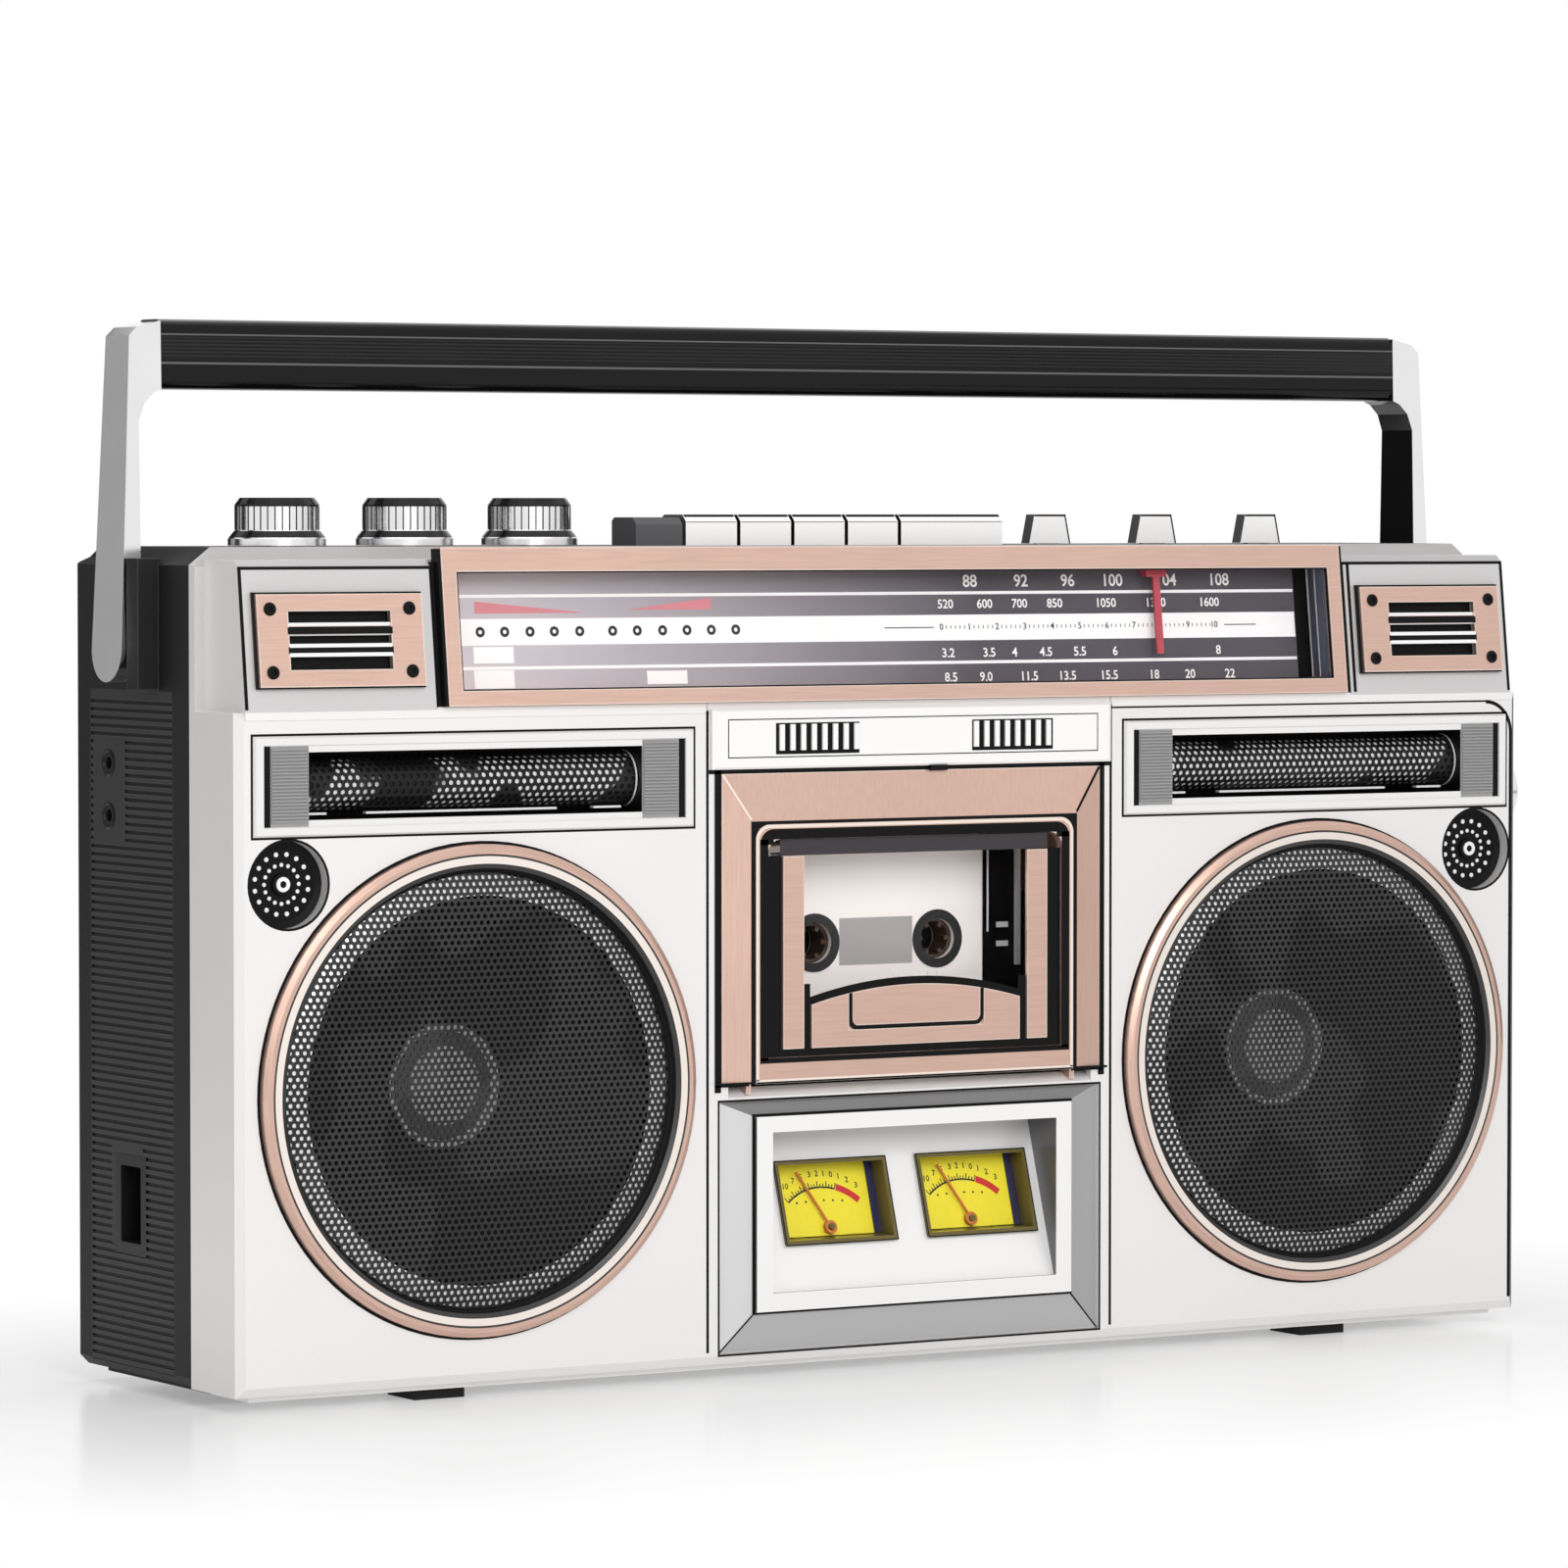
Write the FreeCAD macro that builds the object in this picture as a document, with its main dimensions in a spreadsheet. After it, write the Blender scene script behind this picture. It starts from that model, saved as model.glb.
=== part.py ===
"""A stereo radio and cassette recorder with a folding carrying handle.

Frame: +X to the right as seen from the front, -Y towards the front, +Z up. The origin is
under the middle of the object, on the surface that its rubber feet stand on.

Two helpers turn plain figures into places: back(d) is a depth behind the front face, and
up(h) is a height above the lower edge of that face.
"""
import FreeCAD, Part
import os
import re
import Sketcher
from FreeCAD import Rotation, Vector

DOC = FreeCAD.newDocument("RadioRecorder")

# Every size that drives the model, in millimetres or degrees.
SIZES = {
    # cabinet
    "face_width": 435.0,
    "face_height": 184.3,
    "face_bevel": 2.3,
    "depth": 100.0,
    "front_depth": 29.1,
    "top_height": 232.2,
    "wall": 2.5,
    "shell_drop": 2.7,
    "plinth_height": 4.5,
    "plinth_inset": 6.0,
    "foot_height": 3.0,
    "foot_size": 16.0,
    "foot_spread": 152.5,
    "foot_setback": 8.0,
    "corner_cut": 6.5,
    "corner_drop": 5.0,
    "rim_depth": 3.5,
    "rear_chamfer": 4.5,
    "groove": 0.8,
    "seam": 0.1,
    # sloping upper front: corner blocks and tuner
    "lean": 6.8,
    "slope_sill": 2.7,
    "block_setback": 0.3,
    "pad_border": 4.0,
    "block_outer": 217.0,
    "block_drop": 3.5,
    "block_bevel": 2.2,
    "tuner_gap": 2.3,
    "tuner_sill": 0.6,
    "tuner_lip": 0.2,
    "tuner_proud": 2.0,
    "dial_width": 299.2,
    "dial_border": 4.7,
    "dial_under": 4.3,
    "dial_over": 6.8,
    "dial_depth": 9.0,
    "sheet_metal": 1.0,
    "pointer_x": 91.5,
    "pointer_width": 2.4,
    "plate_share": 0.6163,
    "plate_drop": 1.4,
    "plate_inside": 4.6,
    "plate_outside": 4.0,
    "plate_thick": 1.5,
    "lamp_share": 0.6304,
    "lamp_inside": 9.8,
    "lamp_outside": 9.2,
    "lamp_bar": 1.8,
    # speakers
    "speaker_x": 143.7,
    "speaker_height": 79.6,
    "ring_radius": 69.35,
    "ring_proud": 3.0,
    "ring_bore": 62.6,
    "speaker_hole": 65.0,
    "grille_thick": 0.8,
    "basket_flange": 68.0,
    "basket_bore": 57.0,
    "basket_depth": 28.0,
    "cone_neck": 15.5,
    "cone_depth": 21.0,
    "magnet_radius": 30.0,
    "magnet_length": 14.0,
    # horns and microphones
    "horn_inner": 74.0,
    "horn_outer": 215.0,
    "horn_low": 152.2,
    "horn_high": 180.2,
    "horn_frame": 3.0,
    "horn_block": 14.0,
    "horn_depth": 18.0,
    "horn_radius": 8.0,
    "mic_x": 203.9,
    "mic_height": 139.0,
    "mic_radius": 12.3,
    "mic_depth": 4.5,
    # title strip
    "strip_width": 137.2,
    "strip_low": 168.3,
    "strip_high": 185.6,
    "strip_proud": 1.9,
    "strip_ribs": 8,
    "strip_rib_width": 1.6,
    "strip_rib_pitch": 3.6,
    "strip_rib_start": 20.6,
    # cassette door
    "bezel_width": 130.0,
    "bezel_low": 77.8,
    "bezel_high": 167.0,
    "bezel_proud": 2.2,
    "bezel_edge": 0.7,
    "door_width": 109.2,
    "door_high": 152.3,
    "door_proud": 2.4,
    "door_thick": 3.0,
    "door_gap": 0.35,
    "door_corner": 4.5,
    "holder_side": 0.6,
    "holder_rise": 44.0,
    "pane_width": 101.4,
    "pane_low": 85.1,
    "pane_high": 148.0,
    "pane_thick": 2.0,
    "bar_inner": 38.4,
    "bar_outer": 45.4,
    "bar_low": 87.5,
    "bar_high": 143.0,
    "arch_width": 71.6,
    "arch_shoulder": 100.0,
    "arch_rise": 4.9,
    "thumb_width": 46.4,
    "thumb_low": 92.3,
    "well_depth": 33.0,
    "well_wall": 1.5,
    "hinge_depth": 5.0,
    "hinge_height": 80.0,
    "hinge_pin": 1.5,
    "run_fit": 0.05,
    # compact cassette and its transport
    "tape_width": 100.4,
    "tape_height": 63.8,
    "tape_thick": 12.0,
    "tape_shift": -2.0,
    "tape_top": 145.0,
    "tape_setback": 17.0,
    "trapeze": 1.4,
    "hub_pitch": 42.5,
    "hub_drop": 28.5,
    "hub_bore": 5.0,
    "hub_wall": 0.7,
    "hub_length": 8.0,
    "tooth_reach": 1.5,
    "tooth_length": 3.0,
    "tooth_width": 1.2,
    "pack_left": 20.0,
    "pack_right": 15.0,
    "pack_width": 6.3,
    "spindle_radius": 2.9,
    "spindle_reach": 3.0,
    "turntable_radius": 9.0,
    "axle_radius": 1.5,
    "post_x": 66.0,
    "post_radius": 3.0,
    "deck_low": 62.0,
    "deck_high": 158.0,
    "deck_thick": 1.6,
    "capstan_radius": 1.25,
    "capstan_x": 26.5,
    "capstan_height": 91.5,
    "flywheel_radius": 22.0,
    "flywheel_width": 5.0,
    "motor_x": -38.0,
    "motor_height": 95.0,
    "motor_radius": 14.0,
    "motor_length": 16.0,
    "pulley_radius": 4.0,
    "belt_gap": 0.3,
    "belt_thick": 1.2,
    "bridge_width": 60.0,
    "head_width": 13.0,
    "head_height": 11.0,
    "roller_radius": 5.5,
    "roller_width": 7.0,
    # meter panel
    "panel_width": 130.6,
    "panel_low": 0.4,
    "panel_high": 72.7,
    "panel_edge": 1.0,
    "panel_rise": 0.9,
    "frame_proud": 2.3,
    "frame_width": 108.4,
    "frame_low": 12.0,
    "frame_high": 68.3,
    "recess_width": 97.7,
    "recess_low": 17.2,
    "recess_high": 63.7,
    "recess_deep": 14.0,
    "recess_shallow": -0.7,
    "meter_left": -22.3,
    "meter_pitch": 48.6,
    "meter_width": 38.0,
    "meter_low": 30.2,
    "meter_high": 54.0,
    "meter_proud": 1.2,
    "meter_depth": 12.0,
    "needle_length": 19.0,
    "needle_rest": 28.0,
    "needle_pin": 1.0,
    "needle_thick": 0.6,
    "needle_foot": 4.0,
    "needle_behind": 6.0,
    # controls on the top
    "control_depth": 44.0,
    "knob_left": -184.5,
    "knob_pitch": 40.8,
    "knob_radius": 11.9,
    "knob_skirt": 13.95,
    "knob_height": 13.7,
    "shaft_radius": 3.0,
    "key_gap": 1.2,
    "key_pitch": 18.5,
    "key_left": -55.2,
    "key_wide": 35.7,
    "key_record": 15.6,
    "key_depth": 14.0,
    "key_height": 9.0,
    "stem_width": 8.0,
    "stem_thick": 2.0,
    "stem_length": 20.0,
    "shelf_drop": 16.0,
    "lever_left": 75.4,
    "lever_pitch": 38.6,
    "lever_foot": 14.8,
    "lever_crown": 11.2,
    "lever_thick": 4.5,
    "lever_height": 9.0,
    "lever_travel": 4.0,
    "slot_clear": 0.3,
    "lift": 0.3,
    "tuning_radius": 11.0,
    "tuning_depth": 16.0,
    "tuning_height": 156.0,
    "tuning_proud": 4.5,
    "tuning_shaft": 7.0,
    # handle
    "handle_depth": 65.0,
    "pivot_drop": 28.6,
    "pivot_radius": 4.0,
    "arm_inner": 221.3,
    "arm_top": 224.0,
    "arm_splay": 4.0,
    "arm_foot": 9.6,
    "arm_crown": 7.3,
    "grip_length": 428.0,
    "grip_clear": 44.3,
    "grip_tall": 19.8,
    "shoulder_drop": 4.8,
    "grip_depth": 15.0,
    "grip_round": 3.5,
    "stop_reach": 6.5,
    "stop_depth": 7.0,
    "stop_low": 192.0,
    "stop_drop": 3.2,
    # rear
    "board_depth": 58.0,
    "board_thick": 1.6,
    "board_width": 310.0,
    "board_drop": 18.2,
    "board_tall": 50.0,
    "coil_left": -140.0,
    "coil_width": 44.0,
    "coil_reach": 24.0,
    "coil_low": 5.0,
    "coil_tall": 37.0,
    "sink_left": -76.0,
    "sink_width": 30.0,
    "sink_base": 3.0,
    "sink_reach": 18.0,
    "sink_low": 8.0,
    "fin_pitch": 7.0,
    "fin_thick": 2.0,
    "can_left": -20.0,
    "can_pitch": 24.0,
    "can_radius": 6.0,
    "can_reach": 16.0,
    "can_height": 22.0,
    "bay_width": 250.0,
    "bay_low": 10.0,
    "bay_high": 80.0,
    "bay_gap": 4.9,
    "cover_lap": 2.2,
    "cover_round": 1.2,
    "cover_pin": 0.9,
    "rib_pitch": 2.3,
    "rib_depth": 0.6,
    "ribs_low": -1.0,
    "ribs_high": 192.0,
    "ribs_front": 39.5,
    "ribs_margin": 8.0,
    "rebate": 9.5,
    "mast_x": 198.0,
    "mast_length": 160.0,
    "mast_radius": 3.0,
    "tip_radius": 2.2,
    "tip_cap": 6.0,
    "jack_depth": 80.0,
    "jack_high": 170.7,
    "jack_low": 155.7,
    "jack_bore": 1.8,
    "jack_body": 5.0,
    "jack_length": 14.0,
    "jack_ring": 3.8,
    "jack_panel": 20.0,
    "jack_border": 7.4,
    "inlet_depth": 66.8,
    "inlet_height": 45.8,
    "inlet_wide": 12.6,
    "inlet_tall": 21.8,
    "inlet_border": 3.4,
    "inlet_reach": 12.0,
    "inlet_pin": 1.15,
    "pin_spread": 4.3,
    "pin_reach": 6.5,
}

# Sizes that follow from others, as formulas of the sheet.
DERIVED = {
    # sloping upper front
    "slope_start": "face_height + slope_sill",
    "block_top": "top_height - block_drop",
    "tuner_bottom": "slope_start + tuner_sill",
    "tuner_top": "top_height - tuner_lip",
    "tuner_width": "dial_width + 2 * dial_border",
    "block_inner": "tuner_width / 2 + tuner_gap",
    "dial_bottom": "tuner_bottom + dial_under",
    "dial_top": "tuner_top - dial_over",
    # copper plates and lamp windows in the middle of the corner blocks
    "plate_tall": "plate_share * (block_top - slope_start)",
    "plate_low": "(slope_start + block_top - plate_tall) / 2 - plate_drop",
    "plate_high": "plate_low + plate_tall",
    "plate_inner": "block_inner + plate_inside",
    "plate_outer": "block_outer - plate_outside",
    "lamp_tall": "lamp_share * plate_tall",
    "lamp_low": "(plate_low + plate_high - lamp_tall) / 2",
    "lamp_high": "lamp_low + lamp_tall",
    "lamp_inner": "plate_inner + lamp_inside",
    "lamp_outer": "plate_outer - lamp_outside",
    # handle
    "pivot_height": "top_height - pivot_drop",
    "grip_low": "top_height + grip_clear",
    "grip_high": "grip_low + grip_tall",
    "arm_shoulder": "grip_high - shoulder_drop",
    "stop_high": "top_height - stop_drop",
    # rear and inside
    "board_high": "top_height - board_drop",
    "board_low": "board_high - board_tall",
    "flywheel_back": "well_depth + deck_thick + motor_length + 1 + flywheel_width",
    "bay_depth": "depth - flywheel_back - bay_gap - wall",
    "ribs_rear": "depth - ribs_margin",
}

ALIASES = {*SIZES, *DERIVED}
NODES = []


# ---------------------------------------------------------------- helpers
def make_sheet():
    """Put every size into a spreadsheet under its own alias, the derived ones as formulas."""
    sheet = DOC.addObject("Spreadsheet::Sheet", "Sizes")
    cells = {alias: str(value) for alias, value in SIZES.items()}
    cells.update({alias: f"={formula}" for alias, formula in DERIVED.items()})
    for row, (alias, content) in enumerate(cells.items(), start=1):
        sheet.set(f"A{row}", alias)
        sheet.set(f"B{row}", content)
        sheet.setAlias(f"B{row}", alias)
    DOC.recompute()
    return sheet


def named(text):
    """Turn the plain size names in an expression into references to the sheet."""
    return re.sub(r"[a-z][a-z_]*", lambda m: "Sizes." + m[0] if m[0] in ALIASES else m[0], str(text))


def bind(item, prop, text):
    item.setExpression(prop, named(text))


def back(depth):
    """Y of a depth behind the front face."""
    return f"((ring_proud - depth) / 2 + ({depth}))"


def up(height):
    """Z of a height above the lower edge of the front face."""
    return f"(foot_height + plinth_height + ({height}))"


def slope(depth, height):
    """Y of a depth behind the sloping upper front, at a height."""
    return back(f"({depth}) + (({height}) - slope_start) * tan(lean)")


def side_span(side, inner, outer):
    """Low and high X of a piece that lies from inner to outer on one side of the middle."""
    if side > 0:
        return (f"({inner})", f"({outer})")
    return (f"-({outer})", f"-({inner})")


def centred(width, middle="0"):
    return (f"({middle}) - ({width}) / 2", f"({middle}) + ({width}) / 2")


def box(x, y, z, name="Block"):
    """A block from its low and high expressions along each axis."""
    item = DOC.addObject("Part::Box", name)
    for axis, prop, (low, high) in zip("xyz", ("Length", "Width", "Height"), (x, y, z)):
        bind(item, prop, f"({high}) - ({low})")
        bind(item, f"Placement.Base.{axis}", low)
    return item


def taper(x, z, x_far, z_far, y, name="Taper"):
    """A block whose front and rear rectangles differ, as a bevelled plate has."""
    item = DOC.addObject("Part::Wedge", name)
    pairs = {"X": x, "Z": z, "X2": x_far, "Z2": z_far, "Y": y}
    for prop, (low, high) in pairs.items():
        bind(item, prop + "min", low)
        bind(item, prop + "max", high)
    return item


TURNS = {
    "x": Rotation(Vector(0, 1, 0), 90),
    "y": Rotation(Vector(1, 0, 0), -90),
    "z": Rotation(),
}


def place(item, axis, start, centre):
    """Stand an item along an axis, its foot at start and its line through centre."""
    item.Placement.Rotation = TURNS[axis]
    others = [other for other in "xyz" if other != axis]
    for other, value in zip(others, centre):
        bind(item, f"Placement.Base.{other}", value)
    bind(item, f"Placement.Base.{axis}", start)
    return item


def rod(axis, radius, span, centre, name="Rod"):
    item = DOC.addObject("Part::Cylinder", name)
    bind(item, "Radius", radius)
    bind(item, "Height", f"({span[1]}) - ({span[0]})")
    return place(item, axis, span[0], centre)


def draw(sketch, points):
    """Draw a closed outline whose corners are bound to the sheet."""
    count = len(points)
    for index in range(count):
        start = Vector(index, index * index, 0)
        end = Vector((index + 1) % count, ((index + 1) % count) ** 2, 0)
        sketch.addGeometry(Part.LineSegment(start, end))
    for index in range(count):
        sketch.addConstraint(Sketcher.Constraint("Coincident", index, 2, (index + 1) % count, 1))
    for index, corner in enumerate(points):
        for kind, value in zip(("DistanceX", "DistanceY"), corner):
            where = sketch.addConstraint(Sketcher.Constraint(kind, -1, 1, index, 1, 1.0))
            bind(sketch, f"Constraints[{where}]", value)


PLANES = {
    "x": Rotation(Vector(1, 1, 1), 120),
    "y": Rotation(Vector(1, 0, 0), 90),
    "z": Rotation(),
}


def prism(axis, points, span, name="Prism"):
    """A straight bar along an axis; its outline is given in the other two axes."""
    sketch = DOC.addObject("Sketcher::SketchObject", name + "Outline")
    sketch.Placement.Rotation = PLANES[axis]
    bind(sketch, f"Placement.Base.{axis}", span[0])
    draw(sketch, points)
    item = DOC.addObject("Part::Extrusion", name)
    item.Base = sketch
    item.DirMode = "Custom"
    item.Dir = {"x": Vector(1, 0, 0), "y": Vector(0, 1, 0), "z": Vector(0, 0, 1)}[axis]
    item.Solid = True
    bind(item, "LengthFwd", f"({span[1]}) - ({span[0]})")
    return item


def sloped(x, depth, height, name="Sloped"):
    """A block whose front and rear lie along the sloping upper front."""
    low, high = height
    outline = [(slope(depth[0], low), up(low)), (slope(depth[1], low), up(low)),
               (slope(depth[1], high), up(high)), (slope(depth[0], high), up(high))]
    return prism("x", outline, x, name)


def origin_plane(body, role):
    return next(item for item in body.Origin.OriginFeatures if item.Role == role)


def lathe(name, axis, points, centre, start):
    """A body turned about an axis: points are (radius, distance along the axis)."""
    body = DOC.addObject("PartDesign::Body", name)
    sketch = body.newObject("Sketcher::SketchObject", name + "Section")
    sketch.AttachmentSupport = [(origin_plane(body, "XZ_Plane"), "")]
    sketch.MapMode = "FlatFace"
    draw(sketch, points)
    turned = body.newObject("PartDesign::Revolution", name + "Turned")
    turned.Profile = sketch
    turned.ReferenceAxis = (sketch, ["V_Axis"])
    turned.Angle = 360
    body.Tip = turned
    return place(body, axis, start, centre)


def fuse(*parts, name="Joined"):
    item = DOC.addObject("Part::MultiFuse", name)
    item.Shapes = list(parts)
    item.Refine = True
    return item


def cut(base, *tools, name="Cut"):
    item = DOC.addObject("Part::Cut", name)
    item.Base = base
    item.Tool = tools[0] if len(tools) == 1 else fuse(*tools, name=name + "Tools")
    item.Refine = True
    return item


def common(first, second, name="Shared"):
    item = DOC.addObject("Part::Common", name)
    item.Base = first
    item.Tool = second
    return item


def group(*parts, name="Group"):
    item = DOC.addObject("Part::Compound", name)
    item.Links = list(parts)
    return item


def node(label, item):
    """Give a finished sub-part its name, which also names its file."""
    item.Label = label
    NODES.append(item)
    return item


# ---------------------------------------------------------------- cabinet
SIDES = (-1, 1)
FULL_HALF = "face_width / 2 + face_bevel"
SHELL_LOW = up("-shell_drop")
SHELL_TOP = up("top_height")
FRONT = back("0")
SPLIT = back("front_depth")
REAR = back("depth")
POST_HEIGHTS = ("deck_low + 26", "deck_high - 8")
COVER_HALF = "(bay_width / 2 + cover_lap)"
COVER_HINGE = "bay_low - cover_lap + cover_round"


def front_shell():
    """Silver front moulding: lower face, corner blocks, rim and every opening in them."""
    edge = (f"-({FULL_HALF})", FULL_HALF)
    face = centred("face_width")
    low, high = SHELL_LOW, up("face_height + face_bevel")
    bevel = taper(face, (up("0"), up("face_height")), edge, (low, high), (FRONT, back("face_bevel")))
    lower = box(edge, (back("face_bevel"), SPLIT), (low, high))
    corner = [(f"-({FULL_HALF})", SHELL_LOW), (FULL_HALF, SHELL_LOW),
              (FULL_HALF, up("top_height - corner_drop")), (f"{FULL_HALF} - corner_cut", SHELL_TOP),
              (f"-({FULL_HALF} - corner_cut)", SHELL_TOP),
              (f"-({FULL_HALF})", up("top_height - corner_drop"))]
    rim = prism("y", corner, (back("front_depth - rim_depth"), SPLIT), "Rim")
    block_low, block_high = "slope_start - wall", "block_top"
    blocks = prism("x", [
        (slope("block_setback", block_low), up(block_low)), (SPLIT, up(block_low)),
        (SPLIT, up(block_high)), (slope("block_setback + block_bevel", block_high), up(block_high)),
        (slope("block_setback", f"{block_high} - block_bevel"), up(f"{block_high} - block_bevel")),
    ], ("-block_outer", "block_outer"), "Blocks")
    sill = box(centred("2 * (block_outer - block_bevel)"), (back("face_bevel"), SPLIT),
               (up("face_height"), up("slope_start")))
    plinth = box(centred(f"2 * ({FULL_HALF} - plinth_inset)"), (back("plinth_inset"), SPLIT),
                 (up("-plinth_height"), up("0")))
    pads = [sloped(side_span(side, "lamp_inner - pad_border", "lamp_outer + pad_border"),
                   ("block_setback - 1", "block_setback + 1"),
                   ("lamp_low - pad_border / 2", "lamp_high + pad_border / 2")) for side in SIDES]
    solid = fuse(bevel, lower, rim, blocks, sill, plinth, *pads, name="FrontSolid")

    inside = f"{FULL_HALF} - wall"
    hollow = box((f"-({inside})", inside), (back("wall"), f"{SPLIT} + 1"),
                 (up("wall - shell_drop"), up("face_height + face_bevel - wall")))
    skin = "block_setback + 2 * wall"
    upper = prism("x", [
        (slope(skin, "face_height - wall"), up("face_height - wall")),
        (f"{SPLIT} + 1", up("face_height - wall")),
        (f"{SPLIT} + 1", up("block_top - wall")), (slope(skin, "block_top - wall"), up("block_top - wall")),
    ], ("wall - block_outer", "block_outer - wall"), "UpperHollow")
    tools = [hollow, upper]
    through = (back("-tuner_proud - 1"), back("front_depth / 2"))
    for side in SIDES:
        tools.append(rod("y", "speaker_hole", through, (f"{side} * speaker_x", up("speaker_height"))))
        tools.append(rod("y", "mic_radius", through, (f"{side} * mic_x", up("mic_height"))))
        tools.append(box(side_span(side, "horn_inner + horn_frame", "horn_outer - horn_frame"), through,
                         (up("horn_low + horn_frame"), up("horn_high - horn_frame"))))
        tools.append(sloped(side_span(side, "lamp_inner", "lamp_outer"), ("-3", "block_setback + 0.6"),
                            ("lamp_low", "lamp_high")))
        tools.append(box(centred("groove", f"{side} * (strip_width / 2 + groove)"),
                         (back("-1"), back("groove")), (up("face_bevel"), up("face_height + 5"))))
    tools.append(box(centred("bezel_width - 2 * wall"), through,
                     (up("panel_high"), up("bezel_high - wall"))))
    tools.append(box(centred("panel_width + 2 * seam"), through,
                     (up("panel_low - seam"), up("panel_high + seam"))))
    tools.append(sloped(centred("2 * block_inner"), ("-9", "wall"),
                        ("tuner_bottom - 2 * seam", "top_height + 2")))
    tools.append(sloped(centred("dial_width + 3.2"), ("0", "dial_depth + 3"),
                        ("dial_bottom - 1.6", "dial_top + 1.6")))
    tools.append(rod("x", "shaft_radius + run_fit", ("face_width / 2 - 10", f"{FULL_HALF} + 1"),
                     (back("tuning_depth"), up("tuning_height"))))
    shell = cut(solid, *tools, name="FrontCut")
    cups = []
    for side in SIDES:
        middle = (f"{side} * mic_x", up("mic_height"))
        cup = rod("y", "mic_radius + 1.6", (back("wall - 0.5"), back("mic_depth + 2")), middle)
        bore = rod("y", "mic_radius", (back("0"), back("mic_depth + 3")), middle)
        cups.append(cut(cup, bore))
    posts = [rod("y", "post_radius", (back("wall - 0.5"), back("well_depth")),
                 (f"{side} * post_x", up(height)))
             for side in SIDES for height in POST_HEIGHTS]
    return node("front_shell", fuse(shell, *cups, *posts, name="FrontShell"))


def rib_grooves():
    """Level grooves that leave fine ribs on both sides of the rear moulding."""
    slats = []
    for index in range(int((SIZES["ribs_high"] - SIZES["ribs_low"]) / SIZES["rib_pitch"])):
        low = f"ribs_low + {index} * rib_pitch"
        slats.append(box(centred(f"2 * ({FULL_HALF} + 1)"), (back("ribs_front"), back("ribs_rear")),
                         (up(low), up(f"{low} + rib_pitch / 2")), "RibGroove"))
    core = box(centred(f"2 * ({FULL_HALF} - rib_depth)"), (SPLIT, REAR), (SHELL_LOW, SHELL_TOP))
    left = (f"-({FULL_HALF} + 2)", "0")
    border = "inlet_border + rib_pitch"
    inlet = box(left,
                (back(f"inlet_depth - inlet_wide / 2 - {border}"),
                 back(f"inlet_depth + inlet_wide / 2 + {border}")),
                (up(f"inlet_height - inlet_tall / 2 - {border}"),
                 up(f"inlet_height + inlet_tall / 2 + {border}")))
    panel = box(left, (back("jack_depth - jack_panel / 2"), back("jack_depth + jack_panel / 2")),
                (up("jack_low - jack_border"), up("jack_high + jack_border")))
    return cut(group(*slats), core, inlet, panel, name="RibGrooves")


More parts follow.
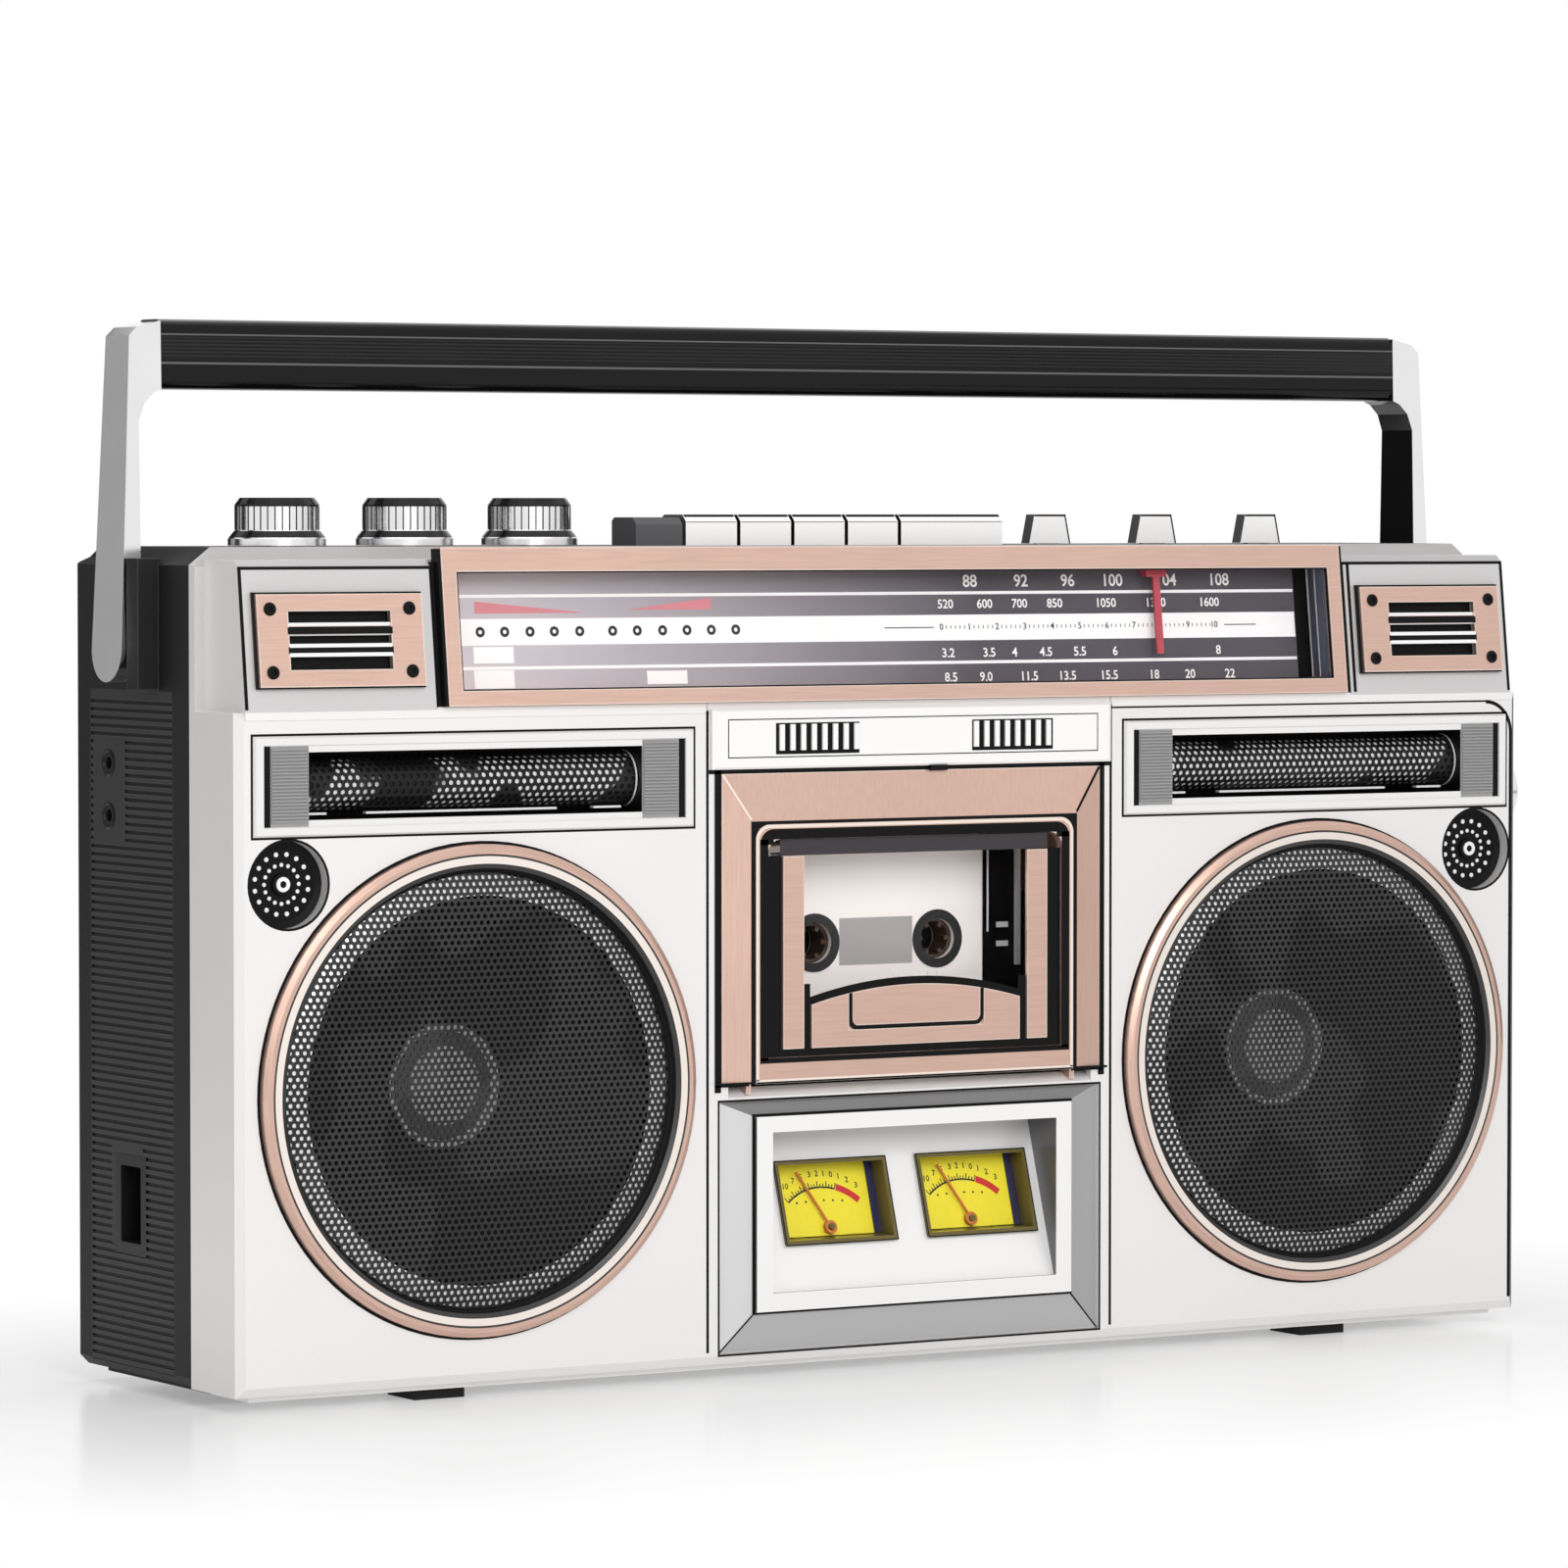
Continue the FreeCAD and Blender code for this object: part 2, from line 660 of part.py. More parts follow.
def rear_shell():
    """Black rear moulding with its plinth, control top, handle stops and battery bay."""
    top = SHELL_TOP
    chamfer = [(SPLIT, SHELL_LOW), (REAR, SHELL_LOW), (REAR, f"{top} - rear_chamfer"),
               (f"{REAR} - 2.2 * rear_chamfer", top), (SPLIT, top)]
    block = prism("x", chamfer, (f"-({FULL_HALF})", FULL_HALF), "RearBlock")
    outline = [(f"-({FULL_HALF} - shell_drop)", SHELL_LOW), (f"{FULL_HALF} - shell_drop", SHELL_LOW),
               (FULL_HALF, f"{SHELL_LOW} + shell_drop"), (FULL_HALF, f"{top} - corner_drop"),
               (f"{FULL_HALF} - corner_cut", top), (f"-({FULL_HALF} - corner_cut)", top),
               (f"-({FULL_HALF})", f"{top} - corner_drop"),
               (f"-({FULL_HALF})", f"{SHELL_LOW} + shell_drop")]
    body = common(block, prism("y", outline, (SPLIT, REAR), "RearSection"))
    plinth = box(centred(f"2 * ({FULL_HALF} - plinth_inset)"), (SPLIT, f"{REAR} - plinth_inset"),
                 (up("-plinth_height"), up("0")))
    inner_y = (f"{SPLIT} - 1", f"{REAR} - wall")
    hollow = box(centred(f"2 * ({FULL_HALF} - wall)"), inner_y,
                 (up("wall - shell_drop"), f"{top} - corner_drop - wall"))
    attic = box(centred(f"2 * ({FULL_HALF} - corner_cut - wall)"),
                (inner_y[0], f"{REAR} - rebate - 2 * wall"),
                (up("100"), f"{top} - wall"))
    bay = box(centred("bay_width + 2 * wall"), (back("depth - bay_depth - wall"), back("depth - wall / 2")),
              (up("bay_low - wall"), up("bay_high + wall")))
    rebate_low = f"{top} - rebate"
    shelf_wall = box(centred(f"2 * ({FULL_HALF} - wall)"),
                     (f"{REAR} - rebate - wall", f"{REAR} - wall / 2"),
                     (f"{rebate_low} - wall", f"{top} - wall / 2"))
    shelf_wall = common(shelf_wall, prism("x", chamfer, (f"-({FULL_HALF})", FULL_HALF), "RebateLimit"))
    shell = fuse(cut(fuse(body, plinth), hollow, attic), bay, shelf_wall)

    adds = [key_shelf()]
    for side in SIDES:
        reach = side_span(side, f"{FULL_HALF} - 1", f"{FULL_HALF} + stop_reach")
        stop_front = back("handle_depth - arm_foot - run_fit * 8 - stop_depth")
        stop_rear = back("handle_depth - arm_foot - run_fit * 8")
        adds.append(box(reach, (stop_front, stop_rear), (up("stop_low"), up("stop_high"))))
        adds.append(rod("x", "pivot_radius * 2", side_span(side, f"{FULL_HALF} - 1", "arm_inner - lift"),
                        (back("handle_depth"), up("pivot_height"))))
    adds += [rod("y", "post_radius", (back("board_depth + board_thick"), f"{REAR} - wall / 2"), corner)
             for corner in board_corners()]
    shell = fuse(shell, *adds, name="RearSolid")

    tools = [rib_grooves(),
             box(centred("bay_width"), (back("depth - bay_depth"), f"{REAR} + 1"),
                 (up("bay_low"), up("bay_high"))),
             box(centred("bay_width + 2 * (cover_lap + lift)"),
                 (back("depth - 2 * cover_round - lift"), f"{REAR} + 1"),
                 (up("bay_low - cover_lap - lift"), up("bay_high + cover_lap + lift"))),
             box(centred("2 * (mast_x + 8)"), (f"{REAR} - rebate", f"{REAR} + 1"),
                 (rebate_low, f"{top} + 1"))]
    for side in SIDES:
        tools.append(rod("x", "pivot_radius + run_fit", side_span(side, "arm_inner - 12", "arm_inner + 1"),
                         (back("handle_depth"), up("pivot_height"))))
        tools.append(rod("x", "cover_pin + run_fit", side_span(side, "bay_width / 2", f"{COVER_HALF} + 3"),
                         (back("depth - cover_round"), up(COVER_HINGE))))
    tools += key_openings()
    for index in range(3):
        knob_x = f"knob_left + {index} * knob_pitch"
        tools.append(rod("z", "shaft_radius + run_fit", (up("top_height - 2 * wall"), f"{top} + 1"),
                         (knob_x, back("control_depth"))))
        lever_x = f"lever_left + {index} * lever_pitch"
        tools.append(box(centred("stem_width + 2 * (lever_travel + slot_clear)", lever_x),
                         (back("control_depth - stem_thick / 2 - slot_clear"),
                          back("control_depth + stem_thick / 2 + slot_clear")),
                         (up("top_height - 2 * wall"), f"{top} + 1")))
    left_wall = (f"-({FULL_HALF}) - 1", f"-({FULL_HALF} - wall) + 1")
    tools.append(box(left_wall, (back("inlet_depth - inlet_wide / 2 - inlet_border"),
                                 back("inlet_depth + inlet_wide / 2 + inlet_border")),
                     (up("inlet_height - inlet_tall / 2 - inlet_border"),
                      up("inlet_height + inlet_tall / 2 + inlet_border"))))
    for height in ("jack_high", "jack_low"):
        tools.append(rod("x", "jack_ring", left_wall, (back("jack_depth"), up(height))))
    return node("rear_shell", fuse(cut(shell, *tools), mast_pin(), name="RearShell"))


def board_corners():
    """Centres of the four posts that carry the main board."""
    return [(f"{side} * (board_width / 2 - post_radius)", up(height))
            for side in SIDES for height in ("board_low + post_radius", "board_high - post_radius")]


def key_span(index):
    """Low and high X of a key: the record key is at the left, the wide key at the right."""
    start = f"key_left + {index - 1} * key_pitch"
    if index == 0:
        return (f"key_left - key_gap - key_record", "key_left - key_gap")
    if index == 5:
        return (start, f"{start} + key_wide")
    return (start, f"{start} + key_pitch - key_gap")


KEYS = ("record", "play", "rewind", "forward", "pause", "stop")
KEY_DEPTH = ("control_depth - key_depth / 2 - 1", "control_depth + key_depth / 2 - 1")


def key_middle(index):
    low, high = key_span(index)
    return f"(({low}) + ({high})) / 2"


def key_shelf():
    """Guide shelf under the keys, hung from the control top by its two ends."""
    low, high = key_span(0)[0], key_span(5)[1]
    reach = (f"{low} - 2 * wall", f"{high} + 2 * wall")
    depth = (back(f"{KEY_DEPTH[0]} - wall"), back(f"{KEY_DEPTH[1]} + wall"))
    shelf = box(reach, depth, (up("top_height - shelf_drop - wall"), up("top_height - shelf_drop")))
    ends = [box(span, depth, (up("top_height - shelf_drop - wall"), up("top_height - wall / 2")))
            for span in ((reach[0], f"{low} - wall"), (f"{high} + wall", reach[1]))]
    return fuse(shelf, *ends, name="KeyShelf")


def key_openings():
    """The well that the keys sit in and the slots that guide their stems."""
    low, high = key_span(0)[0], key_span(5)[1]
    tools = [box((f"{low} - slot_clear", f"{high} + slot_clear"),
                 (back(f"{KEY_DEPTH[0]} - slot_clear"), back(f"{KEY_DEPTH[1]} + slot_clear")),
                 (up("top_height - wall - 1"), f"{SHELL_TOP} + 1"))]
    for index in range(len(KEYS)):
        tools.append(box(centred("stem_width + 2 * slot_clear", key_middle(index)),
                         (back("control_depth - stem_thick / 2 - slot_clear"),
                          back("control_depth + stem_thick / 2 + slot_clear")),
                         (up("top_height - shelf_drop - 2 * wall"), up("top_height - shelf_drop + 1"))))
    return tools


def rubber_feet():
    feet = []
    for side in SIDES:
        for front in ("foot_setback", "depth - 10 - foot_size"):
            feet.append(box(centred("foot_size", f"{side} * foot_spread"),
                            (back(front), back(f"{front} + foot_size")), ("0", "foot_height")))
    return node("rubber_feet", group(*feet, name="RubberFeet"))


# ---------------------------------------------------------------- tuner and corner plates
def tuner_bezel():
    """Copper frame of the tuner, with the tray that holds the dial behind it."""
    frame = sloped(centred("tuner_width"), ("-tuner_proud", "wall"), ("tuner_bottom", "tuner_top"))
    window = sloped(centred("dial_width"), ("-tuner_proud - 1", "dial_depth + 3"),
                    ("dial_bottom", "dial_top"))
    tray = sloped(centred("dial_width + 2.4"), ("wall - 0.5", "dial_depth + 1"),
                  ("dial_bottom - 1.2", "dial_top + 1.2"))
    return node("tuner_bezel", cut(fuse(frame, tray), window, name="TunerBezel"))


def dial():
    """Clear window and printed scale of the tuner."""
    window = sloped(centred("dial_width - 0.2"), ("-tuner_proud + 1", "-tuner_proud + 1 + sheet_metal"),
                    ("dial_bottom + 0.1", "dial_top - 0.1"), "DialWindow")
    node("dial_window", window)
    plate = sloped(("0.1 - dial_width / 2", "dial_width / 2 - 6"),
                   ("dial_depth - sheet_metal", "dial_depth"),
                   ("dial_bottom + 0.1", "dial_top - 0.1"), "DialPlate")
    node("dial_plate", plate)


def dial_pointer():
    """Red pointer on a carriage that runs along the top of the scale."""
    blade = sloped(centred("pointer_width", "pointer_x"), ("dial_depth / 2", "dial_depth / 2 + 0.8"),
                   ("dial_bottom + 7.9", "dial_top - 0.6"))
    carriage = sloped(centred("3 * pointer_width", "pointer_x"),
                      ("dial_depth / 2", "dial_depth - sheet_metal - 0.1"),
                      ("dial_top - 2.6", "dial_top - 0.6"))
    node("dial_pointer", fuse(blade, carriage, name="DialPointer"))


def corner_plates():
    """Copper plates on the corner blocks, each with a barred window."""
    plates = []
    for side in SIDES:
        face = ("block_setback - plate_thick - 1", "block_setback - 1")
        plate = sloped(side_span(side, "plate_inner", "plate_outer"), face, ("plate_low", "plate_high"))
        window = sloped(side_span(side, "lamp_inner + 0.4", "lamp_outer - 0.4"), ("-9", "3"),
                        ("lamp_low", "lamp_high"))
        bars = [sloped(side_span(side, "lamp_inner", "lamp_outer"), face,
                       (f"lamp_low + {n} * lamp_tall / 3 - lamp_bar / 2",
                        f"lamp_low + {n} * lamp_tall / 3 + lamp_bar / 2"))
                for n in (1, 2)]
        plates.append(fuse(cut(plate, window), *bars))
    node("corner_plates", group(*plates, name="CornerPlates"))


def name_strip():
    """Silver strip above the cassette door, with two rows of raised ribs."""
    plate = taper(centred("strip_width - 2"), (up("strip_low + 0.6"), up("strip_high - 0.6")),
                  centred("strip_width"),
                  (up("strip_low"), up("strip_high")), (back("-strip_proud"), back("0.6 - strip_proud")))
    base = box(centred("strip_width"), (back("0.6 - strip_proud"), FRONT),
               (up("strip_low"), up("strip_high")))
    parts = [plate, base]
    for side in SIDES:
        for index in range(int(SIZES["strip_ribs"])):
            where = f"{side} * (strip_rib_start + {index} * strip_rib_pitch)"
            parts.append(box(centred("strip_rib_width", where),
                             (back("-strip_proud - 0.7"), back("-strip_proud + 0.5")),
                             (up("strip_low + 5.2"), up("strip_high - 4.6"))))
    node("name_strip", fuse(*parts, name="NameStrip"))


# ---------------------------------------------------------------- speakers
def speaker(side):
    """One loudspeaker: ring, perforated cap, basket with its magnet, and cone."""
    centre = (f"{side} * speaker_x", up("speaker_height"))
    lip = "ring_bore - 2"
    ring = lathe("SpeakerRing", "y", [
        ("ring_bore", "0.7 - ring_proud"), ("ring_bore + 1.2", "-ring_proud"),
        ("ring_radius - 1.5", "-ring_proud"),
        ("ring_radius", "1 - ring_proud"), ("ring_radius", "0"), ("speaker_hole - 0.1", "0"),
        ("speaker_hole - 0.1", "wall - 0.1"), (lip, "wall - 0.1"), (lip, "wall - 1.1"),
        ("ring_bore", "wall - 1.1"),
    ], centre, FRONT)
    cap = lathe("GrilleCap", "y", [
        ("0", "wall - 1.1 - 3 * grille_thick"), ("ring_bore * 0.6", "wall - 1.1 - 2.4 * grille_thick"),
        ("ring_bore - 0.1", "wall - 1.1 - grille_thick"), ("ring_bore - 0.1", "wall - 1.1"),
        ("ring_bore * 0.6", "wall - 1.1 - 1.4 * grille_thick"), ("0", "wall - 1.1 - 2 * grille_thick"),
    ], centre, FRONT)
    neck = "magnet_radius - 4"
    basket = lathe("Basket", "y", [
        ("basket_bore", "wall"), ("basket_flange", "wall"), ("basket_flange", "wall + 2"),
        ("basket_bore + 3", "wall + 2"), ("magnet_radius", "wall + basket_depth"),
        ("magnet_radius", "wall + basket_depth + magnet_length"),
        ("0", "wall + basket_depth + magnet_length"),
        ("0", "wall + basket_depth"), (neck, "wall + basket_depth"), ("basket_bore", "wall + 3.5"),
    ], centre, FRONT)
    rim = "basket_bore - 0.1"
    cone_body = lathe("SpeakerCone", "y", [
        (rim, "wall + 0.5"), (rim, "wall + 1.7"), ("basket_bore - 6", "wall + 1.7"),
        ("cone_neck", "wall + cone_depth"), ("cone_neck * 0.6", "wall + cone_depth - 2.2"),
        ("0", "wall + cone_depth - 3.2"),
        ("0", "wall + cone_depth - 4.4"), ("cone_neck * 0.6", "wall + cone_depth - 3.4"),
        ("cone_neck", "wall + cone_depth - 1.4"), ("basket_bore - 7", "wall + 0.6"),
        ("basket_bore - 3.5", "wall - 0.6"),
    ], centre, FRONT)
    return ring, cap, basket, cone_body


def speakers():
    left, right = speaker(-1), speaker(1)
    labels = ("speaker_rings", "speaker_grilles", "woofer_frames", "woofer_cones")
    for label, first, second in zip(labels, left, right):
        node(label, group(first, second, name=label.title().replace("_", "")))


def horns():
    """Tweeter horns: framed housing with ribbed end blocks, and a half round cap."""
    bezels, caps = [], []
    for side in SIDES:
        outer = taper(side_span(side, "horn_inner + 0.6", "horn_outer - 0.6"),
                      (up("horn_low + 0.6"), up("horn_high - 0.6")),
                      side_span(side, "horn_inner", "horn_outer"), (up("horn_low"), up("horn_high")),
                      (back("-1"), FRONT))
        frame = "(horn_frame + seam)"
        housing = box(side_span(side, f"horn_inner + {frame}", f"horn_outer - {frame}"),
                      (FRONT, back("horn_depth + 2")),
                      (up(f"horn_low + {frame}"), up(f"horn_high - {frame}")))
        middle = up("(horn_low + horn_high) / 2")
        mouth = box(side_span(side, f"horn_inner + {frame} + horn_block",
                              f"horn_outer - {frame} - horn_block"),
                    (back("-2"), back("horn_depth")), (up("horn_low + 4.6"), up("horn_high - 4.6")))
        ends = box(side_span(side, "horn_inner + horn_frame", "horn_outer - horn_frame"),
                   (back("-2"), back("-0.4")),
                   (up("horn_low + horn_frame - 0.4"), up("horn_high - horn_frame + 0.4")))
        bezels.append(cut(fuse(outer, housing), mouth, ends))
        span = side_span(side, f"horn_inner + {frame} + horn_block", f"horn_outer - {frame} - horn_block")
        tube = cut(rod("x", "horn_radius", span, (back("horn_radius + 2"), middle)),
                   rod("x", "horn_radius - grille_thick", span, (back("horn_radius + 2"), middle)))
        half = box(span, (back("1"), back("horn_radius + 3")),
                   (f"{middle} - horn_radius - 1", f"{middle} + horn_radius + 1"))
        caps.append(common(tube, half))
    node("horn_bezels", group(*bezels, name="HornBezels"))
    node("horn_grilles", group(*caps, name="HornGrilles"))


def mic_grilles():
    discs = []
    for side in SIDES:
        discs.append(lathe("MicGrille", "y", [
            ("0", "mic_depth - 1"), ("3", "mic_depth - 0.8"), ("3.2", "mic_depth"),
            ("mic_radius - 2", "mic_depth"),
            ("mic_radius - 0.1", "mic_depth - 0.6"), ("mic_radius - 0.1", "mic_depth + 1.2"),
            ("0", "mic_depth + 1.2"),
        ], (f"{side} * mic_x", up("mic_height")), FRONT))
    node("mic_grilles", group(*discs, name="MicGrilles"))


# ---------------------------------------------------------------- cassette door and well
TAPE = "tape_shift"
TAPE_LOW = "tape_top - tape_height"
HUB_HEIGHT = "tape_top - hub_drop"
TAPE_BACK = "tape_setback + tape_thick"
ROLLER_HEIGHT = "deck_low + 1.5 + roller_radius"


def door_bezel():
    """Copper surround of the door, its well and the two fixed hinge pins."""
    opening = "door_width + 2 * door_gap"
    high = "door_high + door_gap"
    face = taper(centred(f"{opening} + 0.2"), (up("bezel_low"), up(f"{high} + 0.1")),
                 centred("bezel_width"),
                 (up("bezel_low"), up("bezel_high")), (back("-bezel_proud"), back("-bezel_edge")))
    plate = box(centred("bezel_width"), (back("-bezel_edge"), FRONT), (up("bezel_low"), up("bezel_high")))
    well = box(centred(f"{opening} + 2 * well_wall"), (FRONT, back("well_depth")),
               (up("bezel_low - 2 * well_wall"), up(f"{high} + well_wall")))
    hole = box(centred(opening), (back("-9"), back("well_depth + 1")),
               (up("bezel_low - well_wall"), up(high)))
    mouth = box(centred(opening), (back("-9"), back("hinge_depth - 1")),
                (up("bezel_low - 9"), up("bezel_low")))
    shell = cut(fuse(face, plate, well), hole, mouth)
    pins = [rod("x", "hinge_pin", side_span(side, "door_width / 2 - 4", f"({opening}) / 2 + 0.5"),
                (back("hinge_depth"), up("hinge_height"))) for side in SIDES]
    node("door_bezel", fuse(shell, *pins, name="DoorBezel"))


def door_frame():
    """Rim of the door with its hinge eyes."""
    body = DOC.addObject("PartDesign::Body", "DoorRim")
    sketch = body.newObject("Sketcher::SketchObject", "DoorOutline")
    sketch.AttachmentSupport = [(origin_plane(body, "XZ_Plane"), "")]
    sketch.MapMode = "FlatFace"
    draw(sketch, [("-door_width / 2", "bezel_low"), ("door_width / 2", "bezel_low"),
                  ("door_width / 2", "door_high"), ("-door_width / 2", "door_high")])
    pad = body.newObject("PartDesign::Pad", "DoorPad")
    pad.Profile = sketch
    bind(pad, "Length", "door_thick")
    hole = body.newObject("Sketcher::SketchObject", "PaneOutline")
    hole.AttachmentSupport = [(origin_plane(body, "XZ_Plane"), "")]
    hole.MapMode = "FlatFace"
    draw(hole, [("-pane_width / 2", "pane_low"), ("pane_width / 2", "pane_low"),
                ("pane_width / 2", "pane_high"), ("-pane_width / 2", "pane_high")])
    pocket = body.newObject("PartDesign::Pocket", "PanePocket")
    pocket.Profile = hole
    pocket.Type = "ThroughAll"
    pocket.Midplane = True
    DOC.recompute()
    upright = [f"Edge{number}" for number, edge in enumerate(pocket.Shape.Edges, start=1)
               if edge.BoundBox.YLength > 1 and edge.BoundBox.ZMin > SIZES["pane_low"] + 10]
    rounded = body.newObject("PartDesign::Fillet", "DoorCorners")
    rounded.Base = (pocket, upright)
    bind(rounded, "Radius", "min(door_corner; (door_high - pane_high) * 1.1)")
    body.Tip = rounded
    bind(body, "Placement.Base.y", back("door_thick - door_proud"))
    bind(body, "Placement.Base.z", up("0"))
    parts = [body]
    bores = []
    for side in SIDES:
        lug = side_span(side, "door_width / 2 - 3.6", "door_width / 2 - 0.6")
        parts.append(box(lug, (back("door_thick - door_proud - 0.2"), back("hinge_depth")),
                         (up("bezel_low"), up("hinge_height + 2 * hinge_pin"))))
        parts.append(rod("x", "2 * hinge_pin - 0.8", lug, (back("hinge_depth"), up("hinge_height"))))
        bores.append(rod("x", "hinge_pin + run_fit",
                         side_span(side, "door_width / 2 - 5", "door_width / 2"),
                         (back("hinge_depth"), up("hinge_height"))))
    node("door_frame", cut(fuse(*parts), *bores, name="DoorFrame"))


def door_pane():
    """Clear pane of the door, and the copper strips and arched pull on its front."""
    front = "1 - door_proud"
    corner = "door_corner"
    pane = box(centred("pane_width - 0.2"), (back(front), back(f"{front} + pane_thick")),
               (up("pane_low + 0.1"), up(f"pane_high - {corner}")))
    crown = box(centred(f"pane_width - 0.2 - 2 * {corner}"), (back(front), back(f"{front} + pane_thick")),
                (up(f"pane_high - {corner} - 1"), up("pane_high - 0.1")))
    node("door_window", fuse(pane, crown, name="DoorWindow"))
    face = (back("-door_proud"), back(front))
    strips = [box(side_span(side, "bar_inner", "bar_outer"), face,
                  (up("bar_low"), up("bar_high"))) for side in SIDES]
    block = box(centred("arch_width"), face, (up("bar_low"), up("arch_shoulder + arch_rise")))
    radius = "((arch_width / 2) ^ 2 + arch_rise ^ 2) / (2 * arch_rise)"
    dome = rod("y", radius, (back("-door_proud - 1"), back(f"{front} + 1")),
               ("0", up(f"arch_shoulder + arch_rise - ({radius})")))
    arch = common(block, dome)
    ring = box(centred("thumb_width"), (back("-door_proud - 1"), back(f"{front} - 0.4")),
               (up("thumb_low"), up("arch_shoulder + arch_rise + 1")))
    island = box(centred("thumb_width - 2.4"), (back("-door_proud - 2"), back(f"{front}")),
                 (up("thumb_low + 1.2"), up("arch_shoulder + arch_rise + 2")))
    arch = cut(arch, cut(ring, island))
    node("door_trim", group(*strips, arch, name="DoorTrim"))


def cassette_holder():
    """Steel carrier that holds the cassette behind the door and swings with it."""
    width = "door_width - 2 * holder_side"
    thick = "sheet_metal"
    rear = f"{TAPE_BACK} + 1.2"
    front = "tape_setback - trapeze - 1"
    floor = box(centred(width), (back(f"{front} - {thick}"), back(f"{rear} + {thick}")),
                (up(f"{TAPE_LOW} - 0.2 - {thick}"), up(f"{TAPE_LOW} - 0.2")))
    arms = [box(side_span(side, f"({width}) / 2 - {thick}", f"({width}) / 2"),
                (back("door_thick - door_proud"), back(f"{rear} + {thick}")),
                (up("pane_low + holder_side"), up("pane_low + holder_rise"))) for side in SIDES]
    webs = [box(side_span(side, f"({width}) / 2 - {thick}", f"({width}) / 2"),
                (back(f"{front} - {thick}"), back(f"{rear} + {thick}")),
                (up(f"{TAPE_LOW} - 0.2 - {thick}"), up("pane_low + 1"))) for side in SIDES]
    lips = [box(centred(width), span, (up(f"{TAPE_LOW} - 0.2 - {thick}"), up(top)))
            for span, top in (((back(f"{front} - {thick}"), back(front)), f"{TAPE_LOW} + 8"),
                              ((back(rear), back(f"{rear} + {thick}")), f"{TAPE_LOW} + 2.6"))]
    node("cassette_holder", fuse(floor, *arms, *webs, *lips, name="CassetteHolder"))


def hub_x(side):
    return f"{TAPE} + {side} * hub_pitch / 2"


def cassette():
    """Compact cassette: shell, and two hubs with tape wound on them."""
    shell = box(centred("tape_width", TAPE), (back("tape_setback"), back(TAPE_BACK)),
                (up(TAPE_LOW), up("tape_top")))
    raised = prism("y", [(f"{TAPE} - 34", up(TAPE_LOW)), (f"{TAPE} + 34", up(TAPE_LOW)),
                         (f"{TAPE} + 31", up(f"{TAPE_LOW} + 16")),
                         (f"{TAPE} - 31", up(f"{TAPE_LOW} + 16"))],
                   (back("tape_setback - trapeze"), back("tape_setback + 1")), "CassetteTrapeze")
    cavity = box(centred("tape_width - 4", TAPE), (back("tape_setback + 1.6"), back(f"{TAPE_BACK} - 1.6")),
                 (up(f"{HUB_HEIGHT} - pack_left - 1.5"), up(f"{HUB_HEIGHT} + pack_left + 1.5")))
    window = box(centred("24", TAPE), (back("tape_setback - 1"), back("tape_setback + 2")),
                 (up(f"{HUB_HEIGHT} - 6.5"), up(f"{HUB_HEIGHT} + 6.5")))
    tools = [cavity, window]
    for side in SIDES:
        tools.append(rod("y", "hub_bore + 0.9", (back("tape_setback - 2"), back(f"{TAPE_BACK} + 1")),
                         (hub_x(side), up(HUB_HEIGHT))))
    node("cassette_shell", cut(fuse(shell, raised), *tools, name="CassetteShell"))
    for label, side, pack in (("tape_hub_left", -1, "pack_left"), ("tape_hub_right", 1, "pack_right")):
        centre = (hub_x(side), up(HUB_HEIGHT))
        middle = "tape_setback + tape_thick / 2"
        rim = "hub_bore + hub_wall"
        tip = "hub_bore + lift - tooth_reach"
        reel = lathe("TapeReel", "y", [
            ("hub_bore", "-hub_length / 2"), (rim, "-hub_length / 2"), (rim, "-pack_width / 2"),
            (pack, "-pack_width / 2"), (pack, "pack_width / 2"), (rim, "pack_width / 2"),
            (rim, "hub_length / 2"), ("hub_bore", "hub_length / 2"),
        ], centre, back(middle))
        teeth = []
        for index in range(6):
            tooth = DOC.addObject("Part::Box", "HubTooth")
            bind(tooth, "Length", "tooth_reach")
            bind(tooth, "Width", "tooth_length")
            bind(tooth, "Height", "tooth_width")
            turn = Rotation(Vector(0, 1, 0), 60 * index)
            offset = turn.multVec(Vector(0, 0, 1))
            tooth.Placement.Rotation = turn
            corner = turn.multVec(Vector(1, 0, 0))
            bind(tooth, "Placement.Base.x",
                 f"{centre[0]} + {corner.x:.6f} * ({tip}) - {offset.x:.6f} * tooth_width / 2")
            bind(tooth, "Placement.Base.y", back(f"{middle} - hub_length / 2"))
            bind(tooth, "Placement.Base.z",
                 f"{centre[1]} + {corner.z:.6f} * ({tip}) - {offset.z:.6f} * tooth_width / 2")
            teeth.append(tooth)
        node(label, fuse(reel, *teeth, name=label.title().replace("_", "")))


# ---------------------------------------------------------------- tape transport
BEARING_BACK = "well_depth + deck_thick + motor_length"
BELT_BACK = "flywheel_back - flywheel_width / 2"


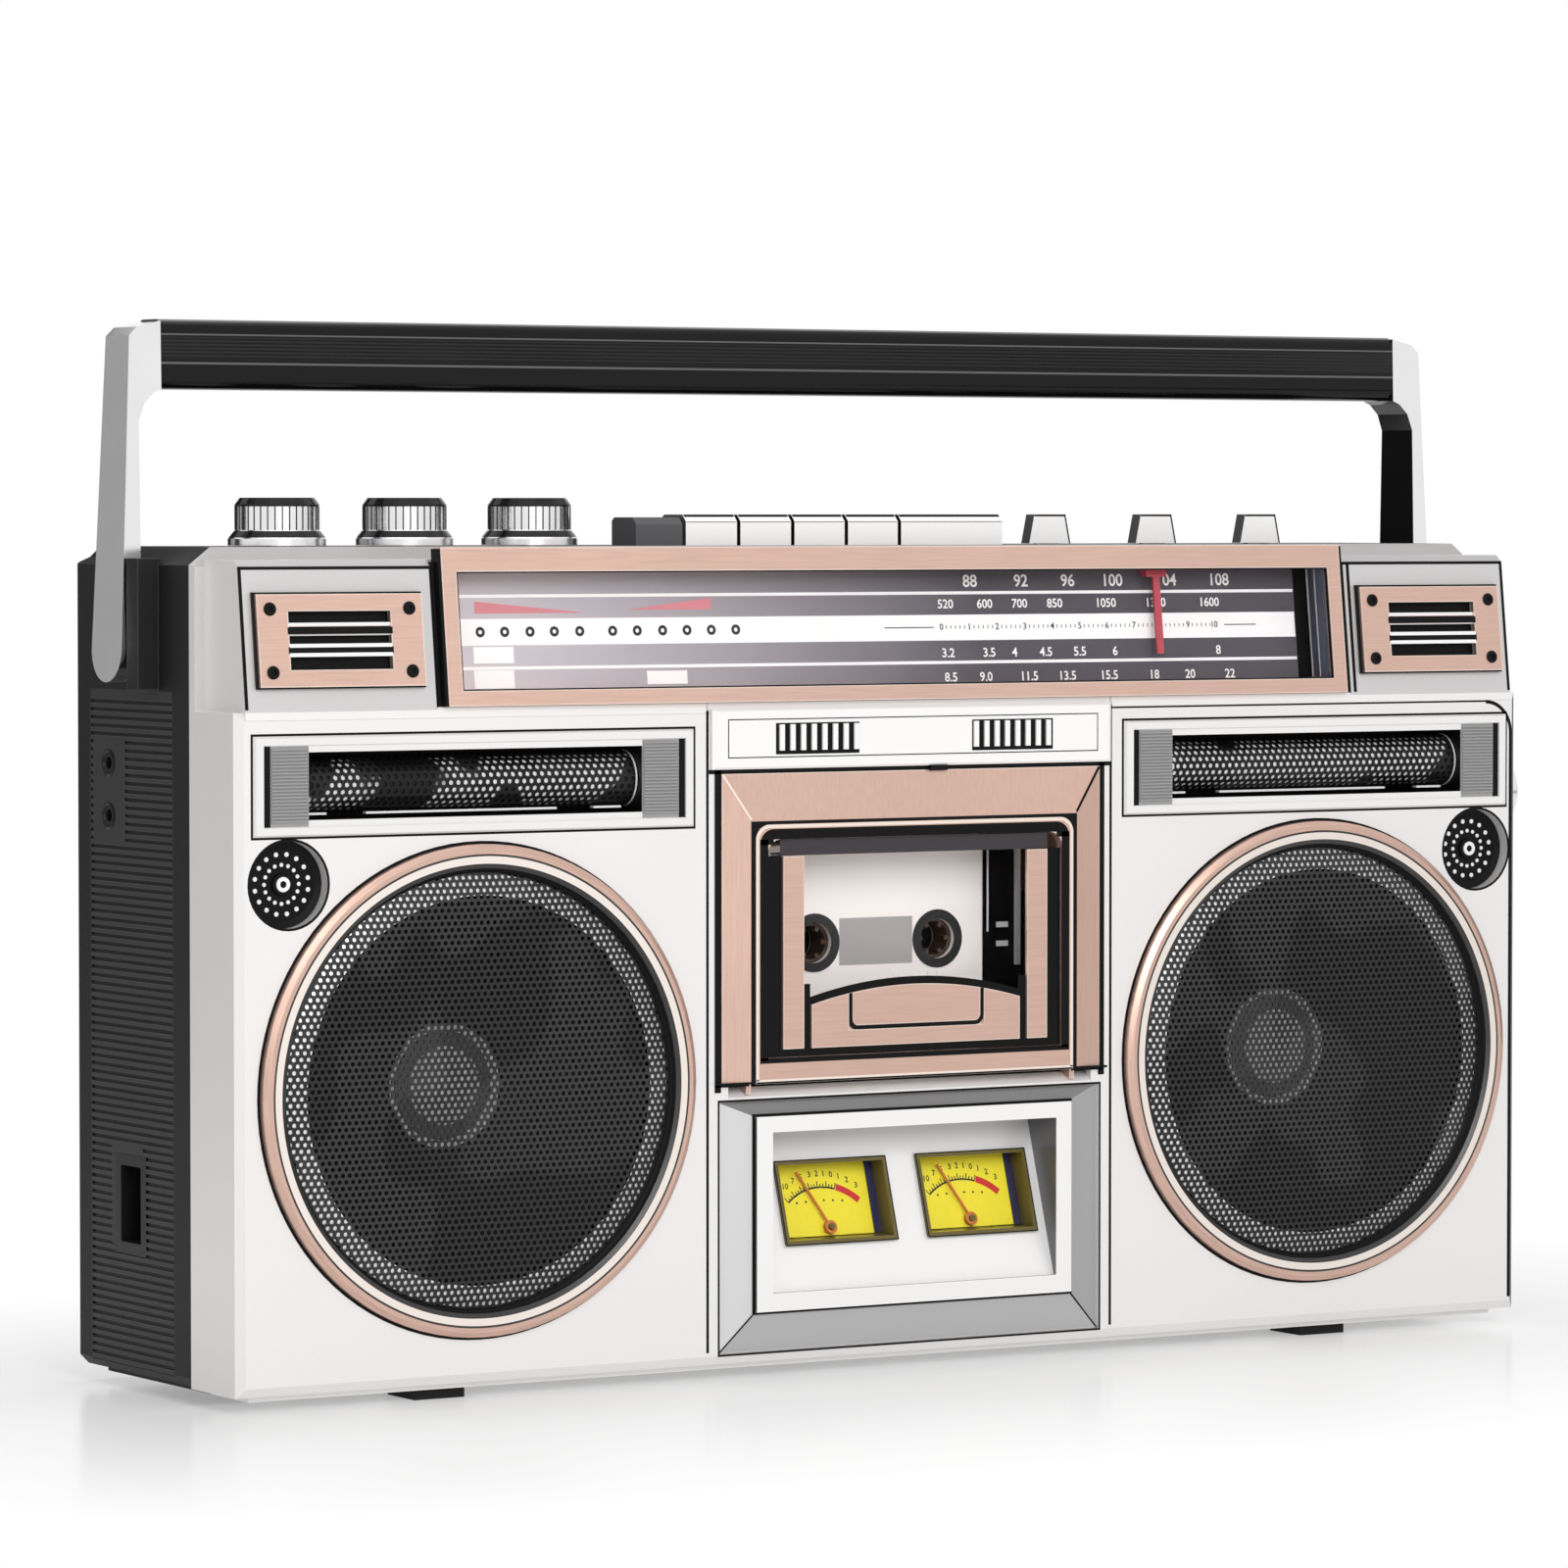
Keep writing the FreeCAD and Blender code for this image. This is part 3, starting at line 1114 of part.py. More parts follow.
def deck_plate():
    """Steel deck behind the well, with the capstan's long bearing."""
    deck = box(centred("2 * (post_x + post_radius)"), (back("well_depth"), back("well_depth + deck_thick")),
               (up("deck_low"), up("deck_high")))
    bearing = rod("y", "2.4 * capstan_radius", (back("well_depth"), back(BEARING_BACK)),
                  ("capstan_x", up("capstan_height")))
    tools = [rod("y", "axle_radius + run_fit", (back("well_depth - 1"), back("well_depth + 9")),
                 (hub_x(side), up(HUB_HEIGHT)))
             for side in SIDES]
    tools.append(rod("y", "capstan_radius + run_fit", (back("well_depth - 1"), back(f"{BEARING_BACK} + 1")),
                     ("capstan_x", up("capstan_height"))))
    tools.append(box(centred("0.6 * bridge_width", TAPE), (back("well_depth - 1"), back("well_depth + 9")),
                     (up("deck_low - 1"), up(f"{TAPE_LOW} - 4"))))
    node("deck_plate", cut(fuse(deck, bearing), *tools, name="DeckPlate"))


def tape_head():
    """Head bridge in its stopped place under the cassette, with the roller's pin."""
    bridge = box(centred("bridge_width", TAPE), (back("tape_setback + 1"), back("well_depth")),
                 (up("deck_low"), up("deck_low + 1.2")))
    reach = (back("tape_setback + 1"), back(f"{TAPE_BACK} - 1"))
    head = box(centred("head_width", TAPE), reach, (up("deck_low + 1"), up("deck_low + head_height")))
    eraser = box(centred("head_width / 2", f"{TAPE} - bridge_width / 3"), reach,
                 (up("deck_low + 1"), up("deck_low + head_height - 2")))
    tab = box(centred("roller_radius", "capstan_x"), (back(f"{TAPE_BACK} - 1"), back(f"{TAPE_BACK} + 1")),
              (up("deck_low + 1"), up("deck_low + head_height")))
    pin = rod("y", "axle_radius", (back("tape_setback + 1.5"), back(TAPE_BACK)),
              ("capstan_x", up(ROLLER_HEIGHT)))
    node("tape_head", fuse(bridge, head, eraser, tab, pin, name="TapeHead"))


def pinch_roller():
    low = f"{TAPE_BACK} - 1.5 - roller_width"
    centre = ("capstan_x", up(ROLLER_HEIGHT))
    wheel = rod("y", "roller_radius", (back(low), back(f"{low} + roller_width")), centre)
    bore = rod("y", "axle_radius + run_fit", (back(f"{low} - 1"), back(f"{low} + roller_width + 1")),
               centre)
    node("pinch_roller", cut(wheel, bore, name="PinchRoller"))


def spindles():
    """Turntables that drive the cassette's hubs."""
    for label, side in (("spindle_left", -1), ("spindle_right", 1)):
        reach = f"{TAPE_BACK} - spindle_reach"
        body = lathe("Spindle", "y", [
            ("0", f"{reach}"), ("spindle_radius - 1", f"{reach}"), ("spindle_radius", f"{reach} + 1"),
            ("spindle_radius", f"{TAPE_BACK} + 1.6"), ("turntable_radius", f"{TAPE_BACK} + 1.6"),
            ("turntable_radius", "well_depth - 0.4"), ("axle_radius", "well_depth - 0.4"),
            ("axle_radius", "well_depth + deck_thick + 3"), ("0", "well_depth + deck_thick + 3"),
        ], (hub_x(side), up(HUB_HEIGHT)), FRONT)
        node(label, body)


def capstan():
    wheel = f"{BEARING_BACK} + 1"
    node("capstan_flywheel", lathe("CapstanFlywheel", "y", [
        ("0", f"{TAPE_BACK} + 1"), ("capstan_radius", f"{TAPE_BACK} + 1"), ("capstan_radius", wheel),
        ("flywheel_radius", wheel), ("flywheel_radius", f"{wheel} + flywheel_width"),
        ("0", f"{wheel} + flywheel_width"),
    ], ("capstan_x", up("capstan_height")), FRONT))


def motor():
    """Tape motor on the rear of the deck, its pulley, and the drive belt."""
    centre = ("motor_x", up("motor_height"))
    can = rod("y", "motor_radius", (back("well_depth + deck_thick"), back(f"{BEARING_BACK} - 1")), centre)
    shaft = rod("y", "1", (back(f"{BEARING_BACK} - 2"), back(f"{BEARING_BACK} + flywheel_width + 1")),
                centre)
    node("drive_motor", fuse(can, shaft, name="DriveMotor"))
    wheel = f"{BEARING_BACK} + 1"
    pulley = rod("y", "pulley_radius", (back(wheel), back(f"{wheel} + flywheel_width")), centre)
    bore = rod("y", "1 + run_fit", (back(f"{wheel} - 1"), back(f"{wheel} + flywheel_width + 1")), centre)
    node("motor_pulley", cut(pulley, bore, name="MotorPulley"))


def belt_path():
    """Outer and inner outlines of the belt as one ring, worked out from the two wheels."""
    small = SIZES["pulley_radius"] + SIZES["belt_gap"]
    large = SIZES["flywheel_radius"] + SIZES["belt_gap"]
    run_x = SIZES["capstan_x"] - SIZES["motor_x"]
    run_z = SIZES["capstan_height"] - SIZES["motor_height"]

    def loop(extra):
        first, second = small + extra, large + extra
        start, end = Vector(0, 0, 0), Vector(run_x, 0, run_z)
        line = end - start
        unit = Vector(line).normalize()
        across = Vector(-unit.z, 0, unit.x)
        tip = (second - first) / line.Length
        rise = (1 - tip * tip) ** 0.5
        edges = []
        touch = []
        for sign in (1, -1):
            direction = across * (sign * rise) - unit * tip
            touch.append((start + direction * first, end + direction * second))
        edges.append(Part.LineSegment(touch[0][0], touch[0][1]).toShape())
        edges.append(Part.Arc(touch[0][1], end + unit * second, touch[1][1]).toShape())
        edges.append(Part.LineSegment(touch[1][1], touch[1][0]).toShape())
        edges.append(Part.Arc(touch[1][0], start - unit * first, touch[0][0]).toShape())
        return Part.Face(Part.Wire(edges))

    ring = loop(SIZES["belt_thick"]).cut(loop(0))
    return ring.extrude(Vector(0, 2, 0))


def drive_belt():
    belt = DOC.addObject("Part::Feature", "DriveBelt")
    belt.Shape = belt_path()
    bind(belt, "Placement.Base.x", "motor_x")
    bind(belt, "Placement.Base.y", back(f"{BELT_BACK} - 1"))
    bind(belt, "Placement.Base.z", up("motor_height"))
    node("drive_belt", belt)


# ---------------------------------------------------------------- meters
def recess_depth(height):
    """Depth of the leaning meter plate at a height."""
    run = "(recess_deep - recess_shallow) / (recess_high - recess_low)"
    return f"(recess_shallow + (({height}) - recess_low) * {run})"


def meter_panel():
    """Silver panel with a sloping surround and a plate that leans back inside its frame."""
    height = (up("panel_low"), up("panel_high"))
    edge = taper(centred("frame_width"), (up("frame_low"), up("frame_high")), centred("panel_width"),
                 height,
                 (back("-panel_rise"), back("panel_edge")))
    slab = box(centred("panel_width"), (back("panel_edge"), back("wall")), height)
    flange = box(centred("panel_width + 2 * wall"), (back("wall"), back("1.6 * wall")), height)
    frame = box(centred("frame_width"), (back("-frame_proud"), back("panel_edge")),
                (up("frame_low"), up("frame_high")))
    tub = prism("x", [
        (back("wall"), up("recess_low - wall")),
        (back(recess_depth("recess_low") + " + 2 * wall"), up("recess_low - wall")),
        (back(recess_depth("recess_high") + " + wall"), up("recess_high + wall")),
        (back("wall"), up("recess_high + wall")),
    ], centred("recess_width + 2 * wall"), "MeterTub")
    recess = prism("x", [
        (back("-frame_proud - 1"), up("recess_low")), (back(recess_depth("recess_low")), up("recess_low")),
        (back(recess_depth("recess_high")), up("recess_high")),
        (back("-frame_proud - 1"), up("recess_high")),
    ], centred("recess_width"), "MeterRecess")
    holes = [meter_block(index, "-2 * wall", "3 * wall", "0") for index in range(2)]
    node("meter_panel", cut(fuse(edge, slab, flange, frame, tub), recess, *holes, name="MeterPanel"))


def meter_x(index):
    return f"meter_left + {index} * meter_pitch"


def meter_block(index, near, far, inset):
    """A block standing square to the leaning plate at one meter's place."""
    low, high = f"meter_low + {inset}", f"meter_high - {inset}"
    return prism("x", [
        (back(f"{recess_depth(low)} + {near}"), up(low)), (back(f"{recess_depth(low)} + {far}"), up(low)),
        (back(f"{recess_depth(high)} + {far}"), up(high)),
        (back(f"{recess_depth(high)} + {near}"), up(high)),
    ], centred(f"meter_width - 2 * ({inset})", meter_x(index)), "MeterBlock")


def stand_on_plate(item, index):
    """Turn an item made at the origin to stand square to the plate, at one meter's pivot."""
    height = "meter_low + needle_foot"
    item.Placement.Rotation = Rotation(Vector(-1, 0, 0), 17)
    bind(item, "Placement.Rotation.Angle",
         "atan((recess_deep - recess_shallow) / (recess_high - recess_low))")
    bind(item, "Placement.Base.x", meter_x(index))
    bind(item, "Placement.Base.y", back(f"{recess_depth(height)} + meter_depth - 2 - needle_behind"))
    bind(item, "Placement.Base.z", up(height))
    return item


def meters():
    """Level meters: open case, clear window, and a needle on a pivot pin."""
    cases, windows = [], []
    for index in range(2):
        case = meter_block(index, "-meter_proud", "meter_depth", "0.1")
        hollow = meter_block(index, "-meter_proud - 1", "meter_depth - 2", "1.2")
        pin = rod("y", "needle_pin", ("-needle_thick", "needle_behind + 2"), ("0", "0"))
        pin = stand_on_plate(group(pin), index)
        cases.append(fuse(cut(case, hollow), pin))
        windows.append(meter_block(index, "-meter_proud + 0.1", "0.7 - meter_proud", "1.3"))
    node("meter_cases", group(*cases, name="MeterCases"))
    node("meter_windows", group(*windows, name="MeterWindows"))
    for index, label in enumerate(("needle_left", "needle_right")):
        eye = rod("y", "2 * needle_pin", ("0", "needle_thick * 2"), ("0", "0"))
        bore = rod("y", "needle_pin + run_fit", ("-1", "needle_thick * 2 + 1"), ("0", "0"))
        blade = DOC.addObject("Part::Box", "NeedleBlade")
        bind(blade, "Length", "needle_thick")
        bind(blade, "Width", "needle_thick")
        bind(blade, "Height", "needle_length - 1.5 * needle_pin")
        blade.Placement.Rotation = Rotation(Vector(0, -1, 0), 28)
        bind(blade, "Placement.Rotation.Angle", "needle_rest")
        bind(blade, "Placement.Base.x",
             "-1.5 * needle_pin * sin(needle_rest) - needle_thick / 2 * cos(needle_rest)")
        bind(blade, "Placement.Base.z",
             "1.5 * needle_pin * cos(needle_rest) - needle_thick / 2 * sin(needle_rest)")
        needle = cut(fuse(eye, blade), bore, name=label.title().replace("_", ""))
        node(label, stand_on_plate(needle, index))


# ---------------------------------------------------------------- controls
def keys():
    """Six piano keys; each has a stem that the shelf guides."""
    for index, label in enumerate(KEYS):
        low, high = key_span(index)
        crown = "key_height" if index else "key_height - 0.8"
        front, rear = back(KEY_DEPTH[0]), back(KEY_DEPTH[1])
        cap = prism("x", [
            (front, up("top_height - wall - 2")), (rear, up("top_height - wall - 2")),
            (rear, up(f"top_height + {crown} - 1")), (f"{rear} - 1.5", up(f"top_height + {crown}")),
            (f"{front} + 2", up(f"top_height + {crown}")), (front, up(f"top_height + {crown} - 2")),
        ], (low, high), "KeyCap")
        stem = box(centred("stem_width", key_middle(index)),
                   (back("control_depth - stem_thick / 2"), back("control_depth + stem_thick / 2")),
                   (up("top_height - wall - stem_length"), up("top_height - wall - 1")))
        node(f"key_{label}", fuse(cap, stem, name=f"Key{label.title()}"))


def knobs():
    """Three knurled knobs with flared skirts and their shafts."""
    for index, label in enumerate(("volume", "balance", "tone")):
        radius, skirt, height = "knob_radius", "knob_skirt", "knob_height"
        node(f"knob_{label}", lathe(f"Knob{label.title()}", "z", [
            ("0", "-2 * wall"), ("shaft_radius", "-2 * wall"), ("shaft_radius", "lift"), (skirt, "lift"),
            (skirt, f"{height} * 0.16"), (radius, f"{height} * 0.34"), (radius, f"{height} - 1.9"),
            (f"{radius} - 1.4", height), ("0", height),
        ], (f"knob_left + {index} * knob_pitch", back("control_depth")), SHELL_TOP))


def levers():
    """Three slide switches with tapered finger tabs."""
    for index, label in enumerate(("function", "band", "mode")):
        middle = f"lever_left + {index} * lever_pitch"
        low, high = up("top_height + lift"), up("top_height + lever_height")
        tab = prism("y", [
            (f"{middle} - lever_foot / 2", low), (f"{middle} + lever_foot / 2", low),
            (f"{middle} + lever_crown / 2", high), (f"{middle} - lever_crown / 2", high),
        ], (back("control_depth - lever_thick / 2"), back("control_depth + lever_thick / 2")), "LeverTab")
        stem = box(centred("stem_width", middle),
                   (back("control_depth - stem_thick / 2"), back("control_depth + stem_thick / 2")),
                   (up("top_height - 2 * wall"), up("top_height + 1")))
        node(f"lever_{label}", fuse(tab, stem, name=f"Lever{label.title()}"))


def tuning_knob():
    node("tuning_knob", lathe("TuningKnob", "x", [
        ("0", "-tuning_shaft"), ("shaft_radius", "-tuning_shaft"), ("shaft_radius", "lift"),
        ("tuning_radius", "lift"),
        ("tuning_radius", "tuning_proud - 0.8"), ("tuning_radius - 0.8", "tuning_proud"),
        ("0", "tuning_proud"),
    ], (back("tuning_depth"), up("tuning_height")), FULL_HALF))


# ---------------------------------------------------------------- handle
def handle():
    """Grip bar between two arms that turn on the sides of the cabinet."""
    body = DOC.addObject("PartDesign::Body", "HandleGrip")
    sketch = body.newObject("Sketcher::SketchObject", "GripSection")
    sketch.AttachmentSupport = [(origin_plane(body, "YZ_Plane"), "")]
    sketch.MapMode = "FlatFace"
    half = "grip_depth / 2"
    draw(sketch,
         [(f"-{half}", "grip_low"), (half, "grip_low"), (half, "grip_high"), (f"-{half}", "grip_high")])
    pad = body.newObject("PartDesign::Pad", "GripBar")
    pad.Profile = sketch
    pad.Midplane = True
    bind(pad, "Length", "grip_length")
    DOC.recompute()
    long_edges = [f"Edge{number}" for number, edge in enumerate(pad.Shape.Edges, start=1)
                  if edge.BoundBox.XLength > 1]
    rounded = body.newObject("PartDesign::Fillet", "GripRound")
    rounded.Base = (pad, long_edges)
    bind(rounded, "Radius", "grip_round")
    body.Tip = rounded
    bind(body, "Placement.Base.y", back("handle_depth"))
    bind(body, "Placement.Base.z", up("0"))
    node("handle_grip", body)
    for side, label in ((-1, "handle_arm_left"), (1, "handle_arm_right")):
        foot = "pivot_height - arm_foot"
        grip_end = "grip_length / 2 + 0.1"
        outline = [("arm_inner", foot), ("arm_top + arm_splay", foot), ("arm_top", "arm_shoulder"),
                   ("arm_top - 2.5", "arm_shoulder + 2.5"), (grip_end, "grip_high - 0.5"),
                   (grip_end, "grip_low"),
                   (f"{grip_end} + 2.4", "grip_low - 1"), ("arm_inner - 1.8", "grip_low - 4"),
                   ("arm_inner", "grip_low - 9")]
        outline = [(f"{side} * ({x})", up(z)) for x, z in outline]
        front = prism("y", outline, (back("handle_depth - 12"), back("handle_depth + 12")), "ArmFront")
        profile = prism("x", [
            (back("handle_depth - arm_foot"), up("pivot_height")),
            (back("handle_depth + arm_foot"), up("pivot_height")),
            (back("handle_depth + arm_crown"), up("grip_high")),
            (back("handle_depth - arm_crown"), up("grip_high")),
        ], side_span(side, "grip_length / 2 - 2", "arm_top + arm_splay + 1"), "ArmSide")
        heel = rod("x", "arm_foot", side_span(side, "arm_inner - 2", "arm_top + arm_splay + 1"),
                   (back("handle_depth"), up("pivot_height")))
        blade = common(front, fuse(profile, heel))
        pin = rod("x", "pivot_radius", side_span(side, "arm_inner - 6", "arm_inner + 1"),
                  (back("handle_depth"), up("pivot_height")))
        node(label, fuse(blade, pin, name=label.title().replace("_", "")))


# ---------------------------------------------------------------- rear and inside
def battery_cover():
    hinge = (back("depth - cover_round"), up(COVER_HINGE))
    plate = box(centred(f"2 * {COVER_HALF}"), (back("depth - 2 * cover_round"), REAR),
                (up(COVER_HINGE), up("bay_high + cover_lap")))
    barrel = rod("x", "cover_round", centred(f"2 * {COVER_HALF}"), hinge)
    pin = rod("x", "cover_pin", centred(f"2 * ({COVER_HALF} + 2)"), hinge)
    catch = box(centred("18"), (back("depth - 2 * cover_round - 3"), back("depth - cover_round")),
                (up("bay_high - 3"), up("bay_high - 1.6")))
    node("battery_cover", fuse(plate, barrel, pin, catch, name="BatteryCover"))


def antenna():
    """Folding mast that lies in the rear rebate, with a telescoping tip."""
    depth = "depth - rebate / 2"
    height = "top_height - rebate / 2"
    centre = (back(depth), up(height))
    start, end = "mast_x - mast_length", "mast_x + mast_radius"
    tube = rod("x", "mast_radius", (start, end), centre)
    bore = rod("x", "tip_radius + run_fit", (f"{start} - 1", "mast_x - 6"), centre)
    eye = rod("y", "0.4 * mast_radius + run_fit",
              (back(f"{depth} - mast_radius - 1"), back(f"{depth} + mast_radius + 1")),
              ("mast_x", up(height)))
    node("antenna_mast", cut(tube, bore, eye, name="AntennaMast"))
    rod_part = rod("x", "tip_radius", (f"{start} - 1", "mast_x - 7"), centre)
    cap = rod("x", "mast_radius", (f"{start} - tip_cap - 0.3", f"{start} - 0.3"), centre)
    node("antenna_tip", fuse(rod_part, cap, name="AntennaTip"))


def mast_pin():
    """Pin that the mast folds on, held by the rear moulding."""
    return rod("y", "0.4 * mast_radius",
               (back("depth - rebate - 1"), back("depth - rebate / 2 + mast_radius + 1")),
               ("mast_x", up("top_height - rebate / 2")))


def main_board():
    """Circuit board with its transformer, heat sink and capacitors."""
    rear = "board_depth + board_thick"
    parts = [box(centred("board_width"), (back("board_depth"), back(rear)),
                 (up("board_low"), up("board_high")))]

    def stand(left, width, reach, low, tall):
        """A block that stands on the rear face of the board."""
        return box((left, f"{left} + {width}"), (back(f"{rear} - seam"), back(f"{rear} + {reach}")),
                   (up(f"board_low + {low}"), up(f"board_low + {low} + {tall}")))

    parts.append(stand("coil_left", "coil_width", "coil_reach", "coil_low", "coil_tall"))
    parts.append(stand("sink_left", "sink_width", "sink_base", "sink_low", "sink_width"))
    parts += [stand(f"sink_left + {index} * fin_pitch", "fin_thick", "sink_reach", "sink_low", "sink_width")
              for index in range(5)]
    for index in range(6):
        parts.append(rod("y", "can_radius", (back(f"{rear} - seam"), back(f"{rear} + can_reach")),
                         (f"can_left + {index} * can_pitch", up("board_low + can_height"))))
    node("main_board", fuse(*parts, name="MainBoard"))


def sockets():
    """Mains inlet and the two round jacks on the left side."""
    outer = f"-({FULL_HALF})"
    depth = ("inlet_depth - inlet_wide / 2", "inlet_depth + inlet_wide / 2")
    height = ("inlet_height - inlet_tall / 2", "inlet_height + inlet_tall / 2")
    body = box((outer, f"{outer} + inlet_reach + 3"),
               (back(f"{depth[0]} - inlet_border + 0.1"), back(f"{depth[1]} + inlet_border - 0.1")),
               (up(f"{height[0]} - inlet_border + 0.1"), up(f"{height[1]} + inlet_border - 0.1")))
    mouth = box((f"{outer} - 1", f"{outer} + inlet_reach"), (back(depth[0]), back(depth[1])),
                (up(height[0]), up(height[1])))
    pins = [rod("x", "inlet_pin", (f"{outer} + inlet_reach - pin_reach", f"{outer} + inlet_reach + 1"),
                (back("inlet_depth"), up(f"inlet_height + {side} * pin_spread")))
            for side in SIDES]
    node("mains_inlet", fuse(cut(body, mouth), *pins, name="MainsInlet"))
    jacks = []
    for level in ("jack_high", "jack_low"):
        centre = (back("jack_depth"), up(level))
        nose = rod("x", "jack_ring - 0.1", (outer, f"{outer} + wall + 1"), centre)
        barrel = box((f"{outer} + wall + 0.1", f"{outer} + jack_length"),
                     (back("jack_depth - jack_body"), back("jack_depth + jack_body")),
                     (up(f"{level} - jack_body"), up(f"{level} + jack_body")))
        bore = rod("x", "jack_bore", (f"{outer} - 1", f"{outer} + jack_length - 1.5"), centre)
        jacks.append(cut(fuse(nose, barrel), bore))
    node("phone_jacks", group(*jacks, name="PhoneJacks"))


# ---------------------------------------------------------------- build
def check():
    """Stop if any feature failed or any sub-part is not a sound solid."""
    faults = [f"{item.Name} ({item.Label}): {item.State}" for item in DOC.Objects
              if {"Invalid", "Error"} & set(item.State)]
    for item in NODES:
        shape = item.Shape
        if shape.isNull() or not shape.isValid() or not shape.Solids:
            faults.append(f"{item.Label}: its shape is not a valid solid")
    if faults:
        raise RuntimeError("\n".join(faults))


def export():
    os.makedirs("parts", exist_ok=True)
    for item in NODES:
        item.Shape.exportStep(os.path.join("parts", item.Label + ".step"))
        print(f"{item.Label:20s} solids {len(item.Shape.Solids)}  volume {item.Shape.Volume:10.1f}")
    low = min(item.Shape.BoundBox.XMin for item in NODES), min(item.Shape.BoundBox.YMin for item in NODES)
    high = max(item.Shape.BoundBox.XMax for item in NODES), max(item.Shape.BoundBox.YMax for item in NODES)
    tall = max(item.Shape.BoundBox.ZMax for item in NODES)
    print("box", [round(value, 2) for value in (*low, *high, tall)], "nodes", len(NODES))


make_sheet()
for build in (front_shell, rear_shell, rubber_feet, tuner_bezel, dial, dial_pointer, corner_plates,
              name_strip, speakers, horns, mic_grilles, door_bezel, door_frame, door_pane,
              cassette_holder, cassette, deck_plate, tape_head, pinch_roller, spindles, capstan, motor,
              drive_belt, meter_panel, meters, keys, knobs, levers, tuning_knob, handle,
              battery_cover, antenna, main_board, sockets):
    build()
DOC.recompute()
check()
export()
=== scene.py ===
"""Looks of a stereo radio and cassette recorder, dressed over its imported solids."""

import logging
import math
from dataclasses import dataclass
from enum import Enum
from functools import cache
from typing import Callable, Iterable, Optional, Sequence, Union

import bpy
from mathutils import Matrix, Vector


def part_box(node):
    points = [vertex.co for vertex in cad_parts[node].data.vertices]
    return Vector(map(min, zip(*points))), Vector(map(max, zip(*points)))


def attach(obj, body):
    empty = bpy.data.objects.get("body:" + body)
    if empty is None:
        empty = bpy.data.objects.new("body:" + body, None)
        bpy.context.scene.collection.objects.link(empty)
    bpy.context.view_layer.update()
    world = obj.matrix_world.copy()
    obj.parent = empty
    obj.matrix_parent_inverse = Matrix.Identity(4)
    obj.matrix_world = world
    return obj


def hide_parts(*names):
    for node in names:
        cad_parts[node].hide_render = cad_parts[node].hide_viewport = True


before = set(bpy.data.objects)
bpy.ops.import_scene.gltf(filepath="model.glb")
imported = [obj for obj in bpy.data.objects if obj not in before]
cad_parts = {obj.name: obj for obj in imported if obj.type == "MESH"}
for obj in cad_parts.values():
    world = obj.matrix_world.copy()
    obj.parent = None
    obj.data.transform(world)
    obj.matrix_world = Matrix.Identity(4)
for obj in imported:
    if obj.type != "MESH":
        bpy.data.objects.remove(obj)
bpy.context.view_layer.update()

log = logging.getLogger("recorder")

Node = bpy.types.Node
Socket = bpy.types.NodeSocket
Sockets = bpy.types.bpy_prop_collection
Tree = bpy.types.NodeTree
Mesh = bpy.types.Mesh
Pair = tuple[float, float]
Colour = tuple[float, float, float]
Place = tuple[float, float, float]
Rect = tuple[Pair, Pair]
Input = Union[Socket, float, int, Sequence[float]]
Depth = Union[float, Callable[[float], float]]

FACE_FRONT = 48.5
FACE_FOOT = 7.5
SLOPE_START = 187.0
TILT = math.radians(6.8)
SLOPE = math.tan(TILT)
SKIN = 0.06
WOOFER_X, WOOFER_HEIGHT = 143.7, 79.6
MICROPHONE_X, MICROPHONE_HEIGHT = 203.9, 139.0
SHELL_SIDE = 219.8
DUST = (0.5, 0.48, 0.45)
SIDES = ((-1, "left"), (1, "right"))


def spot(x: float, depth: float, height: float) -> Vector:
    """Turn millimetres from the foot of the face's middle, rightwards, back and up, into metres."""
    return Vector((x, depth - FACE_FRONT, height + FACE_FOOT)) / 1000


def lean(depth: float, height: float) -> float:
    """Depth behind the upright face of a point at a depth behind the tuner's leaning one, in mm."""
    return depth + (height - SLOPE_START) * SLOPE


def across(side: int, near: float, far: float) -> Pair:
    """Left and right ends of a piece from near to far on one side, -1 or 1, of the middle."""
    return (near, far) if side > 0 else (-far, -near)


def beside(side: int, rect: Rect) -> Rect:
    """Put a rectangle, of near and far ends and of heights, on one side of the middle."""
    return across(side, *rect[0]), rect[1]


def leaning(depth: float) -> Callable[[float], float]:
    """Depth of a layer along the tuner's leaning face, as a function of the height."""
    return lambda height: lean(depth, height)


def depth_at(depth: Depth, height: float) -> float:
    """Depth of a layer at a height, where it is given as a number or as a function of the height."""
    return depth(height) if callable(depth) else depth


def tint(red: int, green: int, blue: int) -> Colour:
    """Linear colour of a shade given in display numbers from 0 to 255."""
    shares = (value / 255 for value in (red, green, blue))
    return tuple(v / 12.92 if v <= 0.04045 else ((v + 0.055) / 1.055) ** 2.4 for v in shares)


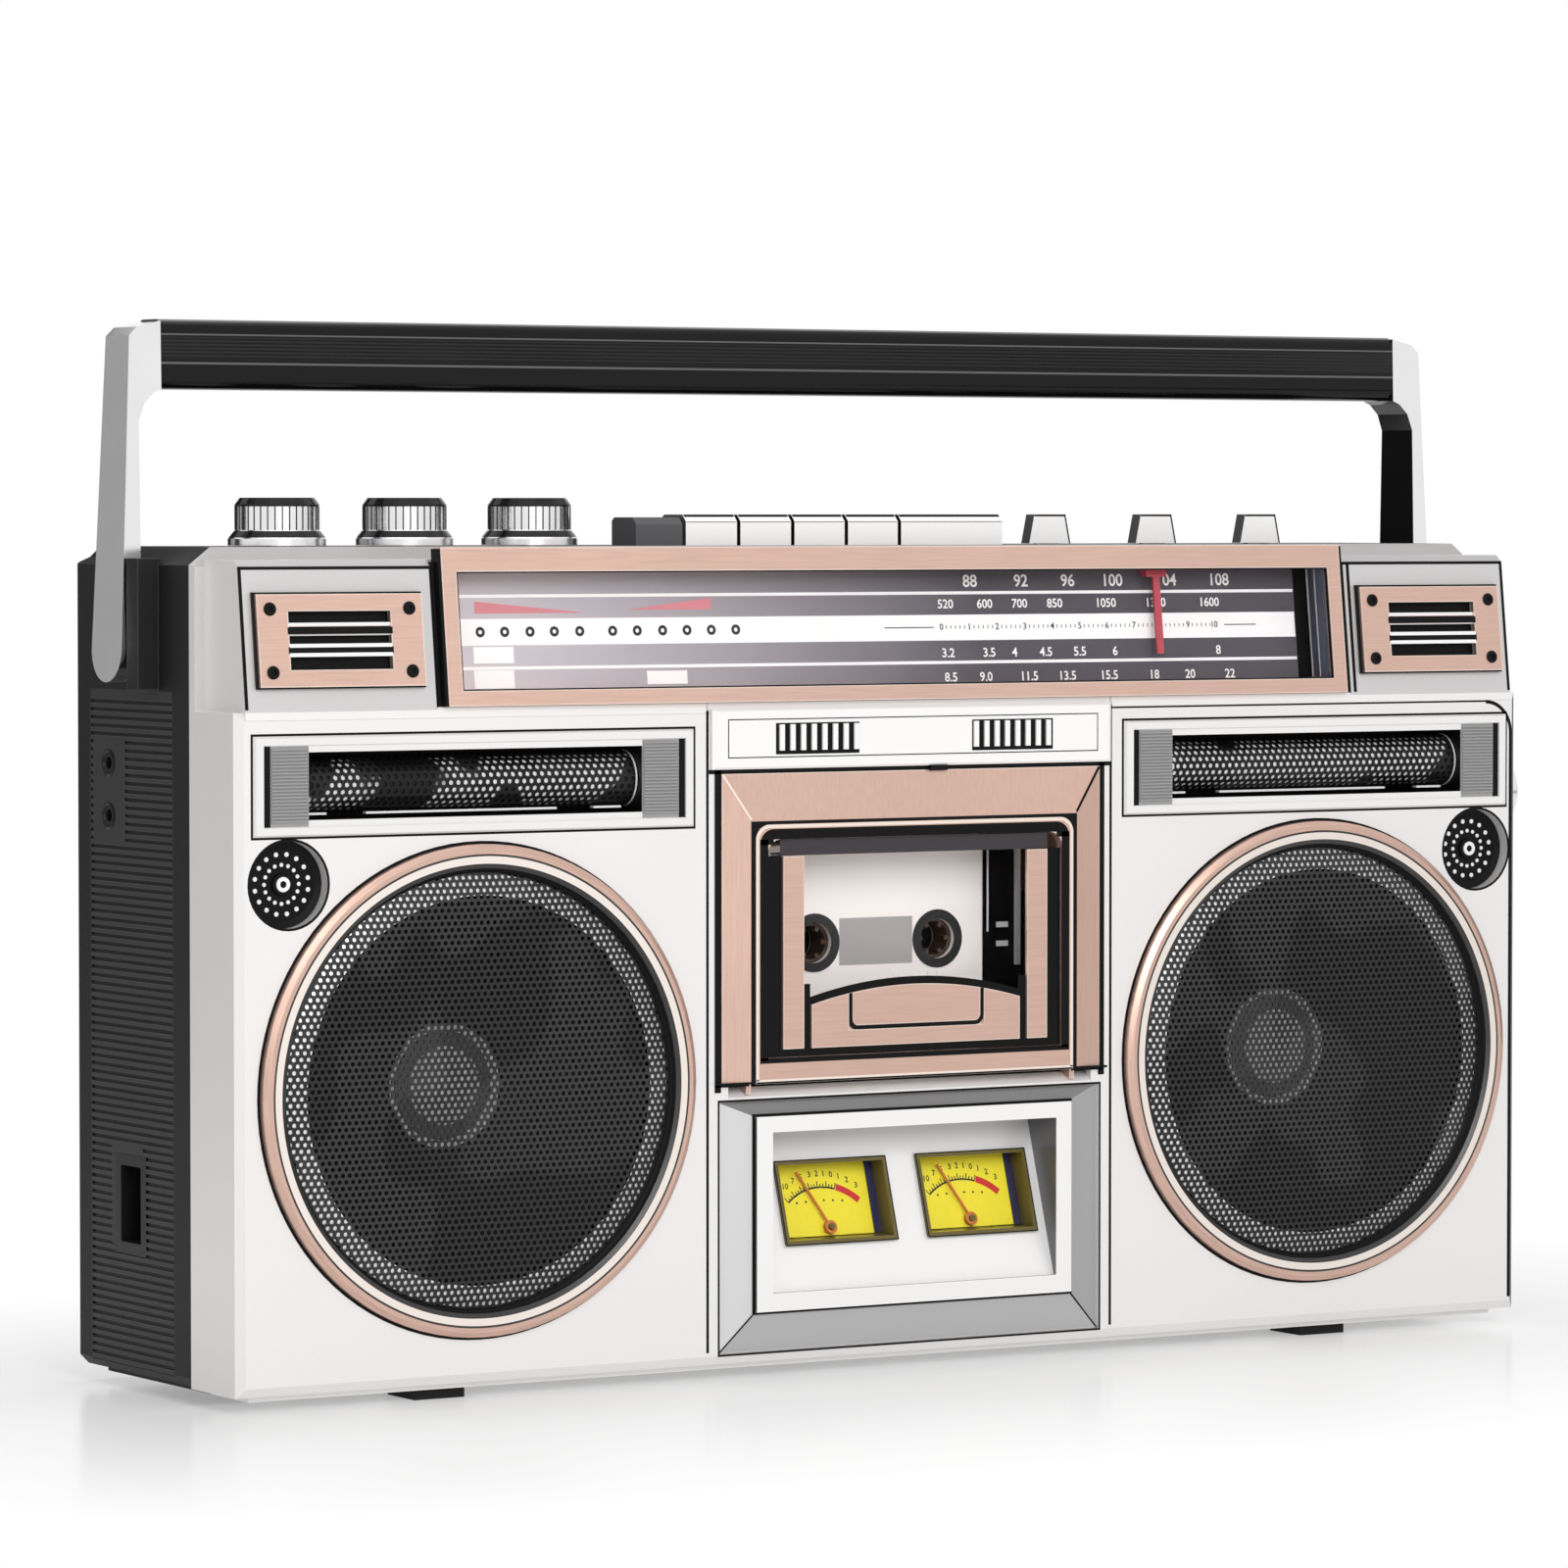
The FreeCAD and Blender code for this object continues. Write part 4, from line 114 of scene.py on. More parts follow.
class Graph:
    """A node tree that is being wired."""

    def __init__(self, tree: Tree) -> None:
        """Keep the tree."""
        self.tree = tree

    def feed(self, socket: Socket, value: Input) -> None:
        """Link a socket to another, or set its value.

        Args:
            socket: the input.
            value: a socket or a constant.
        """
        if isinstance(value, Socket):
            self.tree.links.new(value, socket)
        else:
            socket.default_value = value

    def add(self, kind: str, feeds: Optional[dict[str, Input]] = None, **settings: object) -> Node:
        """Add a node.

        Args:
            kind: the node's type name.
            feeds: what goes into its named inputs.
            **settings: its properties.

        Returns:
            The node.
        """
        made = self.tree.nodes.new(kind)
        for name, value in settings.items():
            setattr(made, name, value)
        for name, value in (feeds or {}).items():
            self.feed(made.inputs[name], value)
        return made

    def fill(self, kind: str, *values: Input, **settings: object) -> Node:
        """Add a node and feed its first inputs in order.

        Args:
            kind: the node's type name.
            *values: what goes in.
            **settings: its properties.

        Returns:
            The node.
        """
        made = self.add(kind, **settings)
        for socket, value in zip(made.inputs, values):
            self.feed(socket, value)
        return made

    def math(self, operation: str, *values: Input, clamp: bool = False) -> Socket:
        """Add a number operation, held from 0 to 1 where it is clamped."""
        return self.fill("ShaderNodeMath", *values, operation=operation, use_clamp=clamp).outputs[0]

    def times(self, first: Input, second: Input) -> Socket:
        """Multiply two numbers."""
        return self.math("MULTIPLY", first, second)

    def below(self, first: Input, second: Input) -> Socket:
        """Give 1 where the first number is below the second, and 0 elsewhere."""
        return self.math("LESS_THAN", first, second)

    def above(self, first: Input, second: Input) -> Socket:
        """Give 1 where the first number is above the second, and 0 elsewhere."""
        return self.math("GREATER_THAN", first, second)

    def vector(self, operation: str, *values: Input, output: int = 0) -> Socket:
        """Add a vector operation and take one of its outputs."""
        return self.fill("ShaderNodeVectorMath", *values, operation=operation).outputs[output]

    def split(self, value: Socket) -> list[Socket]:
        """Split a vector into its three parts."""
        return list(self.fill("ShaderNodeSeparateXYZ", value).outputs)

    def join(self, x: Input, y: Input, z: Input) -> Socket:
        """Make a vector of three numbers."""
        return self.fill("ShaderNodeCombineXYZ", x, y, z).outputs[0]

    def shade(self, colour: Input, share: Input) -> Socket:
        """Multiply a colour by a number."""
        feeds = {"Vector": colour, "Scale": share}
        return self.add("ShaderNodeVectorMath", feeds, operation="SCALE").outputs[0]

    def blend(self, factor: Input, first: Input, second: Input) -> Socket:
        """Mix two colours.

        Args:
            factor: the share of the second.
            first: the first colour.
            second: the second colour.

        Returns:
            The mixed colour's socket.
        """
        made = self.fill("ShaderNodeMix", factor, data_type="RGBA")
        colours = [s for s in made.inputs if s.type == "RGBA"]
        for socket, value in zip(colours, (first, second)):
            self.feed(socket, value if isinstance(value, Socket) else (*value, 1.0))
        return next(s for s in made.outputs if s.type == "RGBA")

    def noise(self, where: Input, scale: Input, detail: float) -> Socket:
        """Add a noise from 0 to 1 with so many cells in a metre."""
        return self.add("ShaderNodeTexNoise", {"Vector": where, "Scale": scale, "Detail": detail}).outputs[0]

    def span(self, value: Input, low: float, high: float, to_low: float = 0.0, to_high: float = 1.0,
             ) -> Socket:
        """Stretch the range from low to high to another and hold it there."""
        return self.fill("ShaderNodeMapRange", value, low, high, to_low, to_high).outputs[0]

    def place(self) -> Socket:
        """Read the place on the object."""
        return self.add("ShaderNodeTexCoord").outputs["Object"]

    def facing(self, kind: str = "True Normal") -> list[Socket]:
        """Read the way that the surface faces, in three parts."""
        return self.split(self.add("ShaderNodeNewGeometry").outputs[kind])


class Group(Graph):
    """A node group with named inputs and outputs."""

    kinds = {int: "Int", float: "Float", tuple: "Vector"}

    def __init__(self, name: str, kind: str, inputs: dict[str, object], outputs: Sequence[str]) -> None:
        """Make the group and its sockets.

        Args:
            name: the group's name.
            kind: "Shader", whose outputs are numbers, or "Geometry".
            inputs: each input's starting value, or the name of its kind where it starts empty.
            outputs: the outputs' names.
        """
        super().__init__(bpy.data.node_groups.new(name, f"{kind}NodeTree"))
        sockets = self.tree.interface
        for label, value in inputs.items():
            empty = isinstance(value, str)
            held = value if empty else self.kinds[type(value)]
            socket = sockets.new_socket(label, in_out="INPUT", socket_type=f"NodeSocket{held}")
            if not empty:
                socket.default_value = value
        result = "Float" if kind == "Shader" else "Geometry"
        for label in outputs:
            sockets.new_socket(label, in_out="OUTPUT", socket_type=f"NodeSocket{result}")
        self.given = self.add("NodeGroupInput").outputs

    def end(self, **results: Socket) -> Tree:
        """Feed the group's outputs and give its tree."""
        self.add("NodeGroupOutput", results)
        return self.tree


class Effects:
    """Shader node groups that several finishes use, each built once."""

    @staticmethod
    @cache
    def grain() -> Tree:
        """Fine grain: a shade, a roughness and a height that follow a stretched noise."""
        group = Group("grain", "Shader", {"Stretch": (1.0, 1.0, 1.0), "Scale": 900.0, "Shade": 0.05,
                                          "Roughness": 0.4, "Spread": 0.08}, ("Shade", "Roughness", "Height"))
        given, place = group.given, group.place()
        fine = group.noise(group.vector("MULTIPLY", place, given["Stretch"]), given["Scale"], 4.0)
        drift = group.times(group.math("SUBTRACT", group.noise(place, 14.0, 2.0), 0.5), 0.5)
        both = group.math("ADD", group.math("SUBTRACT", fine, 0.5), drift)
        return group.end(Shade=group.math("MULTIPLY_ADD", both, given["Shade"], 1.0), Height=fine,
                         Roughness=group.math("MULTIPLY_ADD", both, given["Spread"], given["Roughness"]))

    @staticmethod
    @cache
    def edges() -> Tree:
        """Worn edges and painted edge highlight: a mask that is 1 where a corner turns within the width."""
        group = Group("edge_wear", "Shader", {"Breakup": 0.5}, ("Mask",))
        rounded = group.add("ShaderNodeBevel", {"Radius": 0.0007}, samples=4)
        flat = group.add("ShaderNodeNewGeometry").outputs["Normal"]
        corner = group.span(group.vector("DOT_PRODUCT", rounded.outputs[0], flat, output=1), 0.995, 0.86)
        smooth = group.math("SUBTRACT", 1.0, group.noise(group.place(), 160.0, 2.0))
        broken = group.times(smooth, group.given["Breakup"])
        return group.end(Mask=group.math("SUBTRACT", corner, broken, clamp=True))

    @staticmethod
    @cache
    def dust() -> Tree:
        """Dust: a mask that gathers on faces that look up."""
        group = Group("dust", "Shader", {"Amount": 0.1}, ("Mask",))
        patchy = group.span(group.noise(group.place(), 60.0, 4.0), 0.35, 0.7)
        upward = group.span(group.facing("Normal")[2], 0.3, 1.0)
        return group.end(Mask=group.times(group.times(upward, patchy), group.given["Amount"]))

    @staticmethod
    @cache
    def spun() -> Tree:
        """Turned metal: fine rings round the middles of the two woofers."""
        centre = {"Across": WOOFER_X / 1000, "High": (WOOFER_HEIGHT + FACE_FOOT) / 1000}
        group = Group("spun", "Shader", centre, ("Value", "Radius"))
        x, _, z = group.split(group.place())
        across = group.math("SUBTRACT", group.math("ABSOLUTE", x), group.given["Across"])
        high = group.math("SUBTRACT", z, group.given["High"])
        radius = group.vector("LENGTH", group.join(across, high, 0.0), output=1)
        turn = group.times(group.math("ARCTAN2", high, across), 0.02)
        where = group.join(group.times(radius, 9.0), turn, 0.0)
        return group.end(Value=group.noise(where, 260.0, 4.0), Radius=radius)


class Coat(Graph):
    """A material that is being wired round its Principled shader."""

    def __init__(self, material: bpy.types.Material) -> None:
        """Keep the material's tree and shader.

        Args:
            material: the material.
        """
        material.use_nodes = True
        super().__init__(material.node_tree)
        self.shader = self.tree.nodes["Principled BSDF"]

    def set(self, **values: Input) -> None:
        """Feed the shader's inputs, with underscores for the spaces in their names."""
        for label, value in values.items():
            self.feed(self.shader.inputs[label.replace("_", " ")], value)

    def effect(self, tree: Tree, **values: Input) -> Sockets:
        """Place an effect with its inputs and give its outputs."""
        return self.add("ShaderNodeGroup", values, node_tree=tree).outputs

    def grain(self, scale: float, shade: float, roughness: float, spread: float,
              stretch: Place = (1.0, 1.0, 1.0)) -> Sockets:
        """Place a grain: its cells in a metre, its shading, the roughness and its spread, and a stretch."""
        return self.effect(Effects.grain(), Stretch=stretch, Scale=scale, Shade=shade, Roughness=roughness,
                           Spread=spread)

    def wear(self, colour: Input, bright: Colour, breakup: float) -> Socket:
        """Lay a brighter colour along the corners, for worn edges and a painted edge highlight."""
        return self.blend(self.effect(Effects.edges(), Breakup=breakup)["Mask"], colour, bright)

    def dusted(self, colour: Input, amount: float) -> Socket:
        """Lay dust on the faces that look up."""
        return self.blend(self.effect(Effects.dust(), Amount=amount)["Mask"], colour, DUST)

    def bump(self, height: Input, distance: float) -> None:
        """Give the shader a bump of a full height in metres."""
        made = self.add("ShaderNodeBump", {"Strength": 1.0, "Distance": distance, "Height": height})
        self.set(Normal=made.outputs[0])

    def cover(self, colour: Input, grain: Sockets, bump: float = 0.0, **values: Input) -> None:
        """Wire the shader through a grain.

        Args:
            colour: the colour that the grain shades.
            grain: the grain's outputs.
            bump: the grain's full height in metres.
            **values: the shader's other inputs.
        """
        shaded = self.shade(colour, grain["Shade"])
        self.set(**{"Base_Color": shaded, "Roughness": grain["Roughness"], **values})
        if bump:
            self.bump(grain["Height"], bump)

    def mix(self, share: Input, other: Node) -> None:
        """Let another shader take a share of the surface."""
        mixed = self.fill("ShaderNodeMixShader", share, self.shader.outputs[0], other.outputs[0])
        self.feed(self.tree.nodes["Material Output"].inputs["Surface"], mixed.outputs[0])


class Finish:
    """A material that is made once and then shared."""

    stock: dict[str, bpy.types.Material] = {}
    name: str

    def wire(self, coat: Coat) -> None:
        """Wire the material's shader; each finish has its own way."""
        raise NotImplementedError

    def material(self) -> bpy.types.Material:
        """The material, made when it is first asked for."""
        if self.name not in Finish.stock:
            Finish.stock[self.name] = bpy.data.materials.new(self.name)
            self.wire(Coat(Finish.stock[self.name]))
        return Finish.stock[self.name]

    def dress(self, *nodes: str) -> None:
        """Put the finish on solids.

        Args:
            *nodes: the solids' names.
        """
        for label in nodes:
            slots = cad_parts[label].material_slots
            if not slots:
                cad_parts[label].data.materials.append(self.material())
            for place in slots:
                place.material = self.material()


@dataclass(frozen=True)
class Paint(Finish):
    """Satin paint or moulded plastic with fine grain and dust, with painted shade on its left and right faces
    where it says so.
    """

    name: str
    colour: Colour
    metallic: float = 0.0
    roughness: float = 0.45
    shade: float = 0.05
    scale: float = 1400.0
    stretch: Place = (1.0, 1.0, 1.0)
    bump: float = 0.000003
    # sides: painted shade for the faces that turn left or right.
    sides: Optional[Colour] = None
    dust: float = 0.0
    specular: float = 0.5

    def wire(self, coat: Coat) -> None:
        """Wire the paint.

        Args:
            coat: the material.
        """
        grain = coat.grain(self.scale, self.shade, self.roughness, 0.08, self.stretch)
        colour = coat.shade(self.colour, grain["Shade"])
        # Painted shade: faces that turn left or right take the darker side colour.
        if self.sides:
            turned = coat.span(coat.math("ABSOLUTE", coat.facing("Normal")[0]), 0.45, 0.75)
            colour = coat.blend(turned, colour, self.sides)
        if self.dust:
            colour = coat.dusted(colour, self.dust)
        coat.set(Base_Color=colour, Roughness=grain["Roughness"], Metallic=self.metallic,
                 Specular_IOR_Level=self.specular)
        if self.bump:
            coat.bump(grain["Height"], self.bump)


class Lay(Enum):
    """The way that a brushed finish runs."""

    ACROSS = (0.03, 1.0, 1.0)
    UPRIGHT = (1.0, 1.0, 0.03)


@dataclass(frozen=True)
class Brushed(Finish):
    """Brushed and coloured metal sheet with bright corners, worn and with a painted edge highlight."""

    name: str
    colour: Colour
    lay: Lay = Lay.ACROSS
    roughness: float = 0.36
    shade: float = 0.28
    # bright: colour of the corners, worn metal with a painted edge highlight.
    bright: Colour = (0.95, 0.86, 0.78)

    def wire(self, coat: Coat) -> None:
        """Wire the brushed metal.

        Args:
            coat: the material.
        """
        grain = coat.grain(2600.0, self.shade, self.roughness, 0.2, self.lay.value)
        colour = coat.wear(coat.shade(self.colour, grain["Shade"]), self.bright, 0.25)
        coat.set(Base_Color=colour, Roughness=grain["Roughness"], Metallic=0.75)
        coat.bump(grain["Height"], 0.000012)


@dataclass(frozen=True)
class SpunRing(Finish):
    """Copper speaker ring, turned, with a bright inner line and dark outlines."""

    name: str
    colour: Colour
    inner: float
    lip: float = 0.0013
    line: float = 0.0037
    groove: float = 0.0003

    def wire(self, coat: Coat) -> None:
        """Wire the ring's bands by their radius.

        Args:
            coat: the material.
        """
        turned = coat.effect(Effects.spun())
        radius, value = turned["Radius"], turned["Value"]
        colour = coat.shade(self.colour, coat.span(value, 0.2, 0.8, 0.82, 1.15))
        lit = coat.below(radius, self.inner + self.line)
        colour = coat.blend(lit, colour, (0.86, 0.78, 0.72))
        groove = coat.math("COMPARE", radius, self.inner + self.line, self.groove)
        lip = coat.below(radius, self.inner + self.lip)
        dark = coat.math("ADD", groove, lip, clamp=True)
        coat.set(Base_Color=coat.blend(dark, colour, (0.02, 0.018, 0.018)),
                 Metallic=coat.times(0.75, coat.math("SUBTRACT", 1.0, dark)),
                 Roughness=coat.span(value, 0.2, 0.8, 0.28, 0.42))
        coat.bump(value, 0.00002)


@dataclass(frozen=True)
class Chrome(Finish):
    """Bright plating with faint smears."""

    name: str
    colour: Colour = (0.78, 0.78, 0.79)
    roughness: float = 0.12

    def wire(self, coat: Coat) -> None:
        """Wire the plating."""
        coat.cover(self.colour, coat.grain(45.0, 0.12, self.roughness, 0.12), 0.00004, Metallic=1.0)


@dataclass(frozen=True)
class LinedPlate(Finish):
    """Bright plating whose inner faces, towards the middle of the object, are black and not metallic."""

    name: str
    colour: Colour
    lining: Colour

    def wire(self, coat: Coat) -> None:
        """Wire the plating and its black inner faces.

        Args:
            coat: the material.
        """
        grain = coat.grain(45.0, 0.12, 0.12, 0.12)
        across = coat.split(coat.place())[0]
        inward = coat.times(coat.math("SIGN", across), coat.facing()[0])
        inward_black = coat.below(inward, -0.22)
        coat.cover(coat.blend(inward_black, self.colour, self.lining), grain, 0.00004,
                   Metallic=coat.math("SUBTRACT", 1.0, inward_black), Specular_IOR_Level=0.25)


@dataclass(frozen=True)
class Pane(Finish):
    """Clear moulded pane with a faint tint and wipe marks."""

    name: str
    colour: Colour = (0.97, 0.97, 0.98)

    def wire(self, coat: Coat) -> None:
        """Wire the pane."""
        grain = coat.grain(90.0, 0.02, 0.03, 0.05, (0.3, 1.0, 1.0))
        coat.cover(self.colour, grain, Transmission_Weight=1.0, IOR=1.05)


@dataclass(frozen=True)
class DialPlate(Finish):
    """Printed tuner plate, paler to the left and to the top."""

    name: str

    def wire(self, coat: Coat) -> None:
        """Wire the plate's shading.

        Args:
            coat: the material.
        """
        grain = coat.grain(3000.0, 0.1, 0.5, 0.1)
        x, _, z = coat.split(coat.place())
        colour = coat.blend(coat.span(x, -0.16, 0.03), tint(204, 196, 200), tint(74, 70, 77))
        rise = coat.span(z, 0.199, 0.233)
        coat.cover(coat.shade(colour, coat.math("MULTIPLY_ADD", rise, -0.16, 1.06)), grain, 0.000002)


@dataclass(frozen=True)
class Grille(Finish):
    """Black perforated sheet, a little greyer where a noise lifts it; as the horns' backing its patches are
    near white, painted glints.
    """

    name: str
    colour: Colour
    patch: Colour
    scale: float
    cover: float

    def wire(self, coat: Coat) -> None:
        """Wire the sheet's patches.

        Args:
            coat: the material.
        """
        grain = coat.grain(900.0, 0.3, 0.4, 0.15)
        along = coat.vector("MULTIPLY", coat.place(), (1.0, 0.2, 0.9))
        patchy = coat.span(coat.noise(along, self.scale, 1.0), self.cover, self.cover + 0.04)
        coat.cover(coat.blend(patchy, self.colour, self.patch), grain, Specular_IOR_Level=0.2)


@dataclass(frozen=True)
class RibbedCase(Finish):
    """Black moulding whose fine side ribs are painted lighter over darker grooves, a painted highlight of the
    light that they catch.
    """

    name: str
    outer: float
    front: float
    rear: float
    top: float

    def wire(self, coat: Coat) -> None:
        """Wire the ribs by their distance from the middle.

        Args:
            coat: the material.
        """
        grain = coat.grain(3200.0, 0.08, 0.5, 0.1)
        x, y, z = coat.split(coat.place())
        inside = coat.below(coat.math("ABSOLUTE", x), self.outer - 0.0001)
        ribbed = coat.times(coat.above(y, self.front), coat.below(y, self.rear))
        ribbed = coat.times(ribbed, coat.below(z, self.top))
        # Painted highlight: the ribbed zone is lighter than the rest of the moulding.
        colour = coat.blend(ribbed, tint(25, 25, 26), tint(52, 52, 53))
        colour = coat.wear(coat.blend(inside, colour, tint(21, 21, 22)), tint(84, 84, 86), 0.6)
        coat.cover(coat.dusted(colour, 0.04), grain, 0.00005, Specular_IOR_Level=0.2)


@dataclass(frozen=True)
class PanelSheen(Finish):
    """Bright metal paint whose bevelled sides and recess walls carry painted shade, a fixed colour for each
    way that they face.
    """

    name: str
    colour: Colour
    left: Colour
    right: Colour
    under: Colour
    over: Colour
    wall: Colour

    def wire(self, coat: Coat) -> None:
        """Wire the painted shade of the bevels by the way that they face.

        Args:
            coat: the material.
        """
        grain = coat.grain(2400.0, 0.05, 0.38, 0.08)
        x, _, z = coat.facing()
        colour = self.colour
        # Painted shade: left, right, lower and upper bevels and the recess walls each take a fixed colour.
        for where, shade in ((coat.below(x, -0.08), self.left), (coat.above(x, 0.08), self.right),
                             (coat.below(z, -0.08), self.under), (coat.above(z, 0.34), self.over),
                             (coat.below(x, -0.7), self.wall)):
            colour = coat.blend(where, colour, shade)
        coat.cover(coat.wear(colour, tint(244, 244, 244), 0.2), grain, 0.000003, Metallic=0.25)


@dataclass(frozen=True)
class ShellSilver(Finish):
    """Silver paint with painted shade on the corner blocks and on the strip above them, and a painted dark
    reflection along the right bevel.
    """

    name: str
    colour: Colour
    blocks: Colour
    ledge: Colour
    rim: Colour
    inner: float = 0.1566
    foot: float = 0.1942
    head: float = 0.2343
    outer: float = 0.2165

    def wire(self, coat: Coat) -> None:
        """Wire the zones by place and by the way that they face.

        Args:
            coat: the material.
        """
        grain = coat.grain(2400.0, 0.05, 0.36, 0.08)
        across, _, high = coat.split(coat.place())
        turned, facing, _ = coat.facing()
        front = coat.below(facing, -0.5)
        above = coat.times(front, coat.above(high, self.foot))
        beside = coat.above(coat.math("ABSOLUTE", across), self.inner)
        top = coat.times(front, coat.above(high, self.head))
        bevel = coat.times(coat.above(across, self.outer), coat.math("COMPARE", turned, 0.65, 0.3))
        colour = coat.wear(self.colour, tint(242, 242, 242), 0.6)
        # Painted shade on the blocks' faces and the strip above them; painted dark reflection on the right
        # bevel.
        for where, shade in ((coat.times(above, beside), self.blocks), (top, self.ledge), (bevel, self.rim)):
            colour = coat.blend(where, colour, shade)
        coat.cover(colour, grain, 0.000003, Metallic=0.35)


@dataclass(frozen=True)
class Cone(Finish):
    """Pressed paper cone with a pale cap, a grey neck and a bright fold; the cap's near-white colour is a
    painted highlight over its lighter paper.
    """

    name: str
    neck: float = 0.0152
    cap: float = 0.0112
    fold: float = 0.0166

    def wire(self, coat: Coat) -> None:
        """Wire the cone's zones by their radius.

        Args:
            coat: the material.
        """
        radius = coat.effect(Effects.spun())["Radius"]
        grain = coat.grain(700.0, 0.35, 0.75, 0.15)
        pale = tint(250, 250, 250)
        colour = coat.blend(coat.below(radius, self.neck), tint(14, 14, 15), tint(120, 120, 122))
        # Painted highlight: the cap is near white, brighter than its own lighter paper.
        colour = coat.blend(coat.below(radius, self.cap), colour, pale)
        colour = coat.blend(coat.math("COMPARE", radius, self.fold, 0.0011), colour, pale)
        coat.cover(colour, grain)
        wave = coat.math("SINE", coat.times(radius, 2400.0))
        coat.bump(coat.math("MULTIPLY_ADD", wave, 0.3, grain["Height"]), 0.00015)


@dataclass(frozen=True)
class HornMoulding(Finish):
    """Horn surround: silver lip in front, gloss black inside."""

    name: str

    def wire(self, coat: Coat) -> None:
        """Wire the moulding by its depth.

        Args:
            coat: the material.
        """
        inside = coat.above(coat.split(coat.place())[1], -0.0486)
        colour = coat.blend(inside, tint(226, 225, 224), (0.004, 0.004, 0.0045))
        coat.cover(colour, coat.grain(1400.0, 0.06, 0.4, 0.1), 0.000003, Specular_IOR_Level=0.15)


@dataclass(frozen=True)
class GripGloss(Finish):
    """Gloss black grip with fine lengthwise ribs between two bright lines, with a third near the top; the
    lines are painted highlights, set as metal.
    """

    name: str
    low: float
    high: float
    pitch: float
    lines: tuple[Pair, ...]

    def wire(self, coat: Coat) -> None:
        """Wire the ribs by height.

        Args:
            coat: the material.
        """
        grain = coat.grain(120.0, 0.2, 0.16, 0.1)
        z = coat.split(coat.place())[2]
        ribbed = coat.times(coat.above(z, self.low), coat.below(z, self.high))
        wave = coat.math("SINE", coat.times(z, 2 * math.pi / self.pitch))
        colour = coat.blend(ribbed, (0.003, 0.003, 0.0035), (0.011, 0.011, 0.012))
        bright = 0.0
        # Painted highlights: thin metallic lines at set heights stand for light along the ribbed band's
        # edges.
        for level, half in self.lines:
            bright = coat.math("ADD", bright, coat.math("COMPARE", z, level, half), clamp=True)
        rough = coat.math("MULTIPLY_ADD", ribbed, 0.2, grain["Roughness"])
        coat.cover(coat.blend(bright, colour, (0.14, 0.14, 0.14)), grain, Metallic=bright, Roughness=rough,
                   Specular_IOR_Level=0.2)
        coat.bump(coat.times(ribbed, coat.math("MULTIPLY_ADD", wave, 0.5, 0.5)), 0.0003)


# Front shell: painted shade on its corner blocks and top strip, painted dark reflection on its right bevel.
SILVER = ShellSilver("silver_paint", tint(232, 230, 229), blocks=tint(200, 198, 198),
                     ledge=tint(184, 182, 182), rim=tint(24, 24, 25))
PANEL_SILVER = Paint("panel_silver", tint(236, 235, 234), roughness=0.42, scale=2400.0)
# Meter panel: its bevels and recess walls carry painted shade by the way that they face.
PANEL_SHADE = PanelSheen("panel_painted_shade", tint(236, 235, 234), left=tint(206, 205, 205), right=tint(164, 163, 164),
                   under=tint(176, 175, 176), over=tint(124, 123, 124), wall=tint(96, 95, 96))
COPPER_TONE = (0.63, 0.425, 0.35)
COPPER = Brushed("brushed_copper", COPPER_TONE)
COPPER_UPRIGHT = Brushed("brushed_copper_upright", COPPER_TONE, lay=Lay.UPRIGHT)
# Pale copper used only as a painted highlight: the door's edge line and the left mitre.
COPPER_HIGHLIGHT = Paint("copper_highlight", (0.86, 0.74, 0.66), metallic=0.4, roughness=0.3)
RING = SpunRing("spun_copper", COPPER_TONE, inner=0.0626)
CASE_BLACK = RibbedCase("case_black", outer=0.2198, front=-0.0088, rear=0.0432, top=0.1992)
DEEP_BLACK = Paint("deep_black", tint(10, 10, 11), roughness=0.5, specular=0.12)
RUBBER = Paint("foot_rubber", tint(28, 28, 28), roughness=0.8, scale=1800.0, bump=0.00008, dust=0.05,
               specular=0.2)
GRILLE = Grille("grille_black", tint(40, 40, 41), tint(52, 52, 53), 30.0, 0.5)
HORN_MESH = Grille("horn_black", tint(16, 16, 17), tint(30, 30, 31), 60.0, 0.5)
# Painted glints: near-white patches on the tubes behind the horn sheets, seen through the holes.
HORN_GLINTS = Grille("horn_painted_glints", tint(10, 10, 11), tint(225, 225, 225), 55.0, 0.42)
WELL_GREY = Paint("well_grey", tint(86, 92, 108), roughness=0.3)
FOIL = Paint("bright_foil", tint(240, 240, 240), metallic=0.3, roughness=0.3)
STEEL = Paint("zinc_steel", tint(150, 150, 154), metallic=0.9, roughness=0.38, stretch=(0.05, 1.0, 1.0),
              shade=0.2, dust=0.05)
ALLOY = Paint("head_alloy", tint(190, 190, 192), metallic=1.0, roughness=0.25)
BRASS = Paint("turned_brass", (0.6, 0.42, 0.16), metallic=1.0, roughness=0.3)
BOARD = Paint("resin_board", tint(84, 108, 62), dust=0.05, roughness=0.5, shade=0.3, scale=500.0)
PLUG_BLACK = Paint("socket_black", tint(24, 24, 25), roughness=0.353, specular=0.2)
CHROME = Chrome("chrome_plate")
ARM_PLATE = LinedPlate("arm_plate", (0.8, 0.8, 0.81), tint(26, 26, 26))
KNOB_CHROME = Chrome("knob_plate", (0.8, 0.8, 0.81), 0.2)
